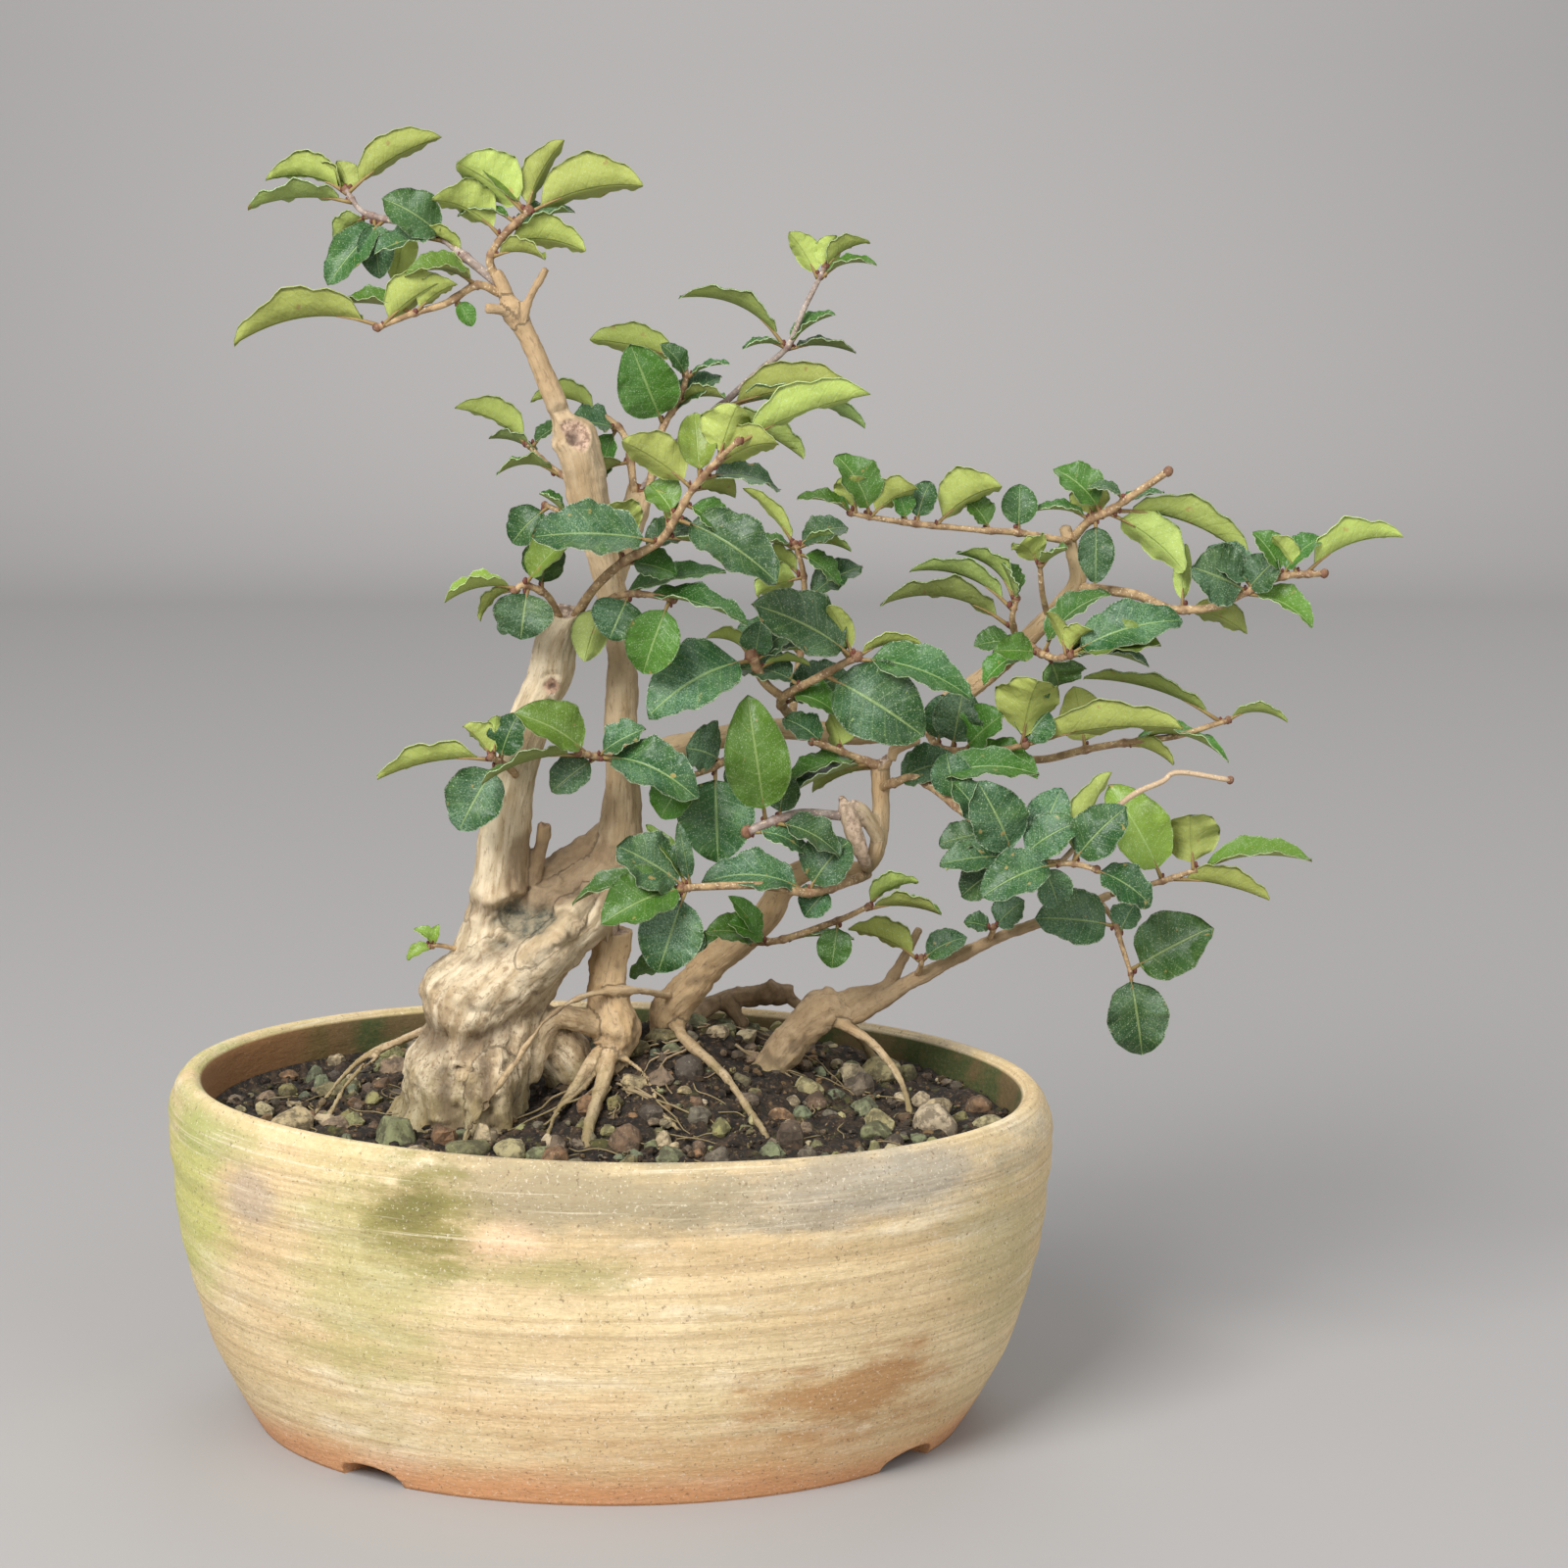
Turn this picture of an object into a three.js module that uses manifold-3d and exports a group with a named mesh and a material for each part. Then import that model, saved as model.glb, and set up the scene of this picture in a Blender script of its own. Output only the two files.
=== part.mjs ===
// A wild privet bonsai in its oval clay pot: pot, drain covers, soil, stones, trunk with roots, leafy stems.
// Millimetres. +X is right in the front view, +Y is away from the viewer, +Z is up.
// The origin is the middle of the pot's flat underside.
import * as THREE from "three";
import { mergeVertices } from "three/addons/utils/BufferGeometryUtils.js";
import Module from "manifold-3d";

const wasm = await Module();
wasm.setup();

// Driving dimensions of the pot.
const POT_HEIGHT = 82.4;
const POT_TURN = -4.5; // degrees, the long axis turned in plan
const POT_LEAN = 0.013; // the wall shifts this much to the right for each millimetre up
const RIM_FALL = 0.017; // the rim drops this much for each millimetre to the right
const OVAL_BASE = 0.777; // depth over width at the foot
const OVAL_RIM = 0.722; // depth over width at the rim
const FLOOR_TOP = 9; // height of the pot's inside floor
const POT_SIDES = 28;
// Half width of the pot's outer face by height, from the foot to the lip.
const OUTER_WALL = [
  [84.9, 0],
  [90.3, 9],
  [97.6, 25],
  [102.9, 46],
  [104.8, 67],
  [104.9, 76],
  [101.7, POT_HEIGHT],
];
// Half width of the pot's inner face by height, from the lip to the floor.
const INNER_WALL = [
  [97.6, 81],
  [96, 73],
  [92.8, 42],
  [76, FLOOR_TOP],
];
const NOTCH_WIDTH = 17; // drain channels cut across the foot
const NOTCH_HEIGHT = 4.5;
const NOTCH_BEARINGS = [-136, -29, 44, 151]; // degrees in plan, 0 is right and -90 is the front
const NOTCH_START = 28; // distance from the middle where a channel begins
const NOTCH_END = 110;
const NOTCH_DROP = 5; // how far the cutting bar reaches below the foot
// The cutting bar's arched top: shares of half its width and of its height, from its side to its middle.
const NOTCH_ARCH = [
  [1, 0.45],
  [0.6, 0.9],
  [0, 1],
];
const DRAIN_RADIUS = 6;
const DRAIN_DISTANCE = 36;
const DRAIN_SIDES = 12;
const COVER_SIZE = 20; // square drain covers under the soil
const COVER_THICK = 1;
const SLOT_WIDTH = 3;
const SLOT_LENGTH = 12;
const COVER_ROOM = 2; // the soil's hollow is this much wider than a cover
const GAP = 0.3; // clearance between pieces that touch

// Driving dimensions of the soil.
const SOIL_LEVEL = 73;
const SOIL_SIDES = 20;
const MOUND_HEIGHT = 15.5;
const MOUND_X = 18;
const MOUND_Y = 22;
const MOUND_REACH_X = 33;
const MOUND_REACH_Y = 39;
const SOIL_RINGS = [75, 50, 25, 0]; // half widths of the rings of points on the soil
const SOIL_EDGE = 95; // half width of the soil at the pot's wall
const SOIL_ROUGHNESS = 1.3; // how far the surface's points lie above or below an even bed, at most

// Stones: a twelve-sided ball with uneven corners, sunk in the soil.
const STONE_RADIUS = 0.55; // for a stone of width 1
const STONE_LEAST = 0.86; // the least and the greatest reach of a corner
const STONE_MOST = 1.14;
const STONE_RISE = 0.18; // height of a stone's middle over the soil, as a share of its height

// Blades of the leaves.
const BLADE_THICK = 0.7;
const YOUNG_FOLD = 0.72; // how steeply the two halves of a young leaf rise from its midrib
const OLD_FOLD = 0.12;
const FOLD_SPREAD = 0.2;
const FLAT_FOLD = 0.3; // a longer leaf folded less than this has no points on its midrib
const PETIOLE_SHARE = 0.12; // part of a leaf's length that is its stalk
const WIDEST_EARLY = 0.85; // under 1 puts a blade's widest place nearer its stalk
const BLUNTNESS = 0.58; // under 1 rounds both ends of a blade
const ARCH = [0.05, 0.15]; // least and greatest rise of a blade's middle over a straight line, by its length
const WAVE = [0.03, 0.08]; // least and greatest wave of its edges, by its width
const WAVE_TURN = 15; // radians of wave along a blade
const WAVE_SHIFT = 2; // radians between its two edges
const STALK_ROOT = 0.45; // where a stalk starts, as a share of the twig's radius from its middle line
const STALK_BACK = 0.8; // how far the stalks at a twig's end start behind that end
// Places along a blade that carry two edge points, for leaves from each length up. With more than one place,
// a leaf that is folded enough has points on its midrib too.
const BLADE_ROWS = [
  { from: 28, rows: [0.22, 0.55, 0.83] },
  { from: 16.5, rows: [0.3, 0.7] },
  { from: 0, rows: [0.45] },
];
const TWIG_SIDES = 4;

const POT_COLOUR = 0xc9a878;
const SOIL_COLOUR = 0x3b2e24;
const COVER_COLOUR = 0x2c2f2e;
const STONE_COLOUR = 0x9a8f7d;
const BARK_COLOUR = 0xb89f7c;
const LEAF_COLOUR = 0x5c8040;

// The wood, limb by limb: the places that its middle line passes, and its radius at each place.
const LIMBS = {
  base: {
    path: [
      [-36, -6, 58], [-34, -4, 70], [-33, -2, 81], [-30, 0, 95], [-24, 2, 107], [-15, 3, 117],
      [-5, 4, 125], [2, 5, 133],
    ],
    radii: [15, 15.5, 14.5, 13.5, 12.5, 11, 8.5, 5.5],
    sides: 9,
  },
  trunk_a: {
    path: [
      [-28, 3, 108], [-25, 2, 128], [-22, 0, 151], [-17, -2, 169], [-12, -3, 180], [-10, -5, 189],
      [-7, -6, 196],
    ],
    radii: [9, 6.5, 5.4, 4.8, 5.2, 4.8, 3.6],
    sides: 7,
  },
  trunk_b: {
    path: [
      [-4, 5, 122], [3, 5, 138], [4, 5, 152], [4, 6, 172], [4, 7, 185], [1, 7, 202], [-3, 6, 218],
      [-5, 5, 230], [-7, 5, 235], [-9, 4, 239], [-14, 2, 252], [-18, 1, 261], [-21, 0, 266],
    ],
    radii: [7, 5.2, 4.1, 3.8, 3.6, 3.9, 4.8, 4.9, 5.2, 2.7, 2.2, 2.5, 2.4],
    sides: 6,
  },
  limb_c: {
    path: [[1, 8, 199], [5, 16, 209], [9, 22, 222]],
    radii: [3.4, 3.3, 3.6],
    sides: 6,
  },
  ridge: {
    path: [[-27, 3, 121], [-17, 6, 127], [-7, 8, 133], [3, 6, 142]],
    radii: [7, 5.4, 4.4, 3.6],
    sides: 6,
  },
  scar_lip: {
    path: [[-20, -6, 112], [-12, -5, 121], [-4, -2, 128]],
    radii: [3.5, 4, 3],
    sides: 6,
  },
  flare_left: {
    path: [[-36, 1, 93], [-44, 3, 80], [-53, 3, 66]],
    radii: [6.4, 4.6, 3.2],
    sides: 6,
  },
  foot_front: {
    path: [[-28, -6, 92], [-27, -15, 79], [-27, -20, 65]],
    radii: [7, 6, 4.2],
    sides: 6,
  },
  foot_right: {
    path: [[-22, 2, 98], [-14, 7, 90], [-8, 8, 78], [-6, 8, 66]],
    radii: [7, 6.5, 6, 5],
    sides: 6,
  },
  foot_back: {
    path: [[-30, 6, 92], [-30, 17, 79], [-32, 23, 65]],
    radii: [8, 6.2, 3.2],
    sides: 6,
  },
  stub_brown: {
    path: [[-19, 3, 124], [-15, 1, 138], [-14, 1, 144]],
    radii: [2.2, 1.5, 1.6],
    sides: 6,
  },
  stub_d: {
    path: [[2, 6, 72], [2, 6, 84], [2, 6, 93], [0, 7, 104], [2, 8, 117]],
    radii: [2.5, 3.4, 5.9, 4.7, 4.5],
    sides: 7,
  },
  trunk_e: {
    path: [
      [18, 25, 72], [15, 24, 86], [15, 22, 94], [25, 20, 105], [38, 18, 117],
      [42, 17, 125], [48, 14, 130], [55, 8, 131], [62, 4, 133], [65, 3, 141], [65, 4, 158],
    ],
    radii: [4, 5.2, 5, 3.9, 3.6, 3.2, 2.6, 2.3, 2.1, 2, 2.3],
    sides: 6,
  },
  stub_e: {
    path: [[66, 3, 145], [63, 0, 149], [60, -2, 148], [60, -3, 143], [61.5, -3, 137]],
    radii: [1.6, 2.2, 2.6, 2.5, 1.6],
    sides: 6,
  },
  stub_e_top: {
    path: [[65, 4, 156], [68, 2, 161], [74, 0, 164]],
    radii: [1.8, 1.4, 1.2],
    sides: 4,
  },
  trunk_f: {
    path: [
      [30, 6, 70], [41, 10, 85], [52, 13, 95], [58, 14, 94], [66, 13, 98], [75, 12, 104],
      [91, 10, 113], [105, 8, 119], [120, 6.5, 125.5],
    ],
    radii: [4, 4.2, 4.6, 3, 2.1, 1.9, 1.6, 1.4, 1.1],
    sides: 6,
  },
  stub_f: {
    path: [[54, 13, 96], [61, 16, 98], [67, 17, 100], [71, 17, 107], [75, 17, 115]],
    radii: [3, 2.5, 2, 1.3, 1.1],
    sides: 6,
  },
  stub_back: {
    path: [[16, 25, 88], [26, 35, 92], [35, 37, 93], [45, 36, 94]],
    radii: [3, 2.6, 2.6, 2.9],
    sides: 6,
  },
  right_limb: {
    path: [
      [5, 6, 158], [13, 12, 159], [28, 20, 161], [44, 25, 162], [61, 28, 160], [75, 27, 163], [82, 25, 169],
      [90, 22, 175], [100, 18, 185], [111, 14, 198], [110, 12, 207], [108, 11, 213],
    ],
    radii: [3.4, 2.8, 2.6, 2.5, 2.5, 2.5, 2.5, 2.4, 2.3, 2.2, 1.7, 1.5],
    sides: 5,
  },
  stub_limb: {
    path: [[86, 22, 170], [93, 16, 177], [101, 13, 185]],
    radii: [1.3, 1.1, 1],
    sides: 4,
  },
  crown_stub: {
    path: [[-20, 0, 262], [-22, 1, 269], [-24, 1, 273]],
    radii: [2.2, 1.8, 1.5],
    sides: 6,
  },
  crown_stub_right: {
    path: [[-18, 0, 262], [-16, -1, 267], [-12, -2, 274]],
    radii: [1.7, 1, 0.9],
    sides: 4,
  },
  crown_stub_left: {
    path: [[-20, 0, 264], [-26, -4, 265]],
    radii: [1.5, 1.2],
    sides: 4,
  },
};

// The roots that lie on the soil and go down into it, written as the limbs are.
const ROOTS = {
  buried: { path: [[-30, 0, 66], [0, 8, 67], [34, 8, 69]], radii: [5, 4.5, 4] },
  left_thin: {
    path: [[-39, 3, 95], [-50, 8, 89], [-61, 8, 83], [-74, -3, 68]],
    radii: [1.8, 1.3, 1, 0.8],
  },
  left_fork: { path: [[-55, 8, 86], [-62, 2, 80], [-69, -9, 68]], radii: [1.1, 0.9, 0.8] },
  long: {
    path: [
      [17, 22, 96], [7, 6, 102], [-4, -2, 103], [-12.5, -10, 100.5], [-18, -15, 94], [-24, -20, 86],
      [-31, -24, 76], [-33, -26, 68],
    ],
    radii: [1.3, 1.2, 1.2, 1.3, 1.3, 1.2, 1, 0.9],
  },
  thick_middle: {
    path: [[1, 4, 88], [-1, -8, 81.5], [-3, -24, 76.8], [-4, -42, 71]],
    radii: [3.4, 2.3, 1.7, 1.3],
  },
  thin_left: {
    path: [[-1, 3, 87], [-5, -3, 81], [-11, -12, 77.3], [-12.5, -28, 75], [-13, -42, 71]],
    radii: [1.5, 1.2, 1, 0.9, 0.8],
  },
  thin_right: {
    path: [[3, 3, 87], [8.5, 0, 83.6], [11.5, -9, 81.2], [12.7, -16, 79], [19, -28, 75.8], [21, -34, 71]],
    radii: [1.2, 0.9, 0.8, 0.8, 0.8, 0.7],
  },
  side: { path: [[1, 6, 92], [-8, 2, 96], [-14, 0, 95], [-18, -2, 82]], radii: [3.6, 3.6, 3.4, 2.6] },
  side_low: { path: [[-2, 3, 88], [-7, -4, 82], [-12, -9, 75]], radii: [2.4, 2, 1.4] },
  right_long: {
    path: [[16, 22, 90], [18.5, 10, 89], [28, -4, 84], [34, -17, 79], [38, -27, 75.8], [41, -34, 70]],
    radii: [2.6, 1.9, 1.5, 1.4, 1.2, 1],
  },
  back: { path: [[16, 26, 90], [15, 42, 84], [10, 62, 68]], radii: [2.8, 2, 1.2] },
  far_right: {
    path: [[52, 12, 94], [61, 8, 90.5], [67, 4, 85.5], [71, 0, 79], [73, -4, 70]],
    radii: [2, 1.5, 1.3, 1.2, 1],
  },
  knob_back: { path: [[52, 14, 93], [60, 29, 86], [67, 41, 70]], radii: [2.4, 1.8, 1.1] },
};

// Stones that lie half sunk in the soil: place in plan, width, height, depth, turn in degrees.
const STONES = {
  stone_tan: [-74, -13, 10, 8, 9, 20],
  stone_green: [-48, -24, 10, 10, 9, 70],
  stone_olive: [-30.5, -35, 10, 6, 8, 40],
  stone_slab: [-20.5, -36, 9, 6, 7, 120],
  stone_grey: [27, -43, 7, 5, 6, 60],
  stone_teal: [64, -21, 7, 5.5, 6, 30],
  stone_pink: [78, -15, 11, 9, 7, 140],
  stone_brick: [89, 2, 6.5, 5.5, 6, 50],
  stone_pale: [66, 25, 9, 8, 8, 5],
};

// The leafy stems. Each twig has its middle line, its radius at both ends and its leaves. A leaf is
// [place along the twig counted in path points, bearing in the front view, lean away from the viewer,
// length with its stalk, width, turn of the upper face from up towards the viewer, age], angles in degrees.
// Age runs from 0, a young leaf folded along its midrib, to 1, an old one that is nearly flat.
const SPRAYS = {
  spray_crown_low: [
    {
      path: [[-23, 1, 268], [-28, -1, 270], [-35, -3, 266], [-42, -5, 264], [-50, -8, 261]],
      radii: [1.3, 0.8],
      leaves: [
        [4, 187, 0, 34, 14, -30, 0.1],
        [4, 35, 5, 18, 12, -50, 0.1],
        [3, 34, -10, 12, 9, -40, 0.1],
        [3, 175, 18, 19, 9, 15, 0.4],
        [1, 172, -18, 17, 10, 20, 0.3],
        [1, 163, 12, 15, 9, -40, 0.1],
        [1.7, 300, 0, 7, 5, 60, 0.4],
      ],
    },
  ],
  spray_crown_left: [
    {
      path: [
        [-22, 2, 269], [-31, 5, 276], [-36, 7, 280], [-42, 9, 283], [-48, 10, 284], [-55, 11, 286],
        [-59, 12, 291],
      ],
      radii: [1.4, 0.7],
      leaves: [
        [6, 30, 0, 25, 11, -45, 0.05],
        [6, 171, 0, 19, 11, -45, 0.1],
        [6, 161, 25, 15, 9, -30, 0.1],
        [5.6, 183, -10, 24, 11, -25, 0.5],
        [6, 110, 20, 8, 8, -50, 0.3],
        [2, 146, -8, 17, 12, 60, 0.7],
        [4.6, 275, -10, 14, 9, 60, 0.8],
        [4.3, 229, -15, 20, 10, 50, 0.7],
        [4.8, 222, 15, 11, 8, -30, 0.4],
        [2, 190, -25, 17, 9, 25, 0.8],
        [3.5, 256, 10, 14, 9, -80, 0.1],
        [1, 152, -5, 13, 5, -30, 0.1],
      ],
    },
    {
      path: [[-42, 9, 283], [-48, 6, 287]],
      radii: [1, 0.9],
      leaves: [],
    },
  ],
  spray_crown_top: [
    {
      path: [[-24, 1, 272], [-25, 0, 276], [-22, -1, 281], [-16, -3, 287]],
      radii: [1.3, 1],
      leaves: [
        [3, 143, -8, 19, 15, -60, 0.05],
        [3, 62, 15, 19, 9, -40, 0.05],
        [3, 14, -10, 28, 15, -55, 0.05],
        [2, 151, -15, 18, 13, -50, 0.15],
        [1.8, 355, -10, 20, 12, -50, 0.1],
        [1.2, 358, -28, 14, 8, -30, 0.15],
        [2.3, 15, 20, 16, 9, 10, 0.6],
        [3, 137, 22, 20, 8, 30, 0.3],
        [2.6, 176, 15, 14, 5, 10, 0.6],
      ],
    },
  ],
  spray_top_back: [
    {
      path: [
        [8, 22, 219], [17, 34, 230], [27, 40, 238], [36, 43, 246], [43, 42, 252], [47, 42, 261],
        [50, 42, 267], [52, 42, 271],
      ],
      radii: [1.3, 0.7],
      leaves: [
        [4, 155, 0, 28, 11, -10, 0.4],
        [4, 35, 0, 14, 8, 10, 0.6],
        [6.4, 122, 0, 13, 8, -60, 0.1],
        [7, 70, 0, 9, 8, -60, 0.1],
        [7, 32, 5, 13, 8, -30, 0.3],
        [6.5, 14, -12, 14, 6, 10, 0.5],
        [4, 181, -20, 11, 5, 0, 0.7],
        [4, 355, 15, 17, 6, 0, 0.7],
        [2, 11, -12, 32, 13, -50, 0.1],
        [1.9, 353, 5, 36, 13, -20, 0.7],
        [1.8, 333, 12, 25, 11, -20, 0.4],
      ],
    },
  ],
  spray_upper_mid: [
    {
      path: [[10, 20, 219], [13, 27, 233], [17, 30, 240], [19, 31, 246], [18, 31, 252]],
      radii: [1.2, 0.7],
      leaves: [
        [3.8, 169, 12, 23, 11, -60, 0.05],
        [1.2, 111, -10, 21, 16, 80, 0.5],
        [3, 126, -10, 10, 6, 40, 0.7],
        [3, 19, -15, 11, 5, 10, 0.7],
        [2.5, 201, -15, 14, 8, -20, 0.2],
        [2, 8, -20, 12, 8, -20, 0.4],
      ],
    },
  ],
  spray_upper_left: [
    {
      path: [[7, 20, 219], [5, 26, 231], [1, 28, 236], [-4, 29, 238]],
      radii: [1.2, 0.7],
      leaves: [
        [2.5, 169, 5, 17, 9, -40, 0.3],
        [1.6, 255, 10, 13, 9, 30, 0.5],
        [1.5, 170, -10, 12, 10, 30, 0.9],
        [0.6, 215, -15, 13, 10, -20, 0.5],
      ],
    },
  ],
  spray_left_back: [
    {
      path: [[-4, 9, 222], [-8, 16, 223], [-14, 19, 227], [-18, 20, 231]],
      radii: [1.1, 0.7],
      leaves: [
        [3, 152, 0, 20, 10, -45, 0.15],
        [3, 32, 10, 10, 6, 20, 0.7],
        [1.4, 178, -12, 15, 9, -10, 0.5],
        [2.2, 160, 18, 14, 8, -20, 0.7],
      ],
    },
  ],
  spray_left_low_back: [
    {
      path: [[-3, 10, 212], [-9, 16, 215], [-14, 18, 217]],
      radii: [1.1, 0.7],
      leaves: [
        [1, 140, -10, 8, 6, 10, 0.6],
        [2, 225, 0, 12, 10, 60, 0.9],
      ],
    },
  ],
  spray_front_twig: [
    {
      path: [
        [-6, -6, 194], [-1, -14, 202], [6, -20, 209], [14, -25, 214], [18, -28, 220], [22, -31, 227],
        [28, -34, 234], [32, -36, 238],
      ],
      radii: [1.5, 0.8],
      leaves: [
        [7, 20, 5, 32, 13, -45, 0.1],
        [6, 71, -10, 13, 14, -50, 0.05],
        [5.6, 24, -22, 18, 11, -60, 0.05],
        [5, 145, -10, 19, 13, -60, 0.05],
        [5.3, 95, 20, 15, 10, 60, 0.2],
        [3, 176, -15, 29, 16, 40, 0.9],
        [2, 115, -20, 14, 17, -60, 0.1],
        [2, 345, 5, 12, 10, 40, 0.6],
        [4, 329, -15, 27, 15, 45, 0.8],
        [3.3, 340, 12, 17, 10, 10, 0.6],
        [4, 131, 30, 10, 10, 40, 0.3],
        [5.4, 345, 30, 20, 10, 30, 0.9],
        [5, 340, 48, 14, 10, -40, 0.1],
        [4.5, 318, 12, 11, 9, 40, 0.5],
      ],
    },
  ],
  spray_a_left: [
    {
      path: [[-9, -5, 192], [-12, -13, 200], [-17, -17, 203], [-19, -18, 202]],
      radii: [1.2, 0.8],
      leaves: [
        [2, 45, -10, 20, 10, 45, 0.25],
        [1.3, 75, 10, 12, 11, 45, 0.6],
        [3, 190, -5, 17, 10, 0, 0.2],
        [3, 220, 10, 12, 6, -20, 0.3],
        [3, 250, 15, 12, 6, 40, 0.9],
        [1.8, 262, -15, 12, 14, 75, 1],
      ],
    },
  ],
  spray_a_right: [
    {
      path: [[-7, -5, 189], [2, -14, 199], [9, -17, 201], [17, -19, 200]],
      radii: [1.2, 0.8],
      leaves: [
        [1.7, 245, -15, 11, 13, 70, 1],
        [0.9, 250, -5, 14, 10, -60, 0.5],
        [2, 346, -8, 26, 10, 15, 0.7],
        [3, 250, 0, 18, 14, 70, 0.4],
      ],
    },
  ],
  spray_a_low: [
    {
      path: [[-20, -4, 156], [-22, -12, 160], [-25, -17, 163]],
      radii: [1.2, 0.8],
      leaves: [
        [2, 190, 0, 27, 10, -35, 0.15],
        [2, 132, 0, 10, 9, -40, 0.2],
        [2, 85, -5, 10, 6, -40, 0.3],
        [1.5, 68, 0, 12, 9, 50, 0.9],
        [1.6, 240, -10, 18, 14, 60, 1],
      ],
    },
  ],
  spray_left_low: [
    {
      path: [[4, 3, 159], [2, -8, 161], [-3, -14, 163], [-5, -17, 164]],
      radii: [1.2, 0.8],
      leaves: [
        [2, 148, -12, 20, 13, 50, 0.3],
        [2.6, 192, -25, 25, 10, -20, 0.6],
        [1.5, 340, -20, 26, 14, 40, 0.9],
        [1.6, 30, -5, 13, 10, 30, 0.9],
        [1.6, 217, -5, 13, 9, 60, 1],
      ],
    },
  ],
  spray_centre_low: [
    {
      path: [[33, 22, 161], [31, 8, 160], [27, 0, 158], [22, -6, 157], [20, -8, 157]],
      radii: [1.3, 0.8],
      leaves: [
        [1.8, 160, 0, 9, 14, 50, 0.9],
        [1.4, 300, -15, 9, 10, 50, 0.9],
        [2.2, 272, -15, 22, 19, 75, 0.75],
        [4, 235, -5, 12, 12, 50, 0.4],
      ],
    },
  ],
  spray_centre: [
    {
      path: [[47, 26, 162], [43, 8, 169], [42, 0, 174], [50, -8, 180], [59, -14, 186]],
      radii: [1.5, 1.1],
      leaves: [
        [4, 151, -10, 27, 16, 50, 0.8],
        [4, 114, -22, 15, 6, -50, 0.05],
        [4, 342, -5, 28, 13, 35, 0.7],
        [4, 10, 12, 16, 6, -30, 0.05],
        [3.2, 330, -15, 27, 19, 70, 1],
        [3.9, 150, 30, 13, 10, 20, 0.8],
        [2.2, 340, -10, 12, 9, 40, 0.4],
      ],
    },
    {
      path: [[42, 0, 174], [38, -4, 178], [36, -6, 182], [35, -7, 185]],
      radii: [1.3, 1.5],
      leaves: [
        [3, 206, -20, 28, 18, 45, 1],
        [3, 10, 5, 11, 6, 10, 0.7],
        [2, 0, 12, 12, 5, -20, 0.4],
        [3, 160, 30, 13, 6, -40, 0.1],
      ],
    },
  ],
  spray_mid_back: [
    {
      path: [[44, 25, 162], [45, 32, 171], [47, 34, 185], [47, 32, 198], [45, 30, 206]],
      radii: [1.3, 0.7],
      leaves: [
        [4, 131, 0, 19, 5, -40, 0.2],
        [4, 172, -10, 11, 6, 10, 0.7],
        [4, 20, 5, 13, 10, 30, 0.9],
        [4, 357, -8, 13, 9, -20, 0.5],
        [3.8, 320, 0, 13, 9, 20, 0.5],
        [3, 165, 0, 13, 11, -30, 0.3],
        [3, 200, -12, 12, 13, -50, 0.3],
      ],
    },
  ],
  spray_e_grey: [
    {
      path: [[57, -2, 146], [47, -8, 148], [40, -12, 147], [34, -14, 145]],
      radii: [1.5, 1.3],
      leaves: [
        [2.3, 98, 0, 30, 17, 75, 0.35],
        [2, 333, -5, 17, 10, 30, 0.8],
        [1.8, 75, 18, 10, 9, 30, 0.7],
      ],
    },
  ],
  spray_e_left: [
    {
      path: [[62, 4, 131], [58, -4, 131], [48, -12, 130], [37, -18, 133], [23, -24, 134], [19, -26, 134]],
      radii: [1.6, 1],
      leaves: [
        [2, 174, -5, 25, 12, 35, 1],
        [2, 50, 10, 15, 13, 50, 1],
        [5, 146, -10, 19, 15, 45, 1],
        [5, 198, -25, 22, 15, 50, 0.5],
        [5, 190, 10, 27, 9, 20, 0.6],
        [5, 251, -10, 20, 15, 80, 1],
        [4.5, 100, 0, 15, 4, 50, 0.9],
        [4.8, 125, 12, 17, 5, 20, 0.3],
        [1.5, 225, -10, 9, 9, 50, 0.8],
      ],
    },
  ],
  spray_e_lower: [
    {
      path: [[34, 18, 111], [36, 10, 113], [42, 4, 115], [55, -2, 121], [62, -5, 125]],
      radii: [1.3, 0.8],
      leaves: [
        [4, 27, 0, 14, 9, -40, 0.3],
        [4, 358, -10, 18, 8, -20, 0.3],
        [2, 3, -10, 17, 6, 0, 0.6],
        [1.5, 150, -20, 11, 8, 40, 0.4],
        [1.2, 165, -20, 14, 10, 40, 0.4],
        [1.3, 125, -10, 14, 6, 40, 0.4],
        [3, 262, -8, 11, 9, 60, 0.6],
      ],
    },
  ],
  spray_e_back: [
    {
      path: [[21, 21, 101], [20, 28, 102], [18, 32, 103]],
      radii: [1, 0.7],
      leaves: [
        [2, 75, 5, 10, 8, 40, 0.9],
        [2, 20, -5, 11, 9, 40, 0.5],
        [2, 195, 0, 14, 9, 30, 0.5],
      ],
    },
  ],
  spray_e_top: [
    {
      path: [[65, 3, 157], [56, 0, 161], [49, -3, 164]],
      radii: [1.3, 0.8],
      leaves: [
        [0.4, 193, -18, 20, 10, 10, 0.5],
        [0.3, 196, -30, 23, 9, -10, 0.7],
        [1, 110, 25, 10, 10, -50, 0.3],
      ],
    },
  ],
  spray_right_low: [
    {
      path: [
        [65, 3, 152], [68, -2, 154], [73, -6, 156], [80, -10, 152], [89, -15, 145], [95, -18, 140],
        [102, -20, 139], [109, -22, 139], [114, -23, 138],
      ],
      radii: [1.4, 0.8],
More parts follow.
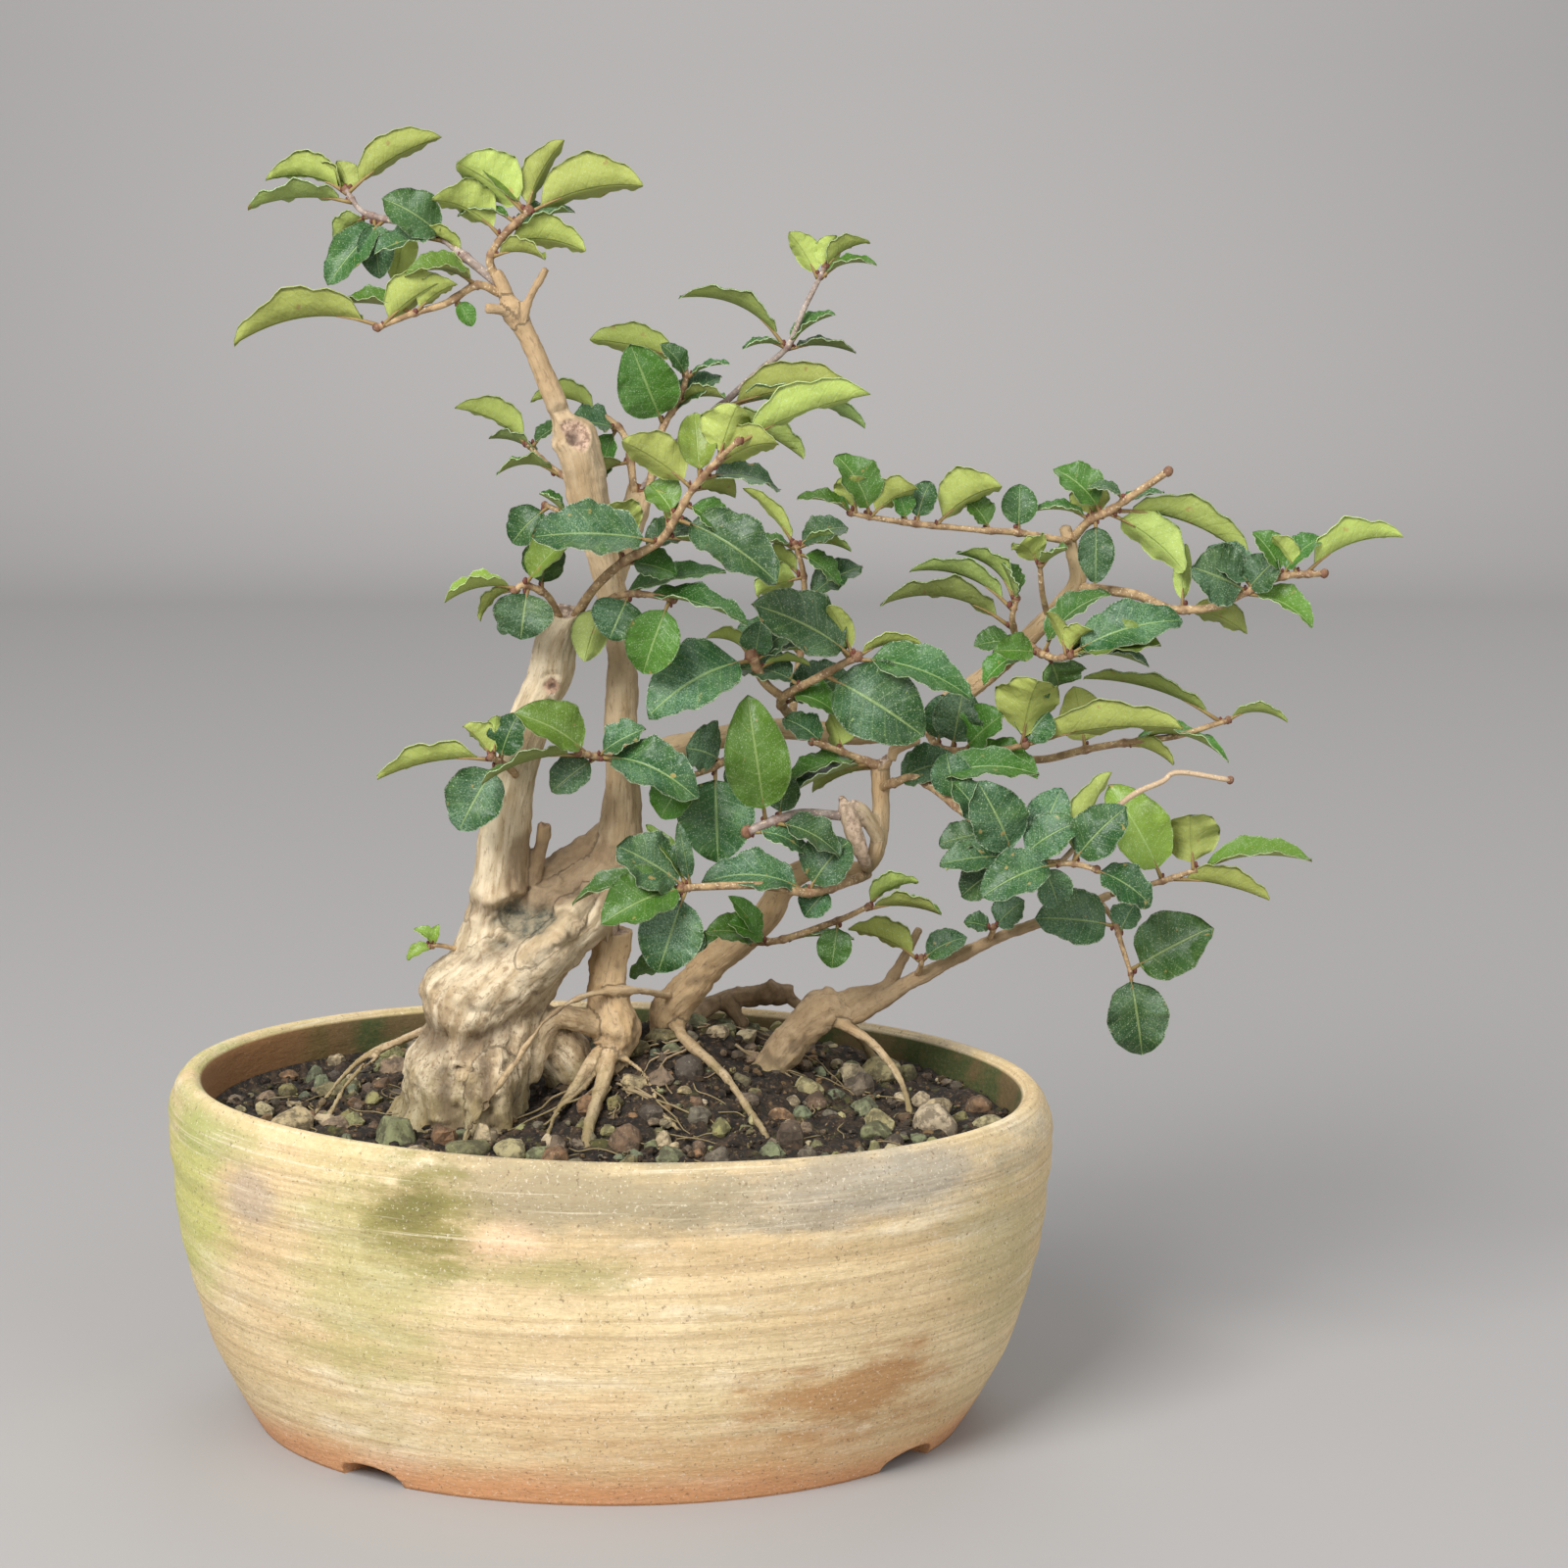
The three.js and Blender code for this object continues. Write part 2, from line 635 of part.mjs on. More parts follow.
      leaves: [
        [1, 20, -10, 16, 12, 40, 0.8],
        [5, 115, -10, 20, 14, 60, 1],
        [5.6, 65, 15, 18, 11, 50, 0.9],
        [5.3, 35, -10, 16, 11, 50, 1],
        [7, 48, -5, 18, 12, 55, 1],
        [5, 184, -10, 17, 9, 45, 1],
        [4, 192, -10, 11, 8, 50, 0.8],
        [5.2, 216, 10, 16, 11, 50, 0.9],
        [6.5, 201, -15, 20, 12, 50, 1],
        [4.5, 210, 25, 15, 11, -50, 0.2],
        [8, 328, -5, 16, 10, 45, 1],
        [4, 125, 10, 14, 10, 30, 0.8],
        [7, 65, 20, 23, 9, -40, 0.3],
      ],
    },
    {
      path: [[106, -21, 139], [113, -12, 144], [123, -4, 151], [131, 0, 154], [135, 1, 156], [147, 2, 154]],
      radii: [0.9, 0.8],
      leaves: [],
    },
  ],
  spray_f_tip: [
    {
      path: [[120, 6.5, 125.5], [132, 5, 129], [140, 4, 132]],
      radii: [1, 0.7],
      leaves: [
        [1, 120, 5, 26, 16, 60, 0.2],
        [2, 95, -10, 14, 16, -55, 0.3],
        [2, 5, 0, 28, 10, 15, 0.3],
        [1.3, 349, -10, 23, 10, -40, 0.15],
      ],
    },
  ],
  spray_f_hanging: [
    {
      path: [[117, 7, 124], [120, -2, 121], [122, -4, 115], [124, -5, 109]],
      radii: [0.9, 0.7],
      leaves: [
        [1.2, 171, -15, 20, 14, 60, 0.9],
        [3, 31, -10, 22, 17, 60, 0.7],
        [3, 279, 0, 21, 15, 75, 0.9],
        [1.5, 60, 20, 8, 8, 30, 0.8],
      ],
    },
  ],
  spray_f_side: [
    {
      path: [[74, 12, 104], [75, 7, 108], [75, 6, 110]],
      radii: [0.9, 0.7],
      leaves: [
        [2, 155, -5, 19, 11, -45, 0.15],
        [2, 28, 0, 12, 8, 45, 0.8],
      ],
    },
  ],
  spray_f_middle: [
    {
      path: [[91, 10, 113], [92, 5, 117], [92, 4, 118]],
      radii: [0.9, 0.7],
      leaves: [
        [2, 45, -5, 10, 9, 40, 0.9],
        [2, 165, -5, 7, 6, 40, 0.8],
      ],
    },
  ],
  spray_limb_middle: [
    {
      path: [[76, 27, 163], [79, 18, 159], [85, 12, 159], [93, 8, 160], [99, 4, 162]],
      radii: [1.3, 0.9],
      leaves: [
        [4, 79, -24, 18, 18, -50, 0.1],
        [4, 8, -10, 38, 13, -50, 0.1],
        [4, 50, 15, 10, 11, 50, 0.9],
        [2, 344, -20, 19, 9, 30, 0.4],
        [2, 45, -15, 14, 13, 40, 0.4],
        [1.6, 80, 0, 15, 12, 60, 1],
        [1, 85, 10, 12, 9, 50, 0.9],
      ],
    },
  ],
  spray_limb_long: [
    {
      path: [
        [82, 25, 167], [93, 22, 157], [103, 17, 156], [114, 14, 159], [123, 12, 161], [135, 10, 163],
        [144, 9, 166], [147, 9, 167],
      ],
      radii: [1.3, 0.8],
      leaves: [
        [6.6, 163, 5, 34, 10, -15, 0.4],
        [7, 0, 0, 15, 6, -15, 0.4],
        [4, 352, -10, 25, 9, 0, 0.4],
        [4, 340, -22, 13, 6, -40, 0.15],
        [3, 100, 20, 15, 13, -50, 0.25],
      ],
    },
  ],
  spray_limb_up: [
    {
      path: [[98, 19, 183], [96, 10, 191], [97, 8, 196]],
      radii: [1.1, 0.7],
      leaves: [
        [1.5, 159, -5, 26, 9, -25, 0.5],
        [0.7, 168, -15, 33, 12, -30, 0.5],
        [2, 141, 5, 18, 9, -20, 0.4],
        [2, 110, -5, 10, 9, 10, 0.6],
      ],
    },
  ],
  spray_limb_thin: [
    {
      path: [[105, 17, 190], [103, 9, 197], [102, 5, 205]],
      radii: [1, 0.7],
      leaves: [
        [2, 130, -32, 9, 10, -50, 0.2],
        [2, 40, -35, 9, 8, 10, 0.5],
      ],
    },
  ],
  spray_limb_front: [
    {
      path: [[99, 18, 184], [103, 8, 183], [106, 2, 183], [109, 0, 184]],
      radii: [1.2, 0.8],
      leaves: [
        [3, 8, -10, 22, 12, 35, 0.25],
        [3, 17, 2, 28, 13, 45, 0.9],
        [2.6, 354, 0, 20, 10, 10, 0.8],
        [3, 50, -20, 9, 8, -40, 0.1],
        [3, 115, -15, 12, 4, -30, 0.1],
        [1, 43, -5, 21, 11, 20, 0.6],
        [1.4, 290, 30, 9, 13, 60, 0.6],
        [0.8, 175, -20, 11, 8, 60, 0.4],
      ],
    },
  ],
  spray_right_top_left: [
    {
      path: [
        [110, 12, 209], [107, 8, 210], [97, 6, 212], [88, 3, 213], [73, -1, 215], [62, -4, 217],
        [58, -5, 218],
      ],
      radii: [1.1, 0.7],
      leaves: [
        [6, 165, -5, 14, 6, 20, 0.4],
        [6, 100, -15, 9, 11, -50, 0.15],
        [5, 120, 5, 16, 12, 30, 0.4],
        [5, 32, -10, 13, 10, -50, 0.15],
        [4.2, 105, 0, 9, 6, 30, 0.5],
        [3.7, 32, -10, 18, 14, -55, 0.05],
        [2.8, 130, 12, 9, 8, 30, 0.5],
      ],
    },
  ],
  spray_right_top_up: [
    {
      path: [[110, 11, 210], [114, 7, 215], [118, 6, 217], [123, 3, 221], [131, 0, 227]],
      radii: [1.4, 1],
      leaves: [
        [1, 172, 0, 13, 6, 10, 0.6],
        [1.6, 138, 10, 15, 11, 40, 0.5],
        [1, 90, -10, 8, 11, -50, 0.15],
        [1.2, 270, -8, 15, 9, 75, 0.8],
        [2, 18, 12, 14, 5, 10, 0.9],
        [2.2, 340, 0, 34, 12, -35, 0.3],
        [2, 323, -12, 22, 12, -60, 0.35],
      ],
    },
  ],
  spray_right_top_right: [
    {
      path: [
        [111, 14, 198], [117, 10, 198], [125, 8, 197], [130, 6, 195], [134, 5, 194], [143, 3, 195],
        [150, 0, 199], [158, -3, 203], [167, -5, 204],
      ],
      radii: [1.6, 0.9],
      leaves: [
        [4.2, 88, 0, 15, 5, -30, 0.3],
        [6, 155, -15, 15, 16, 60, 0.9],
        [6, 50, -15, 11, 10, 50, 0.9],
        [6.2, 140, 15, 14, 10, 40, 0.9],
        [7, 125, 8, 12, 9, 30, 0.5],
        [7.4, 125, -12, 11, 6, -40, 0.1],
        [7, 42, 12, 13, 8, 30, 0.6],
        [7.6, 21, 0, 24, 11, -40, 0.1],
        [6, 333, -10, 17, 9, 30, 0.3],
        [4.2, 341, -5, 16, 10, -50, 0.4],
      ],
    },
  ],
  spray_base_sprout: [
    {
      path: [[-33, 1, 113], [-39, -2, 115], [-41, -3, 115]],
      radii: [0.8, 0.6],
      leaves: [
        [2, 140, 0, 6, 4, 30, 0.2],
        [2, 205, -10, 7, 4, 40, 0.2],
        [2, 75, 5, 5, 3, 30, 0.2],
      ],
    },
  ],
};

const radians = THREE.MathUtils.degToRad;

// A number from 0 to 1 that is always the same for the same seed.
function draw(seed) {
  const spread = Math.sin(seed * 12.9898) * 43758.5453;
  return spread - Math.floor(spread);
}

// A closed three.js geometry as a solid that can be joined and cut.
function solidOf(geometry) {
  const bare = geometry.clone();
  bare.deleteAttribute("normal");
  bare.deleteAttribute("uv");
  const merged = mergeVertices(bare, 1e-4);
  const corners = [...merged.index.array];
  const faces = [];
  for (let i = 0; i < corners.length; i += 3) {
    const [a, b, c] = corners.slice(i, i + 3);
    if (a !== b && b !== c && c !== a) faces.push(a, b, c);
  }
  return new wasm.Manifold(
    new wasm.Mesh({
      numProp: 3,
      vertProperties: merged.attributes.position.array,
      triVerts: new Uint32Array(faces),
    }),
  );
}

// The largest body of a solid, without the scraps that a cut can leave.
function largestBody(solid) {
  return solid.decompose().reduce((best, body) => (body.volume() > best.volume() ? body : best));
}

function joined(solids) {
  return solids.reduce((all, solid) => all.add(solid));
}

// A solid as a named mesh with its own material.
function namedMesh(name, solid, colour, roughness) {
  const result = solid.getMesh();
  const geometry = new THREE.BufferGeometry();
  geometry.setAttribute("position", new THREE.BufferAttribute(result.vertProperties, 3));
  geometry.setIndex(new THREE.BufferAttribute(result.triVerts, 1));
  const material = new THREE.MeshStandardMaterial({
    color: colour,
    roughness,
    metalness: 0,
    flatShading: true,
  });
  const mesh = new THREE.Mesh(geometry, material);
  mesh.name = name;
  return mesh;
}

function curveOf(path) {
  const points = path.map((place) => new THREE.Vector3(...place));
  return new THREE.CatmullRomCurve3(points, false, "catmullrom", 0.5);
}

// A round limb: a closed cylinder bent along a curve, its rings scaled to the radius at each path point.
function limbSolid({ path, radii, sides = TWIG_SIDES }, extra = 0, ringsPerSpan = 1) {
  const spans = path.length - 1;
  const rings = spans * ringsPerSpan;
  const curve = curveOf(path);
  const geometry = new THREE.CylinderGeometry(1, 1, 1, sides, rings);
  const centres = [];
  const across = [];
  const upward = [];
  let side = new THREE.Vector3(0.3, 1, 0.2);
  for (let ring = 0; ring <= rings; ring += 1) {
    const tangent = curve.getTangent(ring / rings);
    side = side.clone().addScaledVector(tangent, -side.dot(tangent)).normalize();
    centres.push(curve.getPoint(ring / rings));
    across.push(side);
    upward.push(tangent.clone().cross(side));
  }
  const position = geometry.attributes.position;
  for (let i = 0; i < position.count; i += 1) {
    const ring = Math.round((0.5 - position.getY(i)) * rings);
    const along = (ring / rings) * (radii.length - 1);
    const before = Math.min(Math.floor(along), radii.length - 2);
    const radius = THREE.MathUtils.lerp(radii[before], radii[before + 1], along - before) + extra;
    const point = centres[ring].clone();
    point.addScaledVector(across[ring], position.getX(i) * radius);
    point.addScaledVector(upward[ring], position.getZ(i) * radius);
    position.setXYZ(i, point.x, point.y, point.z);
  }
  return solidOf(geometry);
}

// A place of the pot's round profile brought to the oval, turned and slightly tilted pot.
function potPlace(x, y, z) {
  const oval = THREE.MathUtils.lerp(OVAL_BASE, OVAL_RIM, Math.min(z / POT_HEIGHT, 1));
  const turn = radians(POT_TURN);
  const px = x * Math.cos(turn) - y * oval * Math.sin(turn);
  const py = x * Math.sin(turn) + y * oval * Math.cos(turn);
  return [px + POT_LEAN * z, py, z - (RIM_FALL * px * z) / POT_HEIGHT];
}

// A closed profile of [half width, height] turned about the upright axis and brought to the pot's oval.
function ovalSolid(profile, segments) {
  const points = profile.map(([halfWidth, height]) => new THREE.Vector2(halfWidth, height));
  const geometry = new THREE.LatheGeometry(points, segments);
  const position = geometry.attributes.position;
  for (let i = 0; i < position.count; i += 1) {
    const place = potPlace(position.getX(i), -position.getZ(i), position.getY(i));
    position.setXYZ(i, ...place);
  }
  return solidOf(geometry);
}

// A straight bar with an arched top, lying from the pot's middle outward: one drain channel.
function channelSolid(bearing) {
  const arch = new THREE.Shape();
  const half = NOTCH_WIDTH / 2;
  const left = NOTCH_ARCH.slice(0, -1).reverse();
  arch.moveTo(-half, -NOTCH_DROP);
  arch.lineTo(half, -NOTCH_DROP);
  for (const [out, up] of NOTCH_ARCH) arch.lineTo(half * out, NOTCH_HEIGHT * up);
  for (const [out, up] of left) arch.lineTo(-half * out, NOTCH_HEIGHT * up);
  const geometry = new THREE.ExtrudeGeometry(arch, { depth: NOTCH_END - NOTCH_START, bevelEnabled: false });
  geometry.rotateX(Math.PI / 2);
  geometry.rotateZ(Math.PI);
  geometry.translate(0, NOTCH_START, 0);
  geometry.rotateZ(radians(bearing - 90));
  return solidOf(geometry);
}

function drainPlaces() {
  return NOTCH_BEARINGS.map((bearing) => [
    DRAIN_DISTANCE * Math.cos(radians(bearing)),
    DRAIN_DISTANCE * Math.sin(radians(bearing)),
  ]);
}

function potSolid() {
  let pot = ovalSolid([[0, 0], ...OUTER_WALL, ...INNER_WALL, [0, FLOOR_TOP]], POT_SIDES);
  for (const bearing of NOTCH_BEARINGS) pot = pot.subtract(channelSolid(bearing));
  for (const [x, y] of drainPlaces()) {
    const hole = new THREE.CylinderGeometry(DRAIN_RADIUS, DRAIN_RADIUS, 3 * FLOOR_TOP, DRAIN_SIDES);
    hole.rotateX(Math.PI / 2);
    hole.translate(x, y, FLOOR_TOP / 2);
    pot = pot.subtract(solidOf(hole));
  }
  return pot;
}

// A square plate with two slots, lying over a drain hole on the pot's floor.
function coverSolid([x, y]) {
  let cover = solidOf(new THREE.BoxGeometry(COVER_SIZE, COVER_SIZE, COVER_THICK));
  for (const side of [-1, 1]) {
    const slot = new THREE.BoxGeometry(SLOT_WIDTH, SLOT_LENGTH, 3 * COVER_THICK);
    slot.translate(side * SLOT_WIDTH, 0, 0);
    cover = cover.subtract(solidOf(slot));
  }
  return cover.translate([x, y, FLOOR_TOP + 2 * GAP + COVER_THICK / 2]);
}

// Height of the soil's surface: a level bed with one mound round the roots.
function soilHeight(x, y) {
  const reach = ((x - MOUND_X) / MOUND_REACH_X) ** 2 + ((y - MOUND_Y) / MOUND_REACH_Y) ** 2;
  return SOIL_LEVEL + MOUND_HEIGHT * Math.exp(-reach);
}

// The soil fills the pot's inside and is cut away round each root, stone and drain cover.
function soilSolid(buried) {
  const wall = INNER_WALL.filter(([, height]) => height < SOIL_LEVEL).reverse();
  const profile = [[0, FLOOR_TOP + GAP]];
  for (const [halfWidth, height] of wall) profile.push([halfWidth - 2 * GAP, height + GAP]);
  profile.push([SOIL_EDGE, SOIL_LEVEL - GAP]);
  for (const halfWidth of SOIL_RINGS) profile.push([halfWidth, SOIL_LEVEL]);
  const points = profile.map(([halfWidth, height]) => new THREE.Vector2(halfWidth, height));
  const geometry = new THREE.LatheGeometry(points, SOIL_SIDES);
  const position = geometry.attributes.position;
  for (let i = 0; i < position.count; i += 1) {
    const place = potPlace(position.getX(i), -position.getZ(i), position.getY(i));
    if (position.getY(i) > SOIL_LEVEL - GAP / 2) {
      const bump = draw(Math.round(place[0] * 3) + 7.7 * Math.round(place[1] * 3)) - 0.5;
      place[2] = soilHeight(place[0], place[1]) + 2 * SOIL_ROUGHNESS * bump;
    }
    position.setXYZ(i, ...place);
  }
  return largestBody(buried.reduce((soil, solid) => soil.subtract(solid), solidOf(geometry)));
}

// A rough stone: a ball with its corners pushed in and out, sunk in the soil.
function stoneSolid([x, y, width, height, depth, turn], extra) {
  const geometry = new THREE.DodecahedronGeometry(STONE_RADIUS, 0);
  const position = geometry.attributes.position;
  for (let i = 0; i < position.count; i += 1) {
    const corner = new THREE.Vector3().fromBufferAttribute(position, i);
    const key = Math.round(corner.x * 90) + 3 * Math.round(corner.y * 90) + 11 * Math.round(corner.z * 90);
    corner.multiplyScalar(THREE.MathUtils.lerp(STONE_LEAST, STONE_MOST, draw(key + x)));
    position.setXYZ(i, corner.x, corner.y, corner.z);
  }
  geometry.scale(width + extra, depth + extra, height + extra);
  geometry.rotateZ(radians(turn));
  geometry.translate(x, y, soilHeight(x, y) + height * STONE_RISE);
  return solidOf(geometry);
}

// Half width of a blade at a place s from 0 at its stalk to 1 at its tip.
function halfWidth(s, width) {
  return (width / 2) * Math.sin(Math.PI * s ** WIDEST_EARLY) ** BLUNTNESS;
}

// One leaf: a thin slab with a folded, arched and waved blade on a straight line from the twig to its tip.
function leafSolid(twig, [place, bearing, lean, length, width, face, age]) {
  const seed = place * 7.1 + bearing * 1.3 + length * 3.7;
  const bulge = THREE.MathUtils.lerp(...ARCH, draw(seed + 1));
  const fold = THREE.MathUtils.lerp(YOUNG_FOLD, OLD_FOLD, age) + FOLD_SPREAD * (draw(seed + 2) - 0.5);
  const wave = width * THREE.MathUtils.lerp(...WAVE, draw(seed + 3));
  const phase = 2 * Math.PI * draw(seed + 4);
  const flat = Math.cos(radians(lean));
  const along = new THREE.Vector3(
    Math.cos(radians(bearing)) * flat,
    Math.sin(radians(lean)),
    Math.sin(radians(bearing)) * flat,
  );
  // The stalk starts inside the twig, a little off its middle line on the leaf's own side.
  const share = place / (twig.path.length - 1);
  const curve = curveOf(twig.path);
  const tangent = curve.getTangent(share);
  const outward = along.clone().addScaledVector(tangent, -along.dot(tangent));
  const start = curve.getPoint(share);
  start.addScaledVector(outward, STALK_ROOT * THREE.MathUtils.lerp(twig.radii[0], twig.radii[1], share));
  start.addScaledVector(tangent, -STALK_BACK * share ** 8);
  const top = new THREE.Vector3(0, -Math.sin(radians(face)), Math.cos(radians(face)));
  top.addScaledVector(along, -top.dot(along)).normalize();
  const side = top.clone().cross(along);
  const at = (part, offset, rise) =>
    start
      .clone()
      .addScaledVector(along, part * length)
      .addScaledVector(side, offset)
      .addScaledVector(top, rise + 4 * bulge * length * part * (1 - part));
  const { rows } = BLADE_ROWS.find(({ from }) => length >= from);
  const ribbed = rows.length > 1 && fold > FLAT_FOLD;
  const line = [at(0, 0, 0)];
  for (const s of rows) {
    const part = PETIOLE_SHARE + (1 - PETIOLE_SHARE) * s;
    const half = halfWidth(s, width);
    const ripple = (shift) => wave * Math.sin(WAVE_TURN * s + phase + shift);
    line.push(at(part, half, fold * half + ripple(0)));
    if (ribbed) line.push(at(part, 0, 0));
    line.push(at(part, -half, fold * half + ripple(WAVE_SHIFT)));
  }
  line.push(at(1, 0, 0));
  return bladeSolid(line, ribbed ? 3 : 2, top);
}

// A blade of even thickness over points that run from its stalk in rows to its tip.
function bladeSolid(line, rowSize, top) {
  const count = line.length;
  const lift = top.clone().multiplyScalar(BLADE_THICK / 2);
  const vertices = [];
  for (const point of line) vertices.push(...point.clone().add(lift).toArray());
  for (const point of line) vertices.push(...point.clone().sub(lift).toArray());
  const faces = [];
  const both = (a, b, c) => faces.push(a, b, c, a + count, c + count, b + count);
  const rim = (a, b) => faces.push(a, a + count, b + count, a, b + count, b);
  const tip = count - 1;
  const lastRow = tip - rowSize;
  for (let k = 1; k < rowSize; k += 1) {
    both(0, k + 1, k);
    both(lastRow + k - 1, lastRow + k, tip);
  }
  for (let row = 1; row < lastRow; row += rowSize) {
    for (let k = row; k < row + rowSize - 1; k += 1) {
      both(k, k + 1, k + rowSize + 1);
      both(k, k + rowSize + 1, k + rowSize);
    }
    rim(row + rowSize, row);
    rim(row + rowSize - 1, row + 2 * rowSize - 1);
  }
  rim(0, rowSize);
  rim(1, 0);
  rim(tip, lastRow);
  rim(tip - 1, tip);
  const geometry = new THREE.BufferGeometry();
  geometry.setAttribute("position", new THREE.Float32BufferAttribute(vertices, 3));
  geometry.setIndex(faces);
  return solidOf(geometry);
}

// A leafy stem: its twigs, cut back to clear the wood that they grow from, joined with their leaves.
function spraySolid(twigs, parents) {
  const pieces = [];
  for (const twig of twigs) {
    let stem = limbSolid({ ...twig, sides: TWIG_SIDES });
    for (const parent of parents) stem = stem.subtract(parent);
    pieces.push(largestBody(stem));
    for (const leaf of twig.leaves) pieces.push(leafSolid(twig, leaf));
  }
  return largestBody(joined(pieces));
}

const bonsai = new THREE.Group();
bonsai.add(namedMesh("pot", potSolid(), POT_COLOUR, 0.9));
const covers = drainPlaces().map(coverSolid);
covers.forEach((cover, i) => bonsai.add(namedMesh(`drain_cover_${i + 1}`, cover, COVER_COLOUR, 0.6)));

const wood = [...Object.values(LIMBS), ...Object.values(ROOTS)];
const trunk = joined(wood.map((limb) => limbSolid(limb)));
const grownWood = wood.map((limb) => limbSolid(limb, GAP));
bonsai.add(namedMesh("trunk_and_roots", largestBody(trunk), BARK_COLOUR, 0.85));

const stones = Object.entries(STONES);
for (const [name, stone] of stones) bonsai.add(namedMesh(name, stoneSolid(stone, 0), STONE_COLOUR, 0.9));
const stoneHoles = stones.map(([, stone]) => stoneSolid(stone, 3 * GAP));
const coverHoles = drainPlaces().map(([x, y]) => {
  const room = new THREE.BoxGeometry(COVER_SIZE + COVER_ROOM, COVER_SIZE + COVER_ROOM, FLOOR_TOP);
  room.translate(x, y, FLOOR_TOP / 2 + COVER_THICK + 3 * GAP);
  return solidOf(room);
});
bonsai.add(namedMesh("soil", soilSolid([...grownWood, ...stoneHoles, ...coverHoles]), SOIL_COLOUR, 1));

for (const [name, twigs] of Object.entries(SPRAYS)) {
  bonsai.add(namedMesh(name, spraySolid(twigs, grownWood), LEAF_COLOUR, 0.6));
}

export default bonsai;
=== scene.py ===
"""A wild privet bonsai in an oval clay pot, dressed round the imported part.

Places and sizes are in millimetres until a mesh is made. X is right in the front view, Y is away from
the viewer and Z is up.
"""

import math

import bpy
import numpy as np
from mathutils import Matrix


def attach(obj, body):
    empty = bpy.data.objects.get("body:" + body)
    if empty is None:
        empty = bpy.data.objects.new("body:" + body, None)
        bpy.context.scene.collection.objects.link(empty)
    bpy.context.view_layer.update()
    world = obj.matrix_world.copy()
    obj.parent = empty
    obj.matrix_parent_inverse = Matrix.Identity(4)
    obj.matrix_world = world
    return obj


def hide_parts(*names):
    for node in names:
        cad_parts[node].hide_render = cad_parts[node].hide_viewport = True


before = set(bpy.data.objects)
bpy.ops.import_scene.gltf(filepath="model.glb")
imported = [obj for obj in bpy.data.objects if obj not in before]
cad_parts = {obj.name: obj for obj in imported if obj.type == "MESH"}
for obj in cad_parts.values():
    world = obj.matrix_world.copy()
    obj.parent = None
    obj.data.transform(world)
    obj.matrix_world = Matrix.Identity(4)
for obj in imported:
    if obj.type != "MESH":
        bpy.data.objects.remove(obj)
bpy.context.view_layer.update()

MM = 0.001

# Sizes shared with the solids.
POT_HEIGHT = 82.4
POT_TURN = -4.5
POT_LEAN = 0.013
RIM_FALL = 0.017
OVAL_BASE = 0.777
OVAL_RIM = 0.722
FLOOR_TOP = 9
OUTER_WALL = [(84.9, 0), (90.3, 9), (97.6, 25), (102.9, 46), (104.8, 67), (104.9, 76), (101.7, POT_HEIGHT)]
INNER_WALL = [(97.6, 81), (96, 73), (92.8, 42), (76, FLOOR_TOP)]
NOTCH_WIDTH = 17
NOTCH_HEIGHT = 4.5
NOTCH_DROP = 5  # how far a channel's cutter reaches below the underside
NOTCH_BEARINGS = (-136, -29, 44, 151)
NOTCH_START = 28
NOTCH_END = 110
LIP_TOP = (99.6, 82.5)
OUTER_STEP = 1.1  # spacing of the rings on the wall's outside, on its inside and on the lip
INNER_STEP = 2.2
LIP_STEP = 1.0
UNDERSIDE = (4, 82, 14)  # first ring, last ring and count of rings
FLOOR_TOP_RINGS = (73, 4, 10)
POT_SIDES = 288
FINE_RINGS = (0.28, 2.3, 5)  # height, size and seed of the throwing rings
BROAD_RINGS = (0.18, 5.0, 9)
THROWN_WAVE = (0.14, 0.42)  # height and turn for each millimetre
CLAY_WOBBLE = (0.25, 26.0, 2)
DRAIN_RADIUS = 6
DRAIN_DISTANCE = 36
COVER_SIZE = 20
COVER_THICK = 1
COVER_BARS = 9  # bars each way
BAR_RADIUS = 0.42
BAR_SHIFT = 0.08
GAP = 0.3
SOIL_LEVEL = 73
SOIL_EDGE = 95
MOUND_HEIGHT = 15.5
MOUND = (18, 22)
MOUND_REACH = (33, 39)
LUMPS = (1.2, 9.0, 21)  # height, size and seed of the unevenness of the soil
CRUMBS = (1.3, 2.8, 31)
SOIL_SIDES = 320
SOIL_RINGS = 96
PEBBLES = (420, 180)  # counts in the outer ring and on the mound
GRIT = 520
LOOSE_CRUMBS = 1300
FIBRES = 80
ROOTLETS = 15
FOOT = (-33, 1)  # the patch round the old foot that no lump touches: its middle, reach and widening in x
FOOT_REACH = 18
FOOT_WIDTH = 1.25
CHIP_DEPTH = (0.62, 0.2)  # nearest flat side of a chipped pebble, and how much further others lie
STONE_RISE = 0.18  # share of a named stone's height that its middle stands above the soil

# Blades of the leaves.
PETIOLE_SHARE = 0.12
WIDEST_EARLY = 0.85
BLUNTNESS = 0.58
ARCH = (0.05, 0.18)
WAVE = (0.03, 0.08)
WAVE_TURN = 15
WAVE_SHIFT = 2
CRINKLE = 0.03  # height of the fine crimp along a blade's edge, by its width
CRINKLE_TURN = 36
STALK_ROOT = 0.45
STALK_BACK = 0.8
STALK_RADII = (0.55, 0.45, 0.3, 0.14)
STALK_SHARE = 0.8  # how far a stalk takes the red-brown of stalks over the twig's own colour
YOUNG_FOLD = 0.72
OLD_FOLD = 0.3
YOUNG_SLIM = 0.16  # how much narrower the youngest blades are than in the rows
FOLD_SPREAD = 0.3

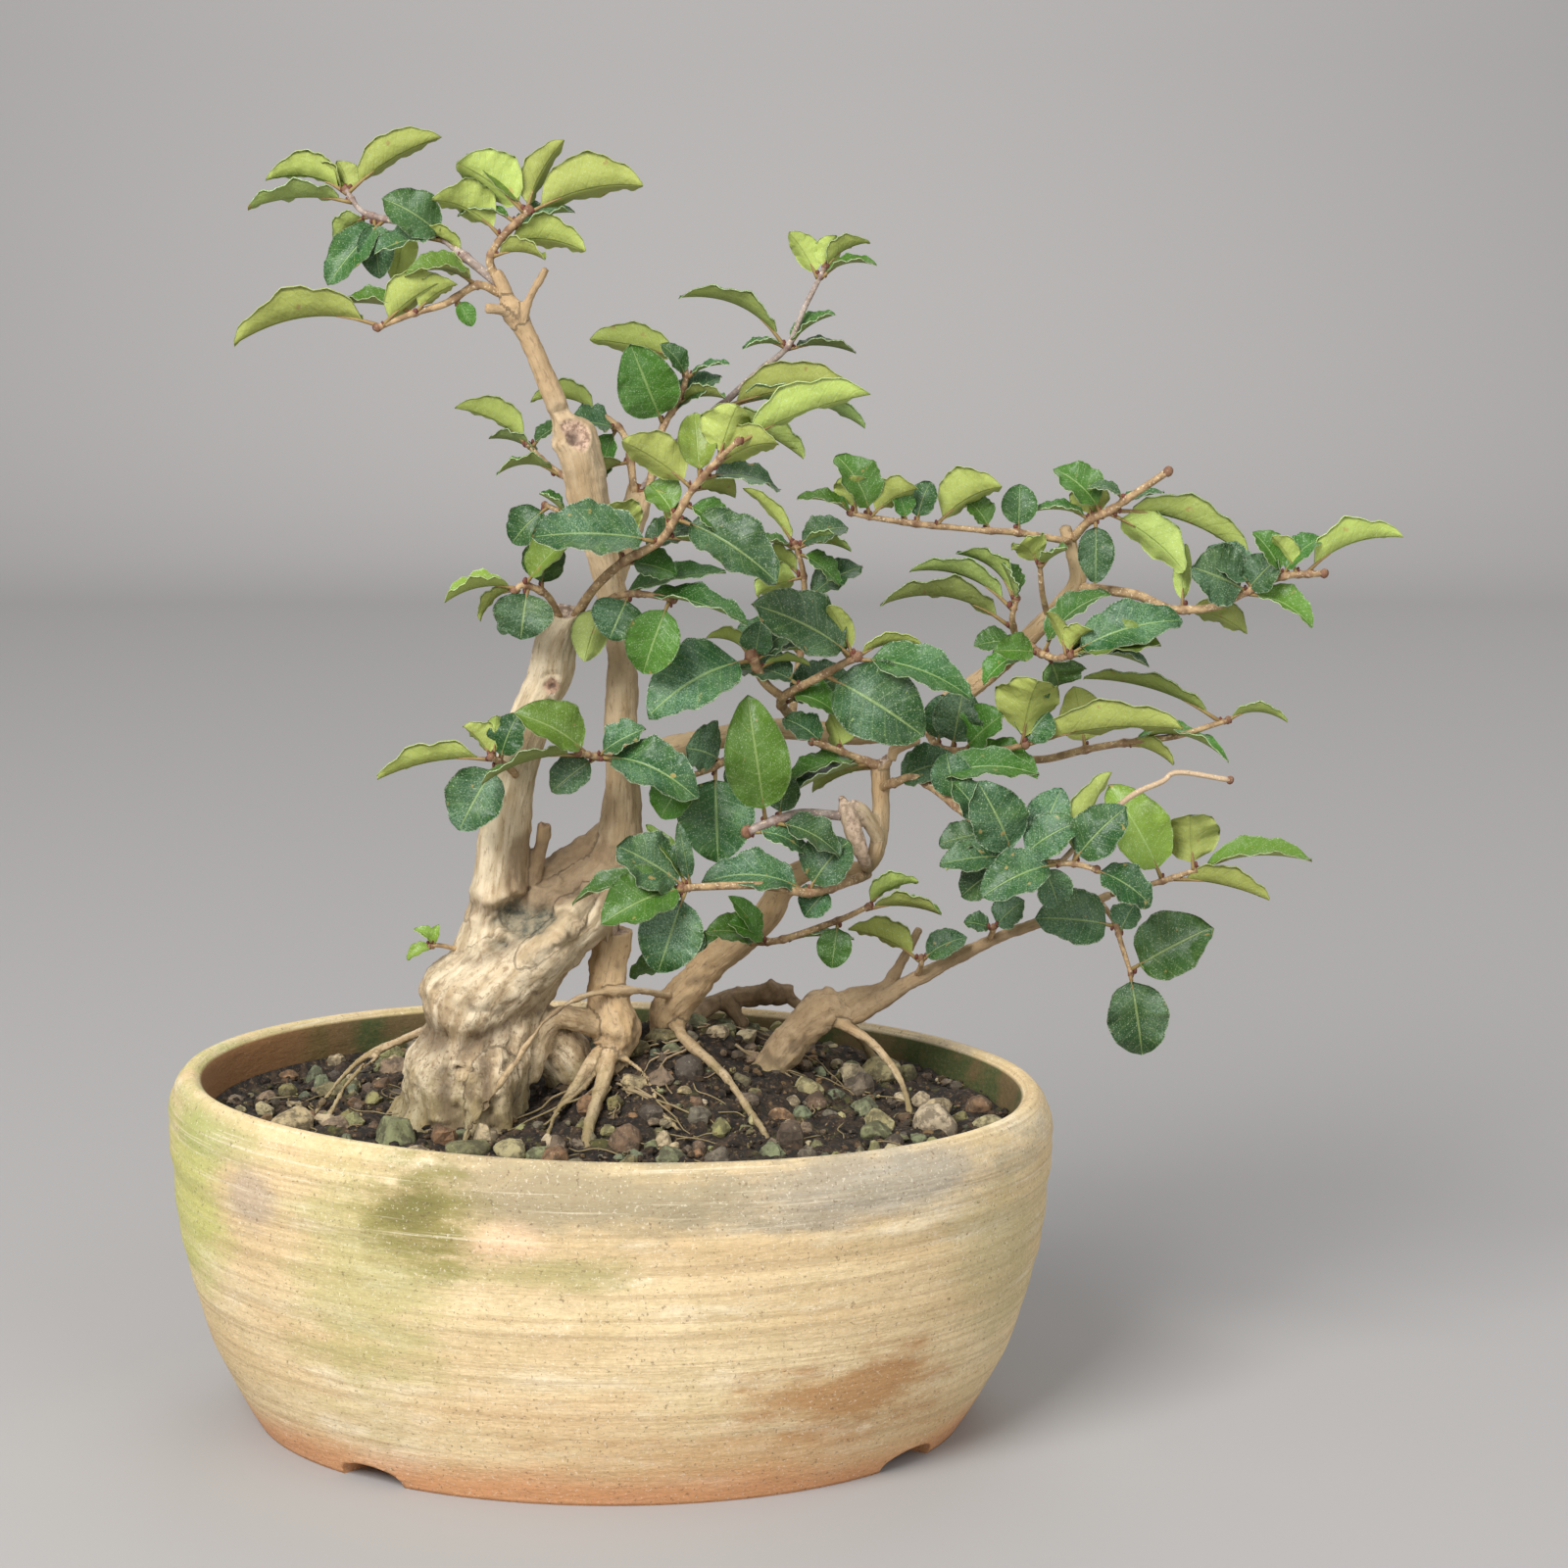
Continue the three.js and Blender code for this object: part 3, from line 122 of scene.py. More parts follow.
# Twigs.
TWIG_SLIM = 0.8  # share of the solid twig's radius between the joints
NODE_SWELL = 0.28  # how far a twig swells where a leaf grows
NODE_REACH = 0.65
BUD_SCALE_SHARE = 0.55
BUD_SIZE = 0.95
GREY_STEMS = ("spray_crown_left", "spray_e_grey", "spray_top_back")
DRY_TWIG = ("spray_right_low", 1)

# Bark.
SAMPLES_PER_SPAN = 6
GRAIN_RUN = 0.2  # share of the run along a limb that counts in its grain, so that streaks are drawn out
BARK_BLEND = 1.5
WRINKLE_STRETCH = (0.4, 0.4, 5)
WOOD_CELL = 0.68
ROOT_SLIM = 0.8

# The thick wood: middle line, and the radius at each of its points.
LIMBS = {
    "base": (
        [(-36, -6, 58), (-34, -4, 70), (-33, -2, 81), (-30, 0, 95), (-24, 2, 107), (-15, 3, 117),
         (-5, 4, 125), (2, 5, 133)],
        (15, 15.5, 14.5, 13.5, 12.5, 11, 8.5, 5.5),
    ),
    "trunk_a": (
        [(-28, 3, 108), (-25, 2, 128), (-22, 0, 151), (-17, -2, 169), (-12, -3, 180), (-10, -5, 189),
         (-7, -6, 196)],
        (9, 6.5, 5.4, 4.8, 5.2, 4.8, 3.6),
    ),
    "trunk_b": (
        [(-4, 5, 122), (3, 5, 138), (4, 5, 152), (4, 6, 172), (4, 7, 185), (1, 7, 202), (-3, 6, 218),
         (-5, 5, 230), (-7, 5, 235), (-9, 4, 239), (-14, 2, 252), (-18, 1, 261), (-21, 0, 266)],
        (7, 5.2, 4.1, 3.8, 3.6, 3.9, 4.8, 4.9, 5.2, 2.7, 2.2, 2.5, 2.4),
    ),
    "limb_c": ([(1, 8, 199), (5, 16, 209), (9, 22, 222)], (3.4, 3.3, 3.6)),
    "ridge": ([(-27, 3, 121), (-17, 6, 127), (-7, 8, 133), (3, 6, 142)], (7, 5.4, 4.4, 3.6)),
    "scar_lip": ([(-20, -6, 112), (-12, -5, 121), (-4, -2, 128)], (3.5, 4, 3)),
    "flare_left": ([(-36, 1, 93), (-44, 3, 80), (-53, 3, 66)], (6.4, 4.6, 3.2)),
    "foot_front": ([(-28, -6, 92), (-27, -15, 79), (-27, -20, 65)], (7, 6, 4.2)),
    "foot_right": ([(-22, 2, 98), (-14, 7, 90), (-8, 8, 78), (-6, 8, 66)], (7, 6.5, 6, 5)),
    "foot_back": ([(-30, 6, 92), (-30, 17, 79), (-32, 23, 65)], (8, 6.2, 3.2)),
    "stub_brown": ([(-19, 3, 124), (-15, 1, 138), (-14, 1, 144)], (2.2, 1.5, 1.6)),
    "stub_d": ([(2, 6, 72), (2, 6, 84), (2, 6, 93), (0, 7, 104), (2, 8, 117)], (2.5, 3.4, 5.9, 4.7, 4.5)),
    "trunk_e": (
        [(18, 25, 72), (15, 24, 86), (15, 22, 94), (25, 20, 105), (38, 18, 117), (42, 17, 125), (48, 14, 130),
         (55, 8, 131), (62, 4, 133), (65, 3, 141), (65, 4, 158)],
        (4, 5.2, 5, 3.9, 3.6, 3.2, 2.6, 2.3, 2.1, 2, 2.3),
    ),
    "stub_e": (
        [(62, 1, 132.5), (61, -2, 136), (59.4, -3, 140), (57.8, -3, 145), (56.6, -3, 149)],
        (1.3, 1.7, 2.1, 2.2, 2.1),
    ),
    "stub_e_behind": ([(58, -2.5, 148.5), (60.6, -1, 147), (63, 1, 143), (65, 3, 139)], (2, 2, 1.9, 1.7)),
    "stub_e_tip": ([(56.4, -3, 148), (55.6, -3, 151.5)], (1.4, 0.7)),
    "stub_e_chip": ([(58, -3.6, 148), (58.6, -3.8, 150.6)], (1, 0.5)),
    "stub_e_top": ([(65, 4, 156), (68, 2, 161), (74, 0, 164)], (1.8, 1.4, 1.2)),
    "trunk_f": (
        [(30, 6, 70), (41, 10, 85), (52, 13, 95), (58, 14, 94), (66, 13, 98), (75, 12, 104), (91, 10, 113),
         (105, 8, 119), (120, 6.5, 125.5)],
        (4, 4.2, 4.6, 3, 2.1, 1.9, 1.6, 1.4, 1.1),
    ),
    "stub_f": (
        [(54, 13, 96), (61, 16, 98), (67, 17, 100), (71, 17, 107), (75, 17, 115)], (3, 2.5, 2, 1.3, 1.1),
    ),
    "stub_back": ([(16, 25, 88), (26, 35, 92), (35, 37, 93), (45, 36, 94)], (3, 2.1, 3, 2.2)),
    "stub_back_knob": ([(37, 36, 93), (40, 34, 97)], (2.8, 1.9)),
    "stub_back_low": ([(28, 35, 92), (33, 33, 86)], (2.3, 1.4)),
    "stub_back_end": ([(43, 36, 94), (47, 34, 90)], (1.9, 1.1)),
    "right_limb": (
        [(5, 6, 158), (13, 12, 159), (28, 20, 161), (44, 25, 162), (61, 28, 160), (75, 27, 163),
         (82, 25, 169), (90, 22, 175), (100, 18, 185), (111, 14, 198), (110, 12, 207), (108, 11, 213)],
        (3.4, 2.8, 2.6, 2.5, 2.5, 2.5, 2.5, 2.4, 2.3, 2.2, 1.7, 1.5),
    ),
    "stub_limb": ([(86, 22, 170), (93, 16, 177), (101, 13, 185)], (1.3, 1.1, 1)),
    "crown_stub": ([(-20, 0, 262), (-22, 1, 269), (-24, 1, 273)], (2.2, 1.8, 1.5)),
    "crown_stub_right": ([(-18, 0, 262), (-16, -1, 267), (-12, -2, 274)], (1.7, 1, 0.9)),
    "crown_stub_left": ([(-20, 0, 264), (-26, -4, 265)], (1.5, 1.2)),
}
ROOTS = {
    "buried": ([(-30, 0, 66), (0, 8, 67), (34, 8, 69)], (5, 4.5, 4)),
    "left_thin": ([(-39, 3, 95), (-50, 8, 89), (-61, 8, 83), (-74, -3, 68)], (1.8, 1.3, 1, 0.8)),
    "left_fork": ([(-55, 8, 86), (-62, 2, 80), (-69, -9, 68)], (1.1, 0.9, 0.8)),
    "long": (
        [(17, 22, 96), (7, 6, 102), (-4, -2, 103), (-12.5, -10, 100.5), (-18, -15, 94), (-24, -20, 86),
         (-31, -24, 76), (-33, -26, 68)],
        (1.3, 1.2, 1.2, 1.3, 1.3, 1.2, 1, 0.9),
    ),
    "thick_middle": ([(1, 4, 88), (-1, -8, 81.5), (-3, -24, 76.8), (-4, -42, 71)], (2.6, 2.2, 1.9, 1.6)),
    "thin_left": (
        [(-1, 3, 87), (-5, -3, 81), (-11, -12, 77.3), (-12.5, -28, 75), (-13, -42, 71)],
        (1.5, 1.2, 1, 0.9, 0.8),
    ),
    "thin_right": (
        [(3, 3, 87), (8.5, 0, 83.6), (11.5, -9, 81.2), (12.7, -16, 79), (19, -28, 75.8), (21, -34, 71)],
        (1.2, 0.9, 0.8, 0.8, 0.8, 0.7),
    ),
    "side": ([(1, 6, 92), (-8, 2, 96), (-14, 0, 95), (-18, -2, 82)], (3.6, 3.6, 3.4, 2.6)),
    "side_low": ([(-2, 3, 88), (-7, -4, 82), (-12, -9, 75)], (2, 1.5, 1.1)),
    "right_long": (
        [(16, 22, 90), (18.5, 10, 89), (28, -4, 84), (34, -17, 79), (38, -27, 75.8), (41, -34, 70)],
        (2.6, 1.9, 1.5, 1.4, 1.2, 1),
    ),
    "back": ([(16, 26, 90), (15, 42, 84), (10, 62, 68)], (2.8, 2, 1.2)),
    "far_right": (
        [(52, 12, 94), (61, 8, 90.5), (67, 4, 85.5), (71, 0, 79), (73, -4, 70)],
        (2, 1.5, 1.3, 1.2, 1),
    ),
    "knob_back": ([(52, 14, 93), (60, 29, 86), (67, 41, 70)], (2.4, 1.8, 1.1)),
}
# Shares of tan young bark and of wrinkled brown bark on the limbs; the rest is pale and nearly smooth.
BARK = {
    "trunk_b": (0.35, 0.35),
    "limb_c": (0.55, 0.2),
    "ridge": (0.1, 0.95),
    "stub_brown": (0.9, 0.5),
    "stub_d": (0.75, 0.15),
    "trunk_e": (0.7, 0.25),
    "stub_e": (0.25, 0.5),
    "stub_e_top": (0.6, 0.3),
    "trunk_f": (0.5, 0.55),
    "stub_f": (0.55, 0.6),
    "stub_back": (0.3, 1),
    "stub_back_knob": (0.3, 1),
    "stub_back_low": (0.3, 1),
    "stub_back_end": (0.3, 1),
    "right_limb": (0.6, 0.2),
    "stub_limb": (0.8, 0.2),
    "crown_stub": (0.7, 0.5),
    "crown_stub_right": (0.5, 0.5),
    "crown_stub_left": (0.7, 0.5),
}
ROOT_BARK = (0.35, 0.15)
# Saw cuts and broken ends: middle, the way that the cut faces, radius, and tone from 0, pinkish white, to 1,
# orange-brown.
CUTS = [
    ((-6.5, 0.5, 235), (0.3, -0.85, 0.45), 4.4, 0.45),
    ((9, 21.5, 221.5), (-0.3, -0.5, 0.8), 3.4, 1),
    ((-8, -6, 195.5), (0, -0.5, 0.85), 3.4, 0.1),
    ((2, 7, 118), (0.1, -0.5, 0.85), 4.1, 0.3),
    ((-14, 0.5, 144.5), (0, -0.4, 0.9), 1.6, 0.6),
    ((65, 3, 159), (0, -0.5, 0.85), 2.2, 0.2),
    ((-11.5, -7.4, 178), (-0.1, -0.98, 0.1), 2, 0.6),
]
BROWN_PATCH = (-11, 0, 134)
BROWN_REACH = (17, 14, 12)
TEAR = ((-16, -11, 124), (-7, -8, 116))  # ridge of torn wood beside the old scar, from end to end
DEAD_WOOD = ((57, -3, 150), (60.5, -2.5, 137))
SCAR = (-19, -9, 122.5)
SCAR_REACH = (10.5, 9, 6)
SCAR_TURN = -20
# Folds of the old foot: height (a crease where below 0), half-width, and middle line.
FOLDS = [
    (-1.9, 1.8, [(-35, -2, 125), (-26, -9, 123.5), (-17, -10, 126), (-7, -6, 129.5)]),
    (1.1, 2.2, [(-34, 0, 129), (-25, -8, 127.5), (-17, -8, 130)]),
    (2.8, 5, [(-38, -8, 103), (-27, -13, 106), (-15, -12, 112), (-3, -7, 120)]),
    (-2.4, 2.6, [(-33, -15, 93), (-22, -14, 97.5), (-12, -10, 103), (-4, -6, 111)]),
    (-1.2, 2, [(-36, -8, 113), (-28, -11, 113.5), (-21, -11, 117)]),
    (2.6, 6, [(-42, -2, 108), (-40, 4, 108)]),
    (-1.8, 4, [(-48, -2, 96), (-40, -11, 94)]),
    (1.6, 4, [(-44, -8, 86), (-38, -14, 82)]),
    (-1.6, 1.8, [(-38, -14, 88), (-36, -18, 76)]),
    (-1.6, 1.8, [(-28, -16, 90), (-26, -20, 76)]),
]
FOLD_DEPTH = 0.4  # how much depth counts in the distance from a fold's line
# Heights of the bark's relief: fine streaks along the grain, grit and gnarls on the old foot, grain, lumps,
# warts on tan bark, wrinkles, pits, the old scar with its lip, and the torn strip.
STREAK_HEIGHT = (0.08, 0.4)
GRIT_HEIGHT = 0.14
GNARL_HEIGHT = 0.8
GRAIN_HEIGHT = 0.5
LUMP_HEIGHT = 0.45
WART_HEIGHT = 0.22
TAN_WRINKLE = 0.1
BROWN_WRINKLE = 0.5
PIT_DEPTH = 1.5
SCAR_DEPTH = 3
LIP_RISE = 0.9
TEAR_RISE = 1.2
TEAR_REACH = 1.6
DEAD_REACH = 4.2
# Stains on the pot's clay: middle in x and z, reach in x and z, raggedness, strength and colour.
CLAY_STAINS = [
    (58, 74, 52, 11, 1.8, 0.65, (150, 148, 142)),
    (0, 75, 66, 13, 1.8, 0.9, (160, 146, 116)),
    (-52, 54, 26, 40, 2, 0.6, (176, 172, 108)),
    (-97, 60, 15, 32, 1.5, 0.7, (184, 190, 100)),
    (-90, 78, 22, 9, 1.6, 0.6, (160, 166, 100)),
    (-79, 67, 9, 11, 1.4, 0.5, (166, 150, 140)),
    (-20, 63.5, 13, 8, 1.4, 0.75, (240, 202, 164)),
    (-12, 58, 28, 6, 2, 0.6, (152, 148, 90)),
    (-39, 69, 20, 16, 2, 0.85, (136, 128, 66)),
    (-41, 71, 10, 9, 2, 0.5, (96, 94, 46)),
    (58, 24, 30, 15, 2.4, 0.85, (178, 130, 80)),
    (30, 12, 60, 9, 2, 0.5, (206, 160, 110)),
    (-10, 22, 50, 10, 2, 0.35, (208, 168, 120)),
    (92, 50, 16, 30, 1.8, 0.45, (176, 168, 120)),
]
# Stones: place in plan, width, height, depth, turn, and a tint from 0 to 1.
STONES = {
    "stone_tan": (-74, -13, 10, 8, 9, 20, 0.05),
    "stone_green": (-48, -24, 10, 10, 9, 70, 0.3),
    "stone_olive": (-30.5, -35, 10, 6, 8, 40, 0.45),
    "stone_slab": (-20.5, -36, 9, 6, 7, 120, 0.18),
    "stone_grey": (27, -43, 7, 5, 6, 60, 0.62),
    "stone_teal": (64, -21, 7, 5.5, 6, 30, 0.3),
    "stone_pink": (78, -15, 11, 9, 7, 140, 0.12),
    "stone_brick": (89, 2, 6.5, 5.5, 6, 50, 0.95),
    "stone_pale": (66, 25, 9, 8, 8, 5, 0.18),
}
# Leafy stems: for each twig its middle line, its radius at both ends, and its leaves. A leaf is the place
# along the twig, bearing in the front view, lean away, length, width, turn of the upper face, and age.
SPRAYS = {
    "spray_crown_low": [
        ([(-23, 1, 268), (-28, -1, 270), (-35, -3, 266), (-42, -5, 264), (-50, -8, 261)], (1.3, 0.8), [
            (4, 187, 0, 34, 14, -30, 0.1), (4, 35, 5, 18, 12, -50, 0.1), (3, 34, -10, 12, 9, -40, 0.1),
            (3, 175, 18, 19, 9, 15, 0.4), (1, 172, -18, 17, 10, 20, 0.3), (1, 163, 12, 15, 9, -40, 0.1),
            (1.7, 300, 0, 7, 5, 60, 0.4)]),
    ],
    "spray_crown_left": [
        ([(-22, 2, 269), (-31, 5, 276), (-36, 7, 280), (-42, 9, 283), (-48, 10, 284), (-55, 11, 286),
         (-59, 12, 291)], (1.4, 0.7), [
            (6, 30, 0, 25, 11, -45, 0.05), (6, 171, 0, 19, 11, -45, 0.1), (6, 161, 25, 15, 9, -30, 0.1),
            (5.6, 183, -10, 24, 11, -25, 0.5), (6, 110, 20, 8, 8, -50, 0.3), (2, 146, -8, 17, 12, 60, 0.7),
            (4.6, 275, -10, 14, 9, 60, 0.8), (4.3, 229, -15, 20, 10, 50, 0.7),
            (4.8, 222, 15, 11, 8, -30, 0.4), (2, 190, -25, 17, 9, 25, 0.8),
            (3.5, 256, 10, 14, 9, -80, 0.1), (1, 152, -5, 13, 5, -30, 0.1)]),
        ([(-42, 9, 283), (-48, 6, 287)], (1, 0.9), []),
    ],
    "spray_crown_top": [
        ([(-24, 1, 272), (-25, 0, 276), (-22, -1, 281), (-16, -3, 287)], (1.3, 1), [
            (3, 143, -8, 19, 15, -60, 0.05), (3, 62, 15, 19, 9, -40, 0.05),
            (3, 14, -10, 28, 15, -55, 0.05), (2, 151, -15, 18, 13, -50, 0.15),
            (1.8, 355, -10, 20, 12, -50, 0.1), (1.2, 358, -28, 14, 8, -30, 0.15),
            (2.3, 15, 20, 16, 9, 10, 0.6), (3, 137, 22, 20, 8, 30, 0.3), (2.6, 176, 15, 14, 5, 10, 0.6)]),
    ],
    "spray_top_back": [
        ([(8, 22, 219), (17, 34, 230), (27, 40, 238), (36, 43, 246), (43, 42, 252), (47, 42, 261),
         (50, 42, 267), (52, 42, 271)], (1.3, 0.7), [
            (4, 155, 0, 28, 11, -10, 0.4), (4, 35, 0, 14, 8, 10, 0.6), (6.4, 122, 0, 13, 8, -60, 0.1),
            (7, 70, 0, 9, 8, -60, 0.1), (7, 32, 5, 13, 8, -30, 0.3), (6.5, 14, -12, 14, 6, 10, 0.5),
            (4, 181, -20, 11, 5, 0, 0.7), (4, 355, 15, 17, 6, 0, 0.7), (2, 11, -12, 32, 13, -50, 0.1),
            (1.9, 353, 5, 36, 13, -20, 0.7), (1.8, 333, 12, 25, 11, -20, 0.4)]),
    ],
    "spray_upper_mid": [
        ([(10, 20, 219), (13, 27, 233), (17, 30, 240), (19, 31, 246), (18, 31, 252)], (1.2, 0.7), [
            (3.8, 169, 12, 23, 11, -60, 0.05), (1.2, 111, -10, 21, 16, 80, 0.5),
            (3, 126, -10, 10, 6, 40, 0.7), (3, 19, -15, 11, 5, 10, 0.7), (2.5, 201, -15, 14, 8, -20, 0.2),
            (2, 8, -20, 12, 8, -20, 0.4)]),
    ],
    "spray_upper_left": [
        ([(7, 20, 219), (5, 26, 231), (1, 28, 236), (-4, 29, 238)], (1.2, 0.7), [
            (2.5, 169, 5, 17, 9, -40, 0.3), (1.6, 255, 10, 13, 9, 30, 0.5),
            (1.5, 170, -10, 12, 10, 30, 0.9), (0.6, 215, -15, 13, 10, -20, 0.5)]),
    ],
    "spray_left_back": [
        ([(-4, 9, 222), (-8, 16, 223), (-14, 19, 227), (-18, 20, 231)], (1.1, 0.7), [
            (3, 152, 0, 20, 10, -45, 0.15), (3, 32, 10, 10, 6, 20, 0.7), (1.4, 178, -12, 15, 9, -10, 0.5),
            (2.2, 160, 18, 14, 8, -20, 0.7)]),
    ],
    "spray_left_low_back": [
        ([(-3, 10, 212), (-9, 16, 215), (-14, 18, 217)], (1.1, 0.7), [
            (1, 140, -10, 8, 6, 10, 0.6), (2, 225, 0, 12, 10, 60, 0.9)]),
    ],
    "spray_front_twig": [
        ([(-6, -6, 194), (-1, -14, 202), (6, -20, 209), (14, -25, 214), (18, -28, 220), (22, -31, 227),
         (28, -34, 234), (32, -36, 238)], (1.5, 0.8), [
            (7, 20, 5, 32, 13, -45, 0.1), (6, 71, -10, 13, 14, -50, 0.05),
            (5.6, 24, -22, 18, 11, -60, 0.05), (5, 145, -10, 19, 13, -60, 0.05),
            (5.3, 95, 20, 15, 10, 60, 0.2), (3, 176, -15, 29, 16, 40, 0.9),
            (2, 115, -20, 14, 17, -60, 0.1), (2, 345, 5, 12, 10, 40, 0.6), (4, 329, -15, 27, 15, 45, 0.8),
            (3.3, 340, 12, 17, 10, 10, 0.6), (4, 131, 30, 10, 10, 40, 0.3),
            (5.4, 345, 30, 20, 10, 30, 0.9), (5, 340, 48, 14, 10, -40, 0.1), (4.5, 318, 12, 11, 9, 40, 0.5)]),
    ],
    "spray_a_left": [
        ([(-9, -5, 192), (-12, -13, 200), (-17, -17, 203), (-19, -18, 202)], (1.2, 0.8), [
            (2, 45, -10, 20, 10, 45, 0.25), (1.3, 75, 10, 12, 11, 45, 0.6), (3, 190, -5, 17, 10, 0, 0.2),
            (3, 220, 10, 12, 6, -20, 0.3), (3, 250, 15, 12, 6, 40, 0.9), (1.8, 262, -15, 12, 14, 75, 1)]),
    ],
    "spray_a_right": [
        ([(-7, -5, 189), (2, -14, 199), (9, -17, 201), (17, -19, 200)], (1.2, 0.8), [
            (1.7, 245, -15, 11, 13, 70, 1), (0.9, 250, -5, 14, 10, -60, 0.5),
            (2, 346, -8, 26, 10, 15, 0.7), (3, 250, 0, 18, 14, 70, 0.4)]),
    ],
    "spray_a_low": [
        ([(-20, -4, 156), (-22, -12, 160), (-25, -17, 163)], (1.2, 0.8), [
            (2, 190, 0, 27, 10, -35, 0.15), (2, 132, 0, 10, 9, -40, 0.2), (2, 85, -5, 10, 6, -40, 0.3),
            (1.5, 68, 0, 12, 9, 50, 0.9), (1.6, 240, -10, 18, 14, 60, 1)]),
    ],
    "spray_left_low": [
        ([(4, 3, 159), (2, -8, 161), (-3, -14, 163), (-5, -17, 164)], (1.2, 0.8), [
            (2, 148, -12, 20, 13, 50, 0.3), (2.6, 192, -25, 25, 10, -20, 0.6),
            (1.5, 340, -20, 26, 14, 40, 0.9), (1.6, 30, -5, 13, 10, 30, 0.9), (1.6, 217, -5, 13, 9, 60, 1)]),
    ],
    "spray_centre_low": [
        ([(33, 22, 161), (31, 8, 160), (27, 0, 158), (22, -6, 157), (20, -8, 157)], (1.3, 0.8), [
            (1.8, 160, 0, 9, 14, 50, 0.9), (1.4, 300, -15, 9, 10, 50, 0.9),
            (2.2, 272, -15, 22, 19, 75, 0.75), (4, 235, -5, 12, 12, 50, 0.4)]),
    ],
    "spray_centre": [
        ([(47, 26, 162), (43, 8, 169), (42, 0, 174), (50, -8, 180), (59, -14, 186)], (1.5, 1.1), [
            (4, 151, -10, 27, 16, 50, 0.8), (4, 114, -22, 15, 6, -50, 0.05), (4, 342, -5, 28, 13, 35, 0.7),
            (4, 10, 12, 16, 6, -30, 0.05), (3.2, 330, -15, 27, 19, 70, 1), (3.9, 150, 30, 13, 10, 20, 0.8),
            (2.2, 340, -10, 12, 9, 40, 0.4)]),
        ([(42, 0, 174), (38, -4, 178), (36, -6, 182), (35, -7, 185)], (1.3, 1.5), [
            (3, 206, -20, 28, 18, 45, 1), (3, 10, 5, 11, 6, 10, 0.7), (2, 0, 12, 12, 5, -20, 0.4),
            (3, 160, 30, 13, 6, -40, 0.1)]),
    ],
    "spray_mid_back": [
        ([(44, 25, 162), (45, 32, 171), (47, 34, 185), (47, 32, 198), (45, 30, 206)], (1.3, 0.7), [
            (4, 131, 0, 19, 5, -40, 0.2), (4, 172, -10, 11, 6, 10, 0.7), (4, 20, 5, 13, 10, 30, 0.9),
            (4, 357, -8, 13, 9, -20, 0.5), (3.8, 320, 0, 13, 9, 20, 0.5), (3, 165, 0, 13, 11, -30, 0.3),
            (3, 200, -12, 12, 13, -50, 0.3)]),
    ],
    "spray_e_grey": [
        ([(57, -2, 146), (47, -8, 148), (40, -12, 147), (34, -14, 145)], (1.5, 1.3), [
            (2.3, 98, 0, 30, 17, 75, 0.35), (2, 333, -5, 17, 10, 30, 0.8), (1.8, 75, 18, 10, 9, 30, 0.7)]),
    ],
    "spray_e_left": [
        ([(62, 4, 131), (58, -4, 131), (48, -12, 130), (37, -18, 133), (23, -24, 134), (19, -26, 134)],
         (1.6, 1), [
            (2, 174, -5, 25, 12, 35, 1), (2, 50, 10, 15, 13, 50, 1), (5, 146, -10, 19, 15, 45, 1),
            (5, 198, -25, 22, 15, 50, 0.5), (5, 190, 10, 27, 9, 20, 0.6), (5, 251, -10, 20, 15, 80, 1),
            (4.5, 100, 0, 15, 4, 50, 0.9), (4.8, 125, 12, 17, 5, 20, 0.3), (1.5, 225, -10, 9, 9, 50, 0.8)]),
    ],
    "spray_e_lower": [
        ([(34, 18, 111), (36, 10, 113), (42, 4, 115), (55, -2, 121), (62, -5, 125)], (1.3, 0.8), [
            (4, 27, 0, 14, 9, -40, 0.3), (4, 358, -10, 18, 8, -20, 0.3), (2, 3, -10, 17, 6, 0, 0.6),
            (1.5, 150, -20, 11, 8, 40, 0.4), (1.2, 165, -20, 14, 10, 40, 0.4),
            (1.3, 125, -10, 14, 6, 40, 0.4), (3, 262, -8, 11, 9, 60, 0.6)]),
    ],
    "spray_e_back": [
        ([(21, 21, 101), (20, 28, 102), (18, 32, 103)], (1, 0.7), [
            (2, 75, 5, 10, 8, 40, 0.9), (2, 20, -5, 11, 9, 40, 0.5), (2, 195, 0, 14, 9, 30, 0.5)]),
    ],
    "spray_e_top": [
        ([(65, 3, 157), (56, 0, 161), (49, -3, 164)], (1.3, 0.8), [
            (0.4, 193, -18, 20, 10, 10, 0.5), (0.3, 196, -30, 23, 9, -10, 0.7),
            (1, 110, 25, 10, 10, -50, 0.3)]),
    ],
    "spray_right_low": [
        ([(65, 3, 152), (68, -2, 154), (73, -6, 156), (80, -10, 152), (89, -15, 145), (95, -18, 140),
         (102, -20, 139), (109, -22, 139), (114, -23, 138)], (1.4, 0.8), [
            (1, 20, -10, 16, 12, 40, 0.8), (5, 115, -10, 20, 14, 60, 1), (5.6, 65, 15, 18, 11, 50, 0.9),
            (5.3, 35, -10, 16, 11, 50, 1), (7, 48, -5, 18, 12, 55, 1), (5, 184, -10, 17, 9, 45, 1),
            (4, 192, -10, 11, 8, 50, 0.8), (5.2, 216, 10, 16, 11, 50, 0.9), (6.5, 201, -15, 20, 12, 50, 1),
            (4.5, 210, 25, 15, 11, -50, 0.2), (8, 328, -5, 16, 10, 45, 1), (4, 125, 10, 14, 10, 30, 0.8),
            (7, 65, 20, 23, 9, -40, 0.3)]),
        ([(106, -21, 139), (113, -12, 144), (123, -4, 151), (131, 0, 154), (135, 1, 156), (147, 2, 154)],
         (0.9, 0.8), []),
    ],
    "spray_f_tip": [
        ([(120, 6.5, 125.5), (132, 5, 129), (140, 4, 132)], (1, 0.7), [
            (1, 120, 5, 26, 16, 60, 0.2), (2, 95, -10, 14, 16, -55, 0.3), (2, 5, 0, 28, 10, 15, 0.3),
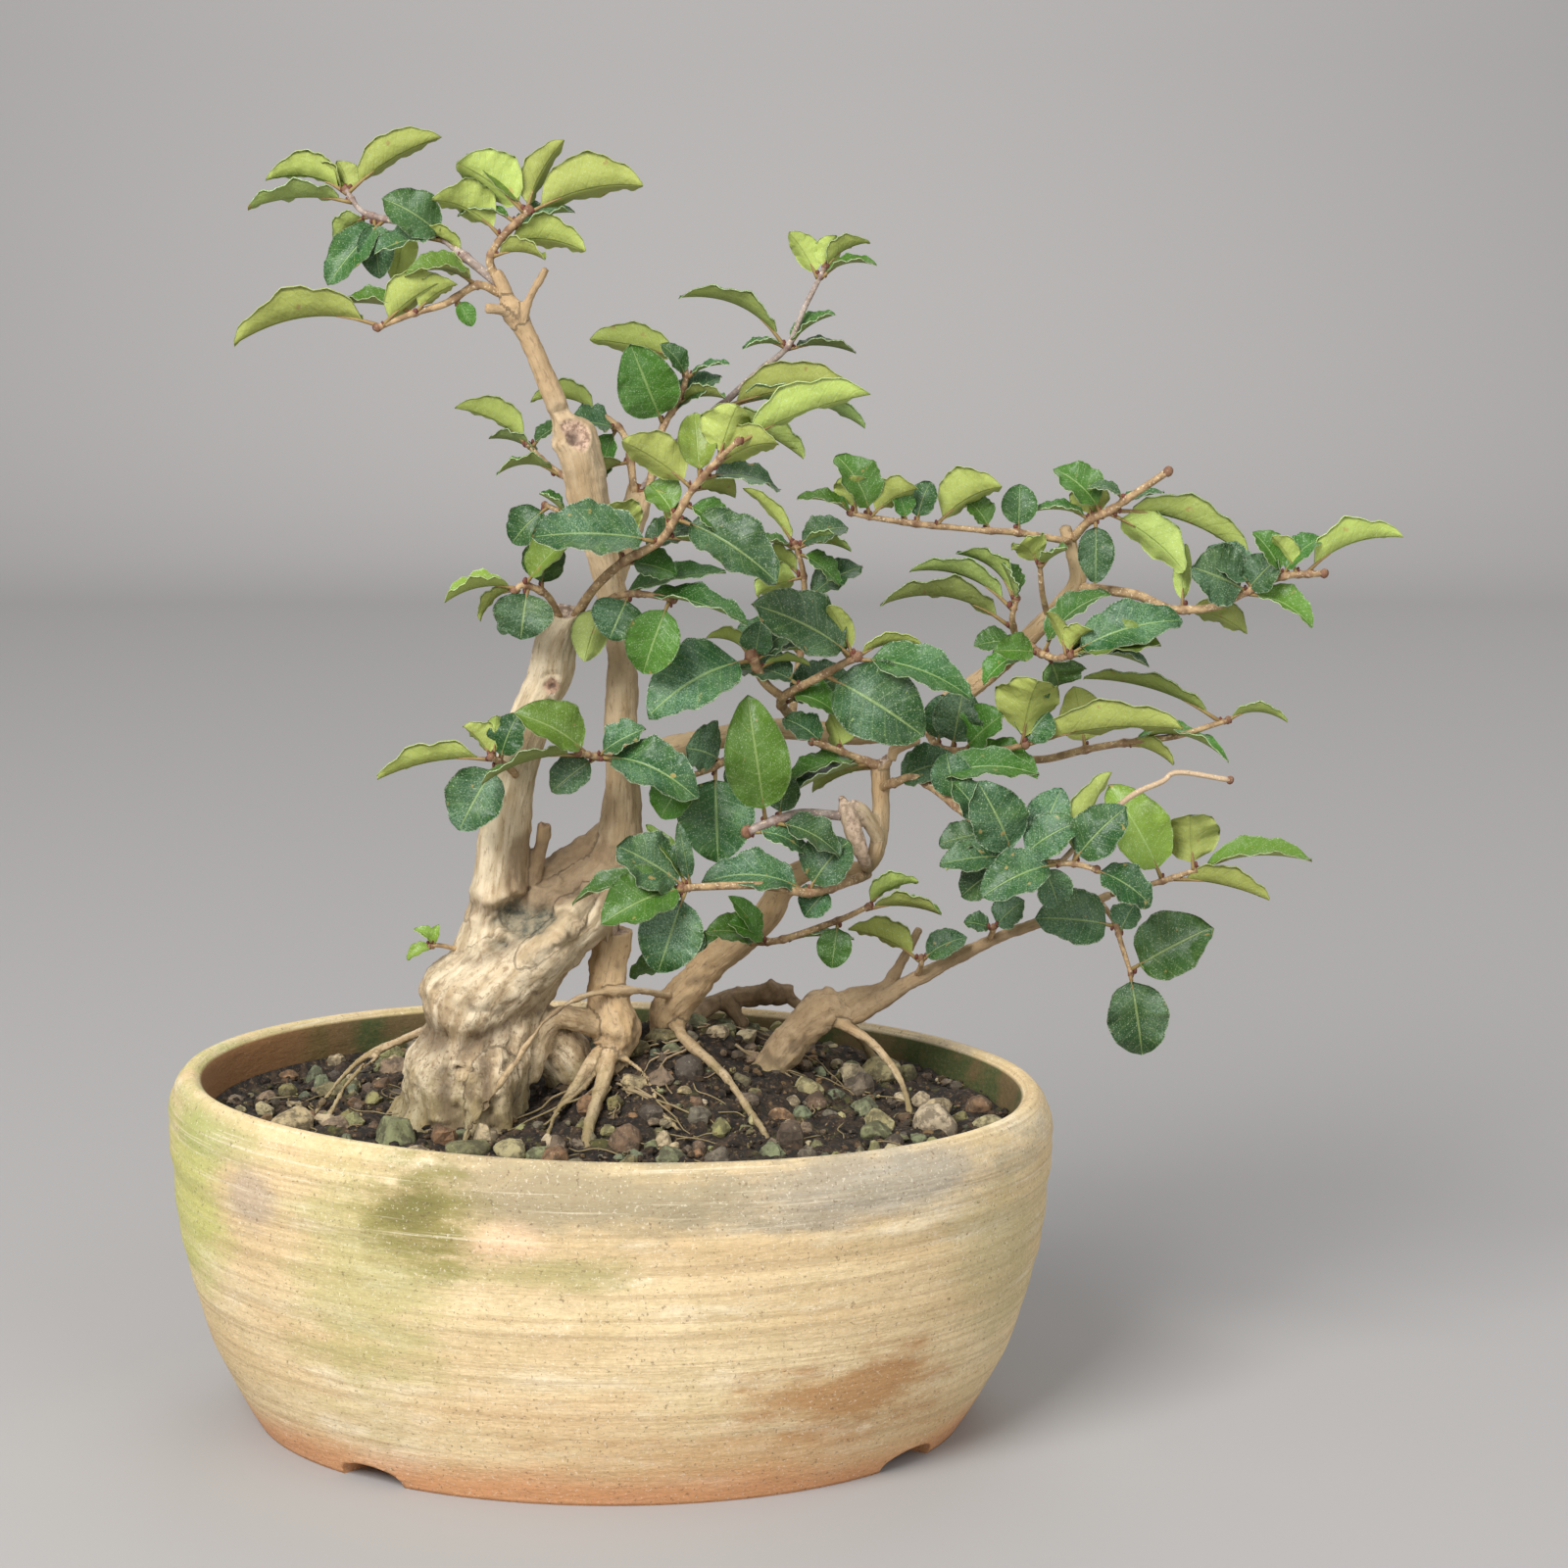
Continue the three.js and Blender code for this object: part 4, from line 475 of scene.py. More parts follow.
            (1.3, 349, -10, 23, 10, -40, 0.15)]),
    ],
    "spray_f_hanging": [
        ([(117, 7, 124), (120, -2, 121), (122, -4, 115), (124, -5, 109)], (0.9, 0.7), [
            (1.2, 171, -15, 20, 14, 60, 0.9), (3, 31, -10, 22, 17, 60, 0.7), (3, 279, 0, 21, 15, 75, 0.9),
            (1.5, 60, 20, 8, 8, 30, 0.8)]),
    ],
    "spray_f_side": [
        ([(74, 12, 104), (75, 7, 108), (75, 6, 110)], (0.9, 0.7), [
            (2, 155, -5, 19, 11, -45, 0.15), (2, 28, 0, 12, 8, 45, 0.8)]),
    ],
    "spray_f_middle": [
        ([(91, 10, 113), (92, 5, 117), (92, 4, 118)], (0.9, 0.7), [
            (2, 45, -5, 10, 9, 40, 0.9), (2, 165, -5, 7, 6, 40, 0.8)]),
    ],
    "spray_limb_middle": [
        ([(76, 27, 163), (79, 18, 159), (85, 12, 159), (93, 8, 160), (99, 4, 162)], (1.3, 0.9), [
            (4, 79, -24, 18, 18, -50, 0.1), (4, 8, -10, 38, 13, -50, 0.1), (4, 50, 15, 10, 11, 50, 0.9),
            (2, 344, -20, 19, 9, 30, 0.4), (2, 45, -15, 14, 13, 40, 0.4), (1.6, 80, 0, 15, 12, 60, 1),
            (1, 85, 10, 12, 9, 50, 0.9)]),
    ],
    "spray_limb_long": [
        ([(82, 25, 167), (93, 22, 157), (103, 17, 156), (114, 14, 159), (123, 12, 161), (135, 10, 163),
         (144, 9, 166), (147, 9, 167)], (1.3, 0.8), [
            (6.6, 163, 5, 34, 10, -15, 0.4), (7, 0, 0, 15, 6, -15, 0.4), (4, 352, -10, 25, 9, 0, 0.4),
            (4, 340, -22, 13, 6, -40, 0.15), (3, 100, 20, 15, 13, -50, 0.25)]),
    ],
    "spray_limb_up": [
        ([(98, 19, 183), (96, 10, 191), (97, 8, 196)], (1.1, 0.7), [
            (1.5, 159, -5, 26, 9, -25, 0.5), (0.7, 168, -15, 33, 12, -30, 0.5),
            (2, 141, 5, 18, 9, -20, 0.4), (2, 110, -5, 10, 9, 10, 0.6)]),
    ],
    "spray_limb_thin": [
        ([(105, 17, 190), (103, 9, 197), (102, 5, 205)], (1, 0.7), [
            (2, 130, -32, 9, 10, -50, 0.2), (2, 40, -35, 9, 8, 10, 0.5)]),
    ],
    "spray_limb_front": [
        ([(99, 18, 184), (103, 8, 183), (106, 2, 183), (109, 0, 184)], (1.2, 0.8), [
            (3, 8, -10, 22, 12, 35, 0.25), (3, 17, 2, 28, 13, 45, 0.9), (2.6, 354, 0, 20, 10, 10, 0.8),
            (3, 50, -20, 9, 8, -40, 0.1), (3, 115, -15, 12, 4, -30, 0.1), (1, 43, -5, 21, 11, 20, 0.6),
            (1.4, 290, 30, 9, 13, 60, 0.6), (0.8, 175, -20, 11, 8, 60, 0.4)]),
    ],
    "spray_right_top_left": [
        ([(110, 12, 209), (107, 8, 210), (97, 6, 212), (88, 3, 213), (73, -1, 215), (62, -4, 217),
         (58, -5, 218)], (1.1, 0.7), [
            (6, 165, -5, 14, 6, 20, 0.4), (6, 100, -15, 9, 11, -50, 0.15), (5, 120, 5, 16, 12, 30, 0.4),
            (5, 32, -10, 13, 10, -50, 0.15), (4.2, 105, 0, 9, 6, 30, 0.5),
            (3.7, 32, -10, 18, 14, -55, 0.05), (2.8, 130, 12, 9, 8, 30, 0.5)]),
    ],
    "spray_right_top_up": [
        ([(110, 11, 210), (114, 7, 215), (118, 6, 217), (123, 3, 221), (131, 0, 227)], (1.4, 1), [
            (1, 172, 0, 13, 6, 10, 0.6), (1.6, 138, 10, 15, 11, 40, 0.5), (1, 90, -10, 8, 11, -50, 0.15),
            (1.2, 270, -8, 15, 9, 75, 0.8), (2, 18, 12, 14, 5, 10, 0.9), (2.2, 340, 0, 34, 12, -35, 0.3),
            (2, 323, -12, 22, 12, -60, 0.35)]),
    ],
    "spray_right_top_right": [
        ([(111, 14, 198), (117, 10, 198), (125, 8, 197), (130, 6, 195), (134, 5, 194), (143, 3, 195),
         (150, 0, 199), (158, -3, 203), (167, -5, 204)], (1.6, 0.9), [
            (4.2, 88, 0, 15, 5, -30, 0.3), (6, 155, -15, 15, 16, 60, 0.9), (6, 50, -15, 11, 10, 50, 0.9),
            (6.2, 140, 15, 14, 10, 40, 0.9), (7, 125, 8, 12, 9, 30, 0.5), (7.4, 125, -12, 11, 6, -40, 0.1),
            (7, 42, 12, 13, 8, 30, 0.6), (7.6, 21, 0, 24, 11, -40, 0.1), (6, 333, -10, 17, 9, 30, 0.3),
            (4.2, 341, -5, 16, 10, -50, 0.4)]),
    ],
    "spray_base_sprout": [
        ([(-33, 1, 113), (-39, -2, 115), (-41, -3, 115)], (0.8, 0.6), [
            (2, 140, 0, 6, 4, 30, 0.2), (2, 205, -10, 7, 4, 40, 0.2), (2, 75, 5, 5, 3, 30, 0.2)]),
    ],
}
# Further leaves in the thick of the crown, on the twigs of the stems above.
MORE_LEAVES = {
    ("spray_centre", 1): [(3, 80, -5, 9, 8, 50, 0.8), (2.6, 40, 10, 12, 9, 30, 0.9)],
    ("spray_e_grey", 0): [(3, 335, 8, 14, 9, 30, 0.8)],
    ("spray_e_top", 0): [(0.1, 205, 15, 17, 9, -30, 0.5), (1.6, 150, 20, 12, 9, 30, 0.9)],
    ("spray_right_low", 0): [(2.4, 5, -5, 26, 11, 30, 0.6), (3.2, 100, 15, 12, 10, 50, 0.9),
                             (6, 290, 15, 12, 9, 60, 0.9)],
    ("spray_limb_front", 0): [(0.5, 215, -10, 14, 9, 20, 0.4), (2.4, 12, 20, 18, 10, 30, 0.9)],
    ("spray_limb_up", 0): [(0.2, 185, -10, 10, 8, 40, 0.6)],
    ("spray_right_top_left", 0): [(2, 88, 15, 11, 9, 30, 0.7), (4, 70, 15, 10, 8, 30, 0.8)],
    ("spray_right_top_up", 0): [(2.8, 165, 5, 9, 5, 20, 0.8)],
    ("spray_front_twig", 0): [(3.6, 115, 15, 9, 8, -30, 0.3), (2.4, 20, 25, 16, 10, 30, 0.9)],
    ("spray_a_right", 0): [(1.2, 12, 5, 26, 9, 20, 0.6)],
    ("spray_mid_back", 0): [(2.5, 30, 10, 16, 10, 30, 0.9), (1.6, 160, 10, 16, 11, 30, 0.9)],
    ("spray_upper_mid", 0): [(1.6, 35, 15, 15, 10, 20, 0.9)],
    ("spray_centre", 0): [(1.5, 20, 20, 18, 12, 40, 1), (2.6, 170, 20, 16, 11, 30, 1)],
}

# The stage, in metres and degrees. Each lamp: place, size, power and turn.
BACKDROP_START = 1.6
BACKDROP_BEND = 1.2
FLOOR_COLOUR = (164, 161, 159)
SKY_COLOUR = (236, 238, 242)
SKY_STRENGTH = 0.52
LAMPS = {
    "key": ((-0.7, -1.2, 1.25), 0.9, 41, (51, 0, -31)),
    "fill": ((1.2, -1.1, 0.8), 1.4, 9, (62, 0, 46)),
    "back": ((0.3, 1.2, 1.4), 1.2, 8, (-44, 0, 0)),
    "wall": ((0, 1.3, 1), 0.8, 13, (90, 0, 0)),
}
CAMERA_PLACE = (0.0423, -0.94793, 0.33938)
CAMERA_DIP = 11.1
LENS = 94.5
SENSOR = 36


def draw(seed):
    """A number from 0 to 1 that is always the same for the same seed."""
    spread = np.sin(np.asarray(seed, float) * 12.9898) * 43758.5453
    return spread - np.floor(spread)


def corner_value(corner, seed):
    """A fixed number from 0 to 1 for each whole corner of space, by mixing its three counts."""
    mixed = (corner[..., 0] * 73856093) ^ (corner[..., 1] * 19349663)
    mixed = mixed ^ (corner[..., 2] * 83492791) ^ (seed * 7919)
    mixed = ((mixed & 0xFFFFFFF) * 1274126177) & 0x7FFFFFFFFFFF
    mixed = (mixed ^ (mixed >> 15)) & 0xFFFFF
    return mixed / 0xFFFFF


def noise(points, size, seed=0):
    """Smooth noise from -1 to 1: values at the corners of a cubic grid, blended with 3t^2 - 2t^3."""
    scaled = points / size
    low = np.floor(scaled).astype(np.int64)
    part = scaled - low
    part = part * part * (3 - 2 * part)
    total = 0
    for corner in np.ndindex(2, 2, 2):
        weight = np.prod(np.where(corner, part, 1 - part), axis=-1)
        total = total + weight * corner_value(low + corner, seed)
    return 2 * total - 1


def rough(points, size, seed=0, layers=4):
    """Noise with finer and fainter noise added, each layer half the size and half the height."""
    return sum(noise(points, size / 2**k, seed + 17 * k) / 2**k for k in range(layers))


def smoothstep(low, high, value):
    """0 below low, 1 above high and a smooth rise between."""
    part = np.clip((value - low) / (high - low), 0, 1)
    return part * part * (3 - 2 * part)


def unit(vectors):
    """Vectors brought to length 1."""
    return vectors / np.linalg.norm(vectors, axis=-1, keepdims=True)


def curve_at(path, places):
    """Points and directions of the curve through a path, at places counted in path points: between two
    points a cubic whose slope at each end is half the step between that point's neighbours."""
    points = np.asarray(path, float)
    padded = np.vstack([2 * points[0] - points[1], points, 2 * points[-1] - points[-2]])
    places = np.atleast_1d(np.asarray(places, float))
    span = np.clip(np.floor(places).astype(int), 0, len(points) - 2)
    t = (places - span)[:, None]
    before, start, end, after = (padded[span + k] for k in range(4))
    leave, arrive = (end - before) / 2, (after - start) / 2
    bend = 3 * (end - start) - 2 * leave - arrive
    twist = 2 * (start - end) + leave + arrive
    return start + t * (leave + t * (bend + t * twist)), unit(leave + t * (2 * bend + 3 * t * twist))


def surface(points, *faces, **marks):
    """A surface as a dictionary: points, lists of faces, and a value at each point for each mark."""
    return {"points": points, "faces": [np.asarray(f) for f in faces if len(f)], "marks": marks}


def merged(parts):
    """Several surfaces as one; a mark that a part lacks is 0 on it."""
    names = sorted({name for part in parts for name in part["marks"]})
    sizes = [len(part["points"]) for part in parts]
    starts = np.concatenate([[0], np.cumsum(sizes)[:-1]]).astype(int)
    faces = [f + start for part, start in zip(parts, starts) for f in part["faces"]]
    marks = {}
    for name in names:
        columns = [np.broadcast_to(part["marks"].get(name, 0.0), n) for part, n in zip(parts, sizes)]
        marks[name] = np.concatenate(columns)
    return {"points": np.concatenate([part["points"] for part in parts]), "faces": faces, "marks": marks}


def grid_faces(rows, columns, wrap=False):
    """Quads of a grid of points, whose last column joins its first one when it wraps."""
    across = columns if wrap else columns - 1
    row, column = np.meshgrid(np.arange(rows - 1), np.arange(across), indexing="ij")
    following = (column + 1) % columns
    corners = [row * columns + column, row * columns + following, (row + 1) * columns + following,
               (row + 1) * columns + column]
    return np.stack(corners, -1).reshape(-1, 4)


def fan(middle, ring, outward):
    """Triangles from a middle point to a closed ring of points."""
    following = np.roll(ring, -1)
    order = (ring, following) if outward else (following, ring)
    return np.stack([np.full(len(ring), middle), *order], -1)


def turned_surface(rings, **marks):
    """A closed surface from rings of points, shape (ring, point, 3), with a middle point at both ends."""
    count, around = rings.shape[:2]
    middles = rings[[0, -1]].mean(1)
    points = np.concatenate([rings.reshape(-1, 3), middles])
    last = np.arange(around) + (count - 1) * around
    first_fan = fan(count * around, np.arange(around), False)
    last_fan = fan(count * around + 1, last, True)
    return surface(points, grid_faces(count, around, True), np.concatenate([first_fan, last_fan]), **marks)


def cross_frame(along):
    """Two directions square to each direction along a limb, which turn smoothly with it."""
    lead = np.array([0.3, 1, 0.2]) if abs(along[:, 1]).mean() < 0.75 else np.array([1, 0.2, 0.3])
    side = unit(lead - (along @ lead)[:, None] * along)
    return side, np.cross(along, side)


def limb(path, radii, sides=16, steps=6, knobbly=0.0, nodes=(), **marks):
    """A round limb: a ring about each point of a curve. Its radius is read between the given radii, swells
    at each node by a bell of the distance along the limb, and varies by noise. The bell is the bud mark."""
    places = np.linspace(0, len(path) - 1, (len(path) - 1) * steps + 1)
    centre, along = curve_at(path, places)
    radius = np.interp(places / (len(path) - 1), np.linspace(0, 1, len(radii)), radii)
    span = np.linalg.norm(np.diff(np.asarray(path, float), axis=0), axis=1).mean()
    bell = np.zeros(len(places))
    for node in nodes:
        bell = np.maximum(bell, np.exp(-(((places - node) * span / NODE_REACH) ** 2)))
    side, up = cross_frame(along)
    turn = np.linspace(0, 2 * np.pi, sides, endpoint=False)
    ring = side[:, None] * np.cos(turn)[:, None] + up[:, None] * np.sin(turn)[:, None]
    radius = radius + NODE_SWELL * bell
    points = centre[:, None] + ring * radius[:, None, None]
    swell = 1 + knobbly * rough(points, 5.0, 3, 2) if knobbly else np.ones(points.shape[:2])
    if len(nodes):
        marks["bud"] = np.concatenate([np.repeat(bell, sides), bell[[0, -1]]]) * BUD_SCALE_SHARE
    return turned_surface(centre[:, None] + ring * (radius[:, None] * swell)[..., None], **marks)


def pot_place(half_width, angle, height):
    """A place of the round profile brought to the oval, turned and slightly tilted pot."""
    oval = OVAL_BASE + (OVAL_RIM - OVAL_BASE) * np.minimum(height / POT_HEIGHT, 1)
    x, y = half_width * np.cos(angle), half_width * np.sin(angle) * oval
    turn = math.radians(POT_TURN)
    px, py = x * math.cos(turn) - y * math.sin(turn), x * math.sin(turn) + y * math.cos(turn)
    place = px + POT_LEAN * height, py, height - RIM_FALL * px * height / POT_HEIGHT
    return np.stack(np.broadcast_arrays(*place), -1)


def profile_points(corners, spacing):
    """Points along straight and curved runs of a profile, no further apart than the spacing."""
    path = [(w, 0, h) for w, h in corners]
    spans = [max(1, math.ceil(math.dist(a, b) / spacing)) for a, b in zip(path, path[1:])]
    places = np.concatenate([k + np.arange(n) / n for k, n in enumerate(spans)] + [[len(path) - 1]])
    return curve_at(path, places)[0][:, [0, 2]]


def set_marks(mesh, marks):
    """Stores a number or a vector at each point of a mesh under each mark's name."""
    for name, values in marks.items():
        vector = np.ndim(values) == 2
        layer = mesh.attributes.new(name, "FLOAT_VECTOR" if vector else "FLOAT", "POINT")
        layer.data.foreach_set("vector" if vector else "value", np.asarray(values, np.float32).ravel())


def make_piece(name, shape, materials, nodes):
    """A mesh object from a surface, in metres, standing for the named solids. The marks u, v, material and
    flat become the UV map and the faces' material and shading; the others are stored at the points."""
    mesh = bpy.data.meshes.new(name)
    rows = [row for faces in shape["faces"] for row in faces.tolist()]
    mesh.from_pydata((shape["points"] * MM).tolist(), [], rows)
    marks = dict(shape["marks"])
    corner = np.empty(len(mesh.loops), np.int32)
    mesh.loops.foreach_get("vertex_index", corner)
    if "u" in marks:
        uv = np.stack([marks.pop("u"), marks.pop("v")], -1)[corner]
        mesh.uv_layers.new(name="UVMap").data.foreach_set("uv", uv.astype(np.float32).ravel())
    for material in materials:
        mesh.materials.append(material)
    if "material" in marks:
        first = np.array([row[0] for row in rows])
        mesh.polygons.foreach_set("material_index", marks.pop("material")[first].astype(np.int32))
    flat = marks.pop("flat", np.zeros(len(mesh.vertices)))
    mesh.polygons.foreach_set("use_smooth", flat[[row[0] for row in rows]] < 0.5)
    set_marks(mesh, marks)
    mesh.update()
    piece = bpy.data.objects.new(name, mesh)
    bpy.context.scene.collection.objects.link(piece)
    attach(piece, "root")
    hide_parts(*nodes)
    return piece


def settled_mesh(piece):
    """Applies a piece's modifiers, so that its mesh is final."""
    depsgraph = bpy.context.evaluated_depsgraph_get()
    final = bpy.data.meshes.new_from_object(piece.evaluated_get(depsgraph))
    piece.modifiers.clear()
    piece.data = final
    return piece


def colour(red, green, blue):
    """A screen colour, each part from 0 to 255, as the linear colour that a shader takes."""
    parts = np.array([red, green, blue]) / 255
    linear = np.where(parts <= 0.04045, parts / 12.92, ((parts + 0.055) / 1.055) ** 2.4)
    return (*linear.tolist(), 1.0)


# The mix node's colour sockets, which share their names with its number sockets.
MIX_FIRST = 6
MIX_SECOND = 7
MIX_RESULT = 2


class Shader:
    """Adds nodes to a tree: an input is a number, a colour or another node's output."""

    def __init__(self, tree):
        self.tree = tree

    def node(self, kind, inputs=None, **settings):
        made = self.tree.nodes.new(kind)
        for key, value in settings.items():
            setattr(made, key, value)
        for key, value in (inputs or {}).items():
            self.put(made.inputs[key], value)
        return made

    def put(self, socket, value):
        if isinstance(value, bpy.types.NodeSocket):
            self.tree.links.new(value, socket)
        else:
            socket.default_value = value

    def noise(self, vector, scale, detail=4.0, roughness=0.55, distortion=0.0):
        inputs = {"Vector": vector, "Scale": scale, "Detail": detail, "Roughness": roughness,
                  "Distortion": distortion}
        return self.node("ShaderNodeTexNoise", inputs).outputs["Fac"]

    def ramp(self, value, low, high):
        """0 below low, 1 above high, smooth between."""
        inputs = {"Value": value, "From Min": low, "From Max": high}
        return self.node("ShaderNodeMapRange", inputs, interpolation_type="SMOOTHSTEP").outputs["Result"]

    def maths(self, operation, first, second=0.0):
        made = self.node("ShaderNodeMath", operation=operation)
        self.put(made.inputs[0], first)
        self.put(made.inputs[1], second)
        return made.outputs[0]

    def times(self, first, second):
        return self.maths("MULTIPLY", first, second)

    def plus(self, first, second):
        return self.maths("ADD", first, second)

    def less(self, first, second):
        return self.maths("SUBTRACT", first, second)

    def mix(self, amount, first, second):
        made = self.node("ShaderNodeMix", data_type="RGBA", blend_type="MIX")
        self.put(made.inputs["Factor"], amount)
        self.put(made.inputs[MIX_FIRST], first)
        self.put(made.inputs[MIX_SECOND], second)
        return made.outputs[MIX_RESULT]

    def mark(self, name):
        return self.node("ShaderNodeAttribute", attribute_name=name).outputs["Fac"]

    def veil(self, below, mask, share, shade):
        """A colour laid over another one by a share of the mask."""
        return self.mix(self.times(mask, share), below, shade)

    def patches(self, vector, scale, cover, softness, base, patch):
        """Two colours in soft-edged patches."""
        return self.group(PATCHES, Vector=vector, Scale=scale, Cover=cover, Softness=softness, Base=base,
                          Patch=patch)["Color"]

    def roughen(self, out, vector, scale, strength, depth):
        """A grainy surface on a material."""
        grain = self.group(GRAIN, Vector=vector, Scale=scale, Strength=strength, Depth=depth)
        self.put(out["Normal"], grain["Normal"])

    def group(self, tree, **inputs):
        made = self.node("ShaderNodeGroup", node_tree=tree)
        for key, value in inputs.items():
            self.put(made.inputs[key.replace("_", " ")], value)
        return made.outputs

    def stretched(self, vector, scale):
        return self.node("ShaderNodeMapping", {"Vector": vector, "Scale": scale}).outputs["Vector"]


def effect_group(name, inputs, outputs):
    """An empty node group with named sockets; returns its tree, shader, inputs and output node."""
    tree = bpy.data.node_groups.new(name, "ShaderNodeTree")
    kinds = {float: "NodeSocketFloat", tuple: "NodeSocketColor", None: "NodeSocketVector"}
    for label, value in inputs.items():
        socket = tree.interface.new_socket(
            name=label, in_out="INPUT", socket_type=kinds[type(value) if value is not None else None]
        )
        if value is not None:
            socket.default_value = value
    for label, kind in outputs.items():
        tree.interface.new_socket(name=label, in_out="OUTPUT", socket_type=kind)
    shader = Shader(tree)
    source = shader.node("NodeGroupInput").outputs
    sink = shader.node("NodeGroupOutput").inputs
    return tree, shader, source, sink


def patch_group():
    """Two colours in soft-edged patches; Cover is how much of the second one shows."""
    tree, s, source, sink = effect_group(
        "patches",
        {"Vector": None, "Scale": 50.0, "Cover": 0.5, "Softness": 0.1, "Base": (1.0, 1.0, 1.0, 1.0),
         "Patch": (0.0, 0.0, 0.0, 1.0)},
        {"Color": "NodeSocketColor", "Mask": "NodeSocketFloat"},
    )
    field = s.noise(source["Vector"], source["Scale"], 6.0, 0.6)
    edge = s.less(1.0, source["Cover"])
    low = s.less(edge, source["Softness"])
    high = s.plus(edge, source["Softness"])
    mask = s.ramp(field, low, high)
    s.put(sink["Color"], s.mix(mask, source["Base"], source["Patch"]))
    s.put(sink["Mask"], mask)
    return tree


def grain_group():
    """A bumpy normal from fine noise on top of broader noise."""
    tree, s, source, sink = effect_group(
        "grain", {"Vector": None, "Scale": 800.0, "Strength": 0.3, "Depth": 0.0003},
        {"Normal": "NodeSocketVector"}
    )
    fine = s.noise(source["Vector"], source["Scale"], 5.0, 0.65)
    broad = s.noise(source["Vector"], s.times(source["Scale"], 0.23), 3.0, 0.5)
    height = s.plus(s.times(fine, 0.5), broad)
    inputs = {"Strength": source["Strength"], "Distance": source["Depth"], "Height": height}
    bump = s.node("ShaderNodeBump", inputs)
    s.put(sink["Normal"], bump.outputs["Normal"])
    return tree


def stain_group():
    """How much of a stain lies at a place: 1 at its centre, 0 past its reach, its edge broken by noise."""
    tree, s, source, sink = effect_group(
        "stain", {"Vector": None, "Drift": None, "Centre": None, "Reach": None, "Ragged": 1.3},
        {"Mask": "NodeSocketFloat"}
    )
    kind = "ShaderNodeVectorMath"
    offset = s.node(kind, {0: source["Vector"], 1: source["Centre"]}, operation="SUBTRACT")
    share = s.node(kind, {0: offset.outputs["Vector"], 1: source["Reach"]}, operation="DIVIDE")
    away = s.node(kind, {0: share.outputs["Vector"]}, operation="LENGTH").outputs["Value"]
    broken = s.less(s.noise(source["Drift"], 85.0, 7.0, 0.72), 0.5)
    field = s.plus(away, s.times(broken, source["Ragged"]))
    s.put(sink["Mask"], s.less(1.0, s.ramp(field, 0.3, 1.0)))
    return tree


PATCHES = patch_group()
GRAIN = grain_group()
STAIN = stain_group()


def material(name, roughness, **uniform):
    """A material with its shader, its object coordinates and its surface shader node."""
    made = bpy.data.materials.new(name)
    made.use_nodes = True
    s = Shader(made.node_tree)
    surface_shader = made.node_tree.nodes["Principled BSDF"]
    surface_shader.inputs["Roughness"].default_value = roughness
    for key, value in uniform.items():
        surface_shader.inputs[key.replace("_", " ")].default_value = value
    place = s.node("ShaderNodeTexCoord").outputs["Object"]
    return made, s, place, surface_shader.inputs


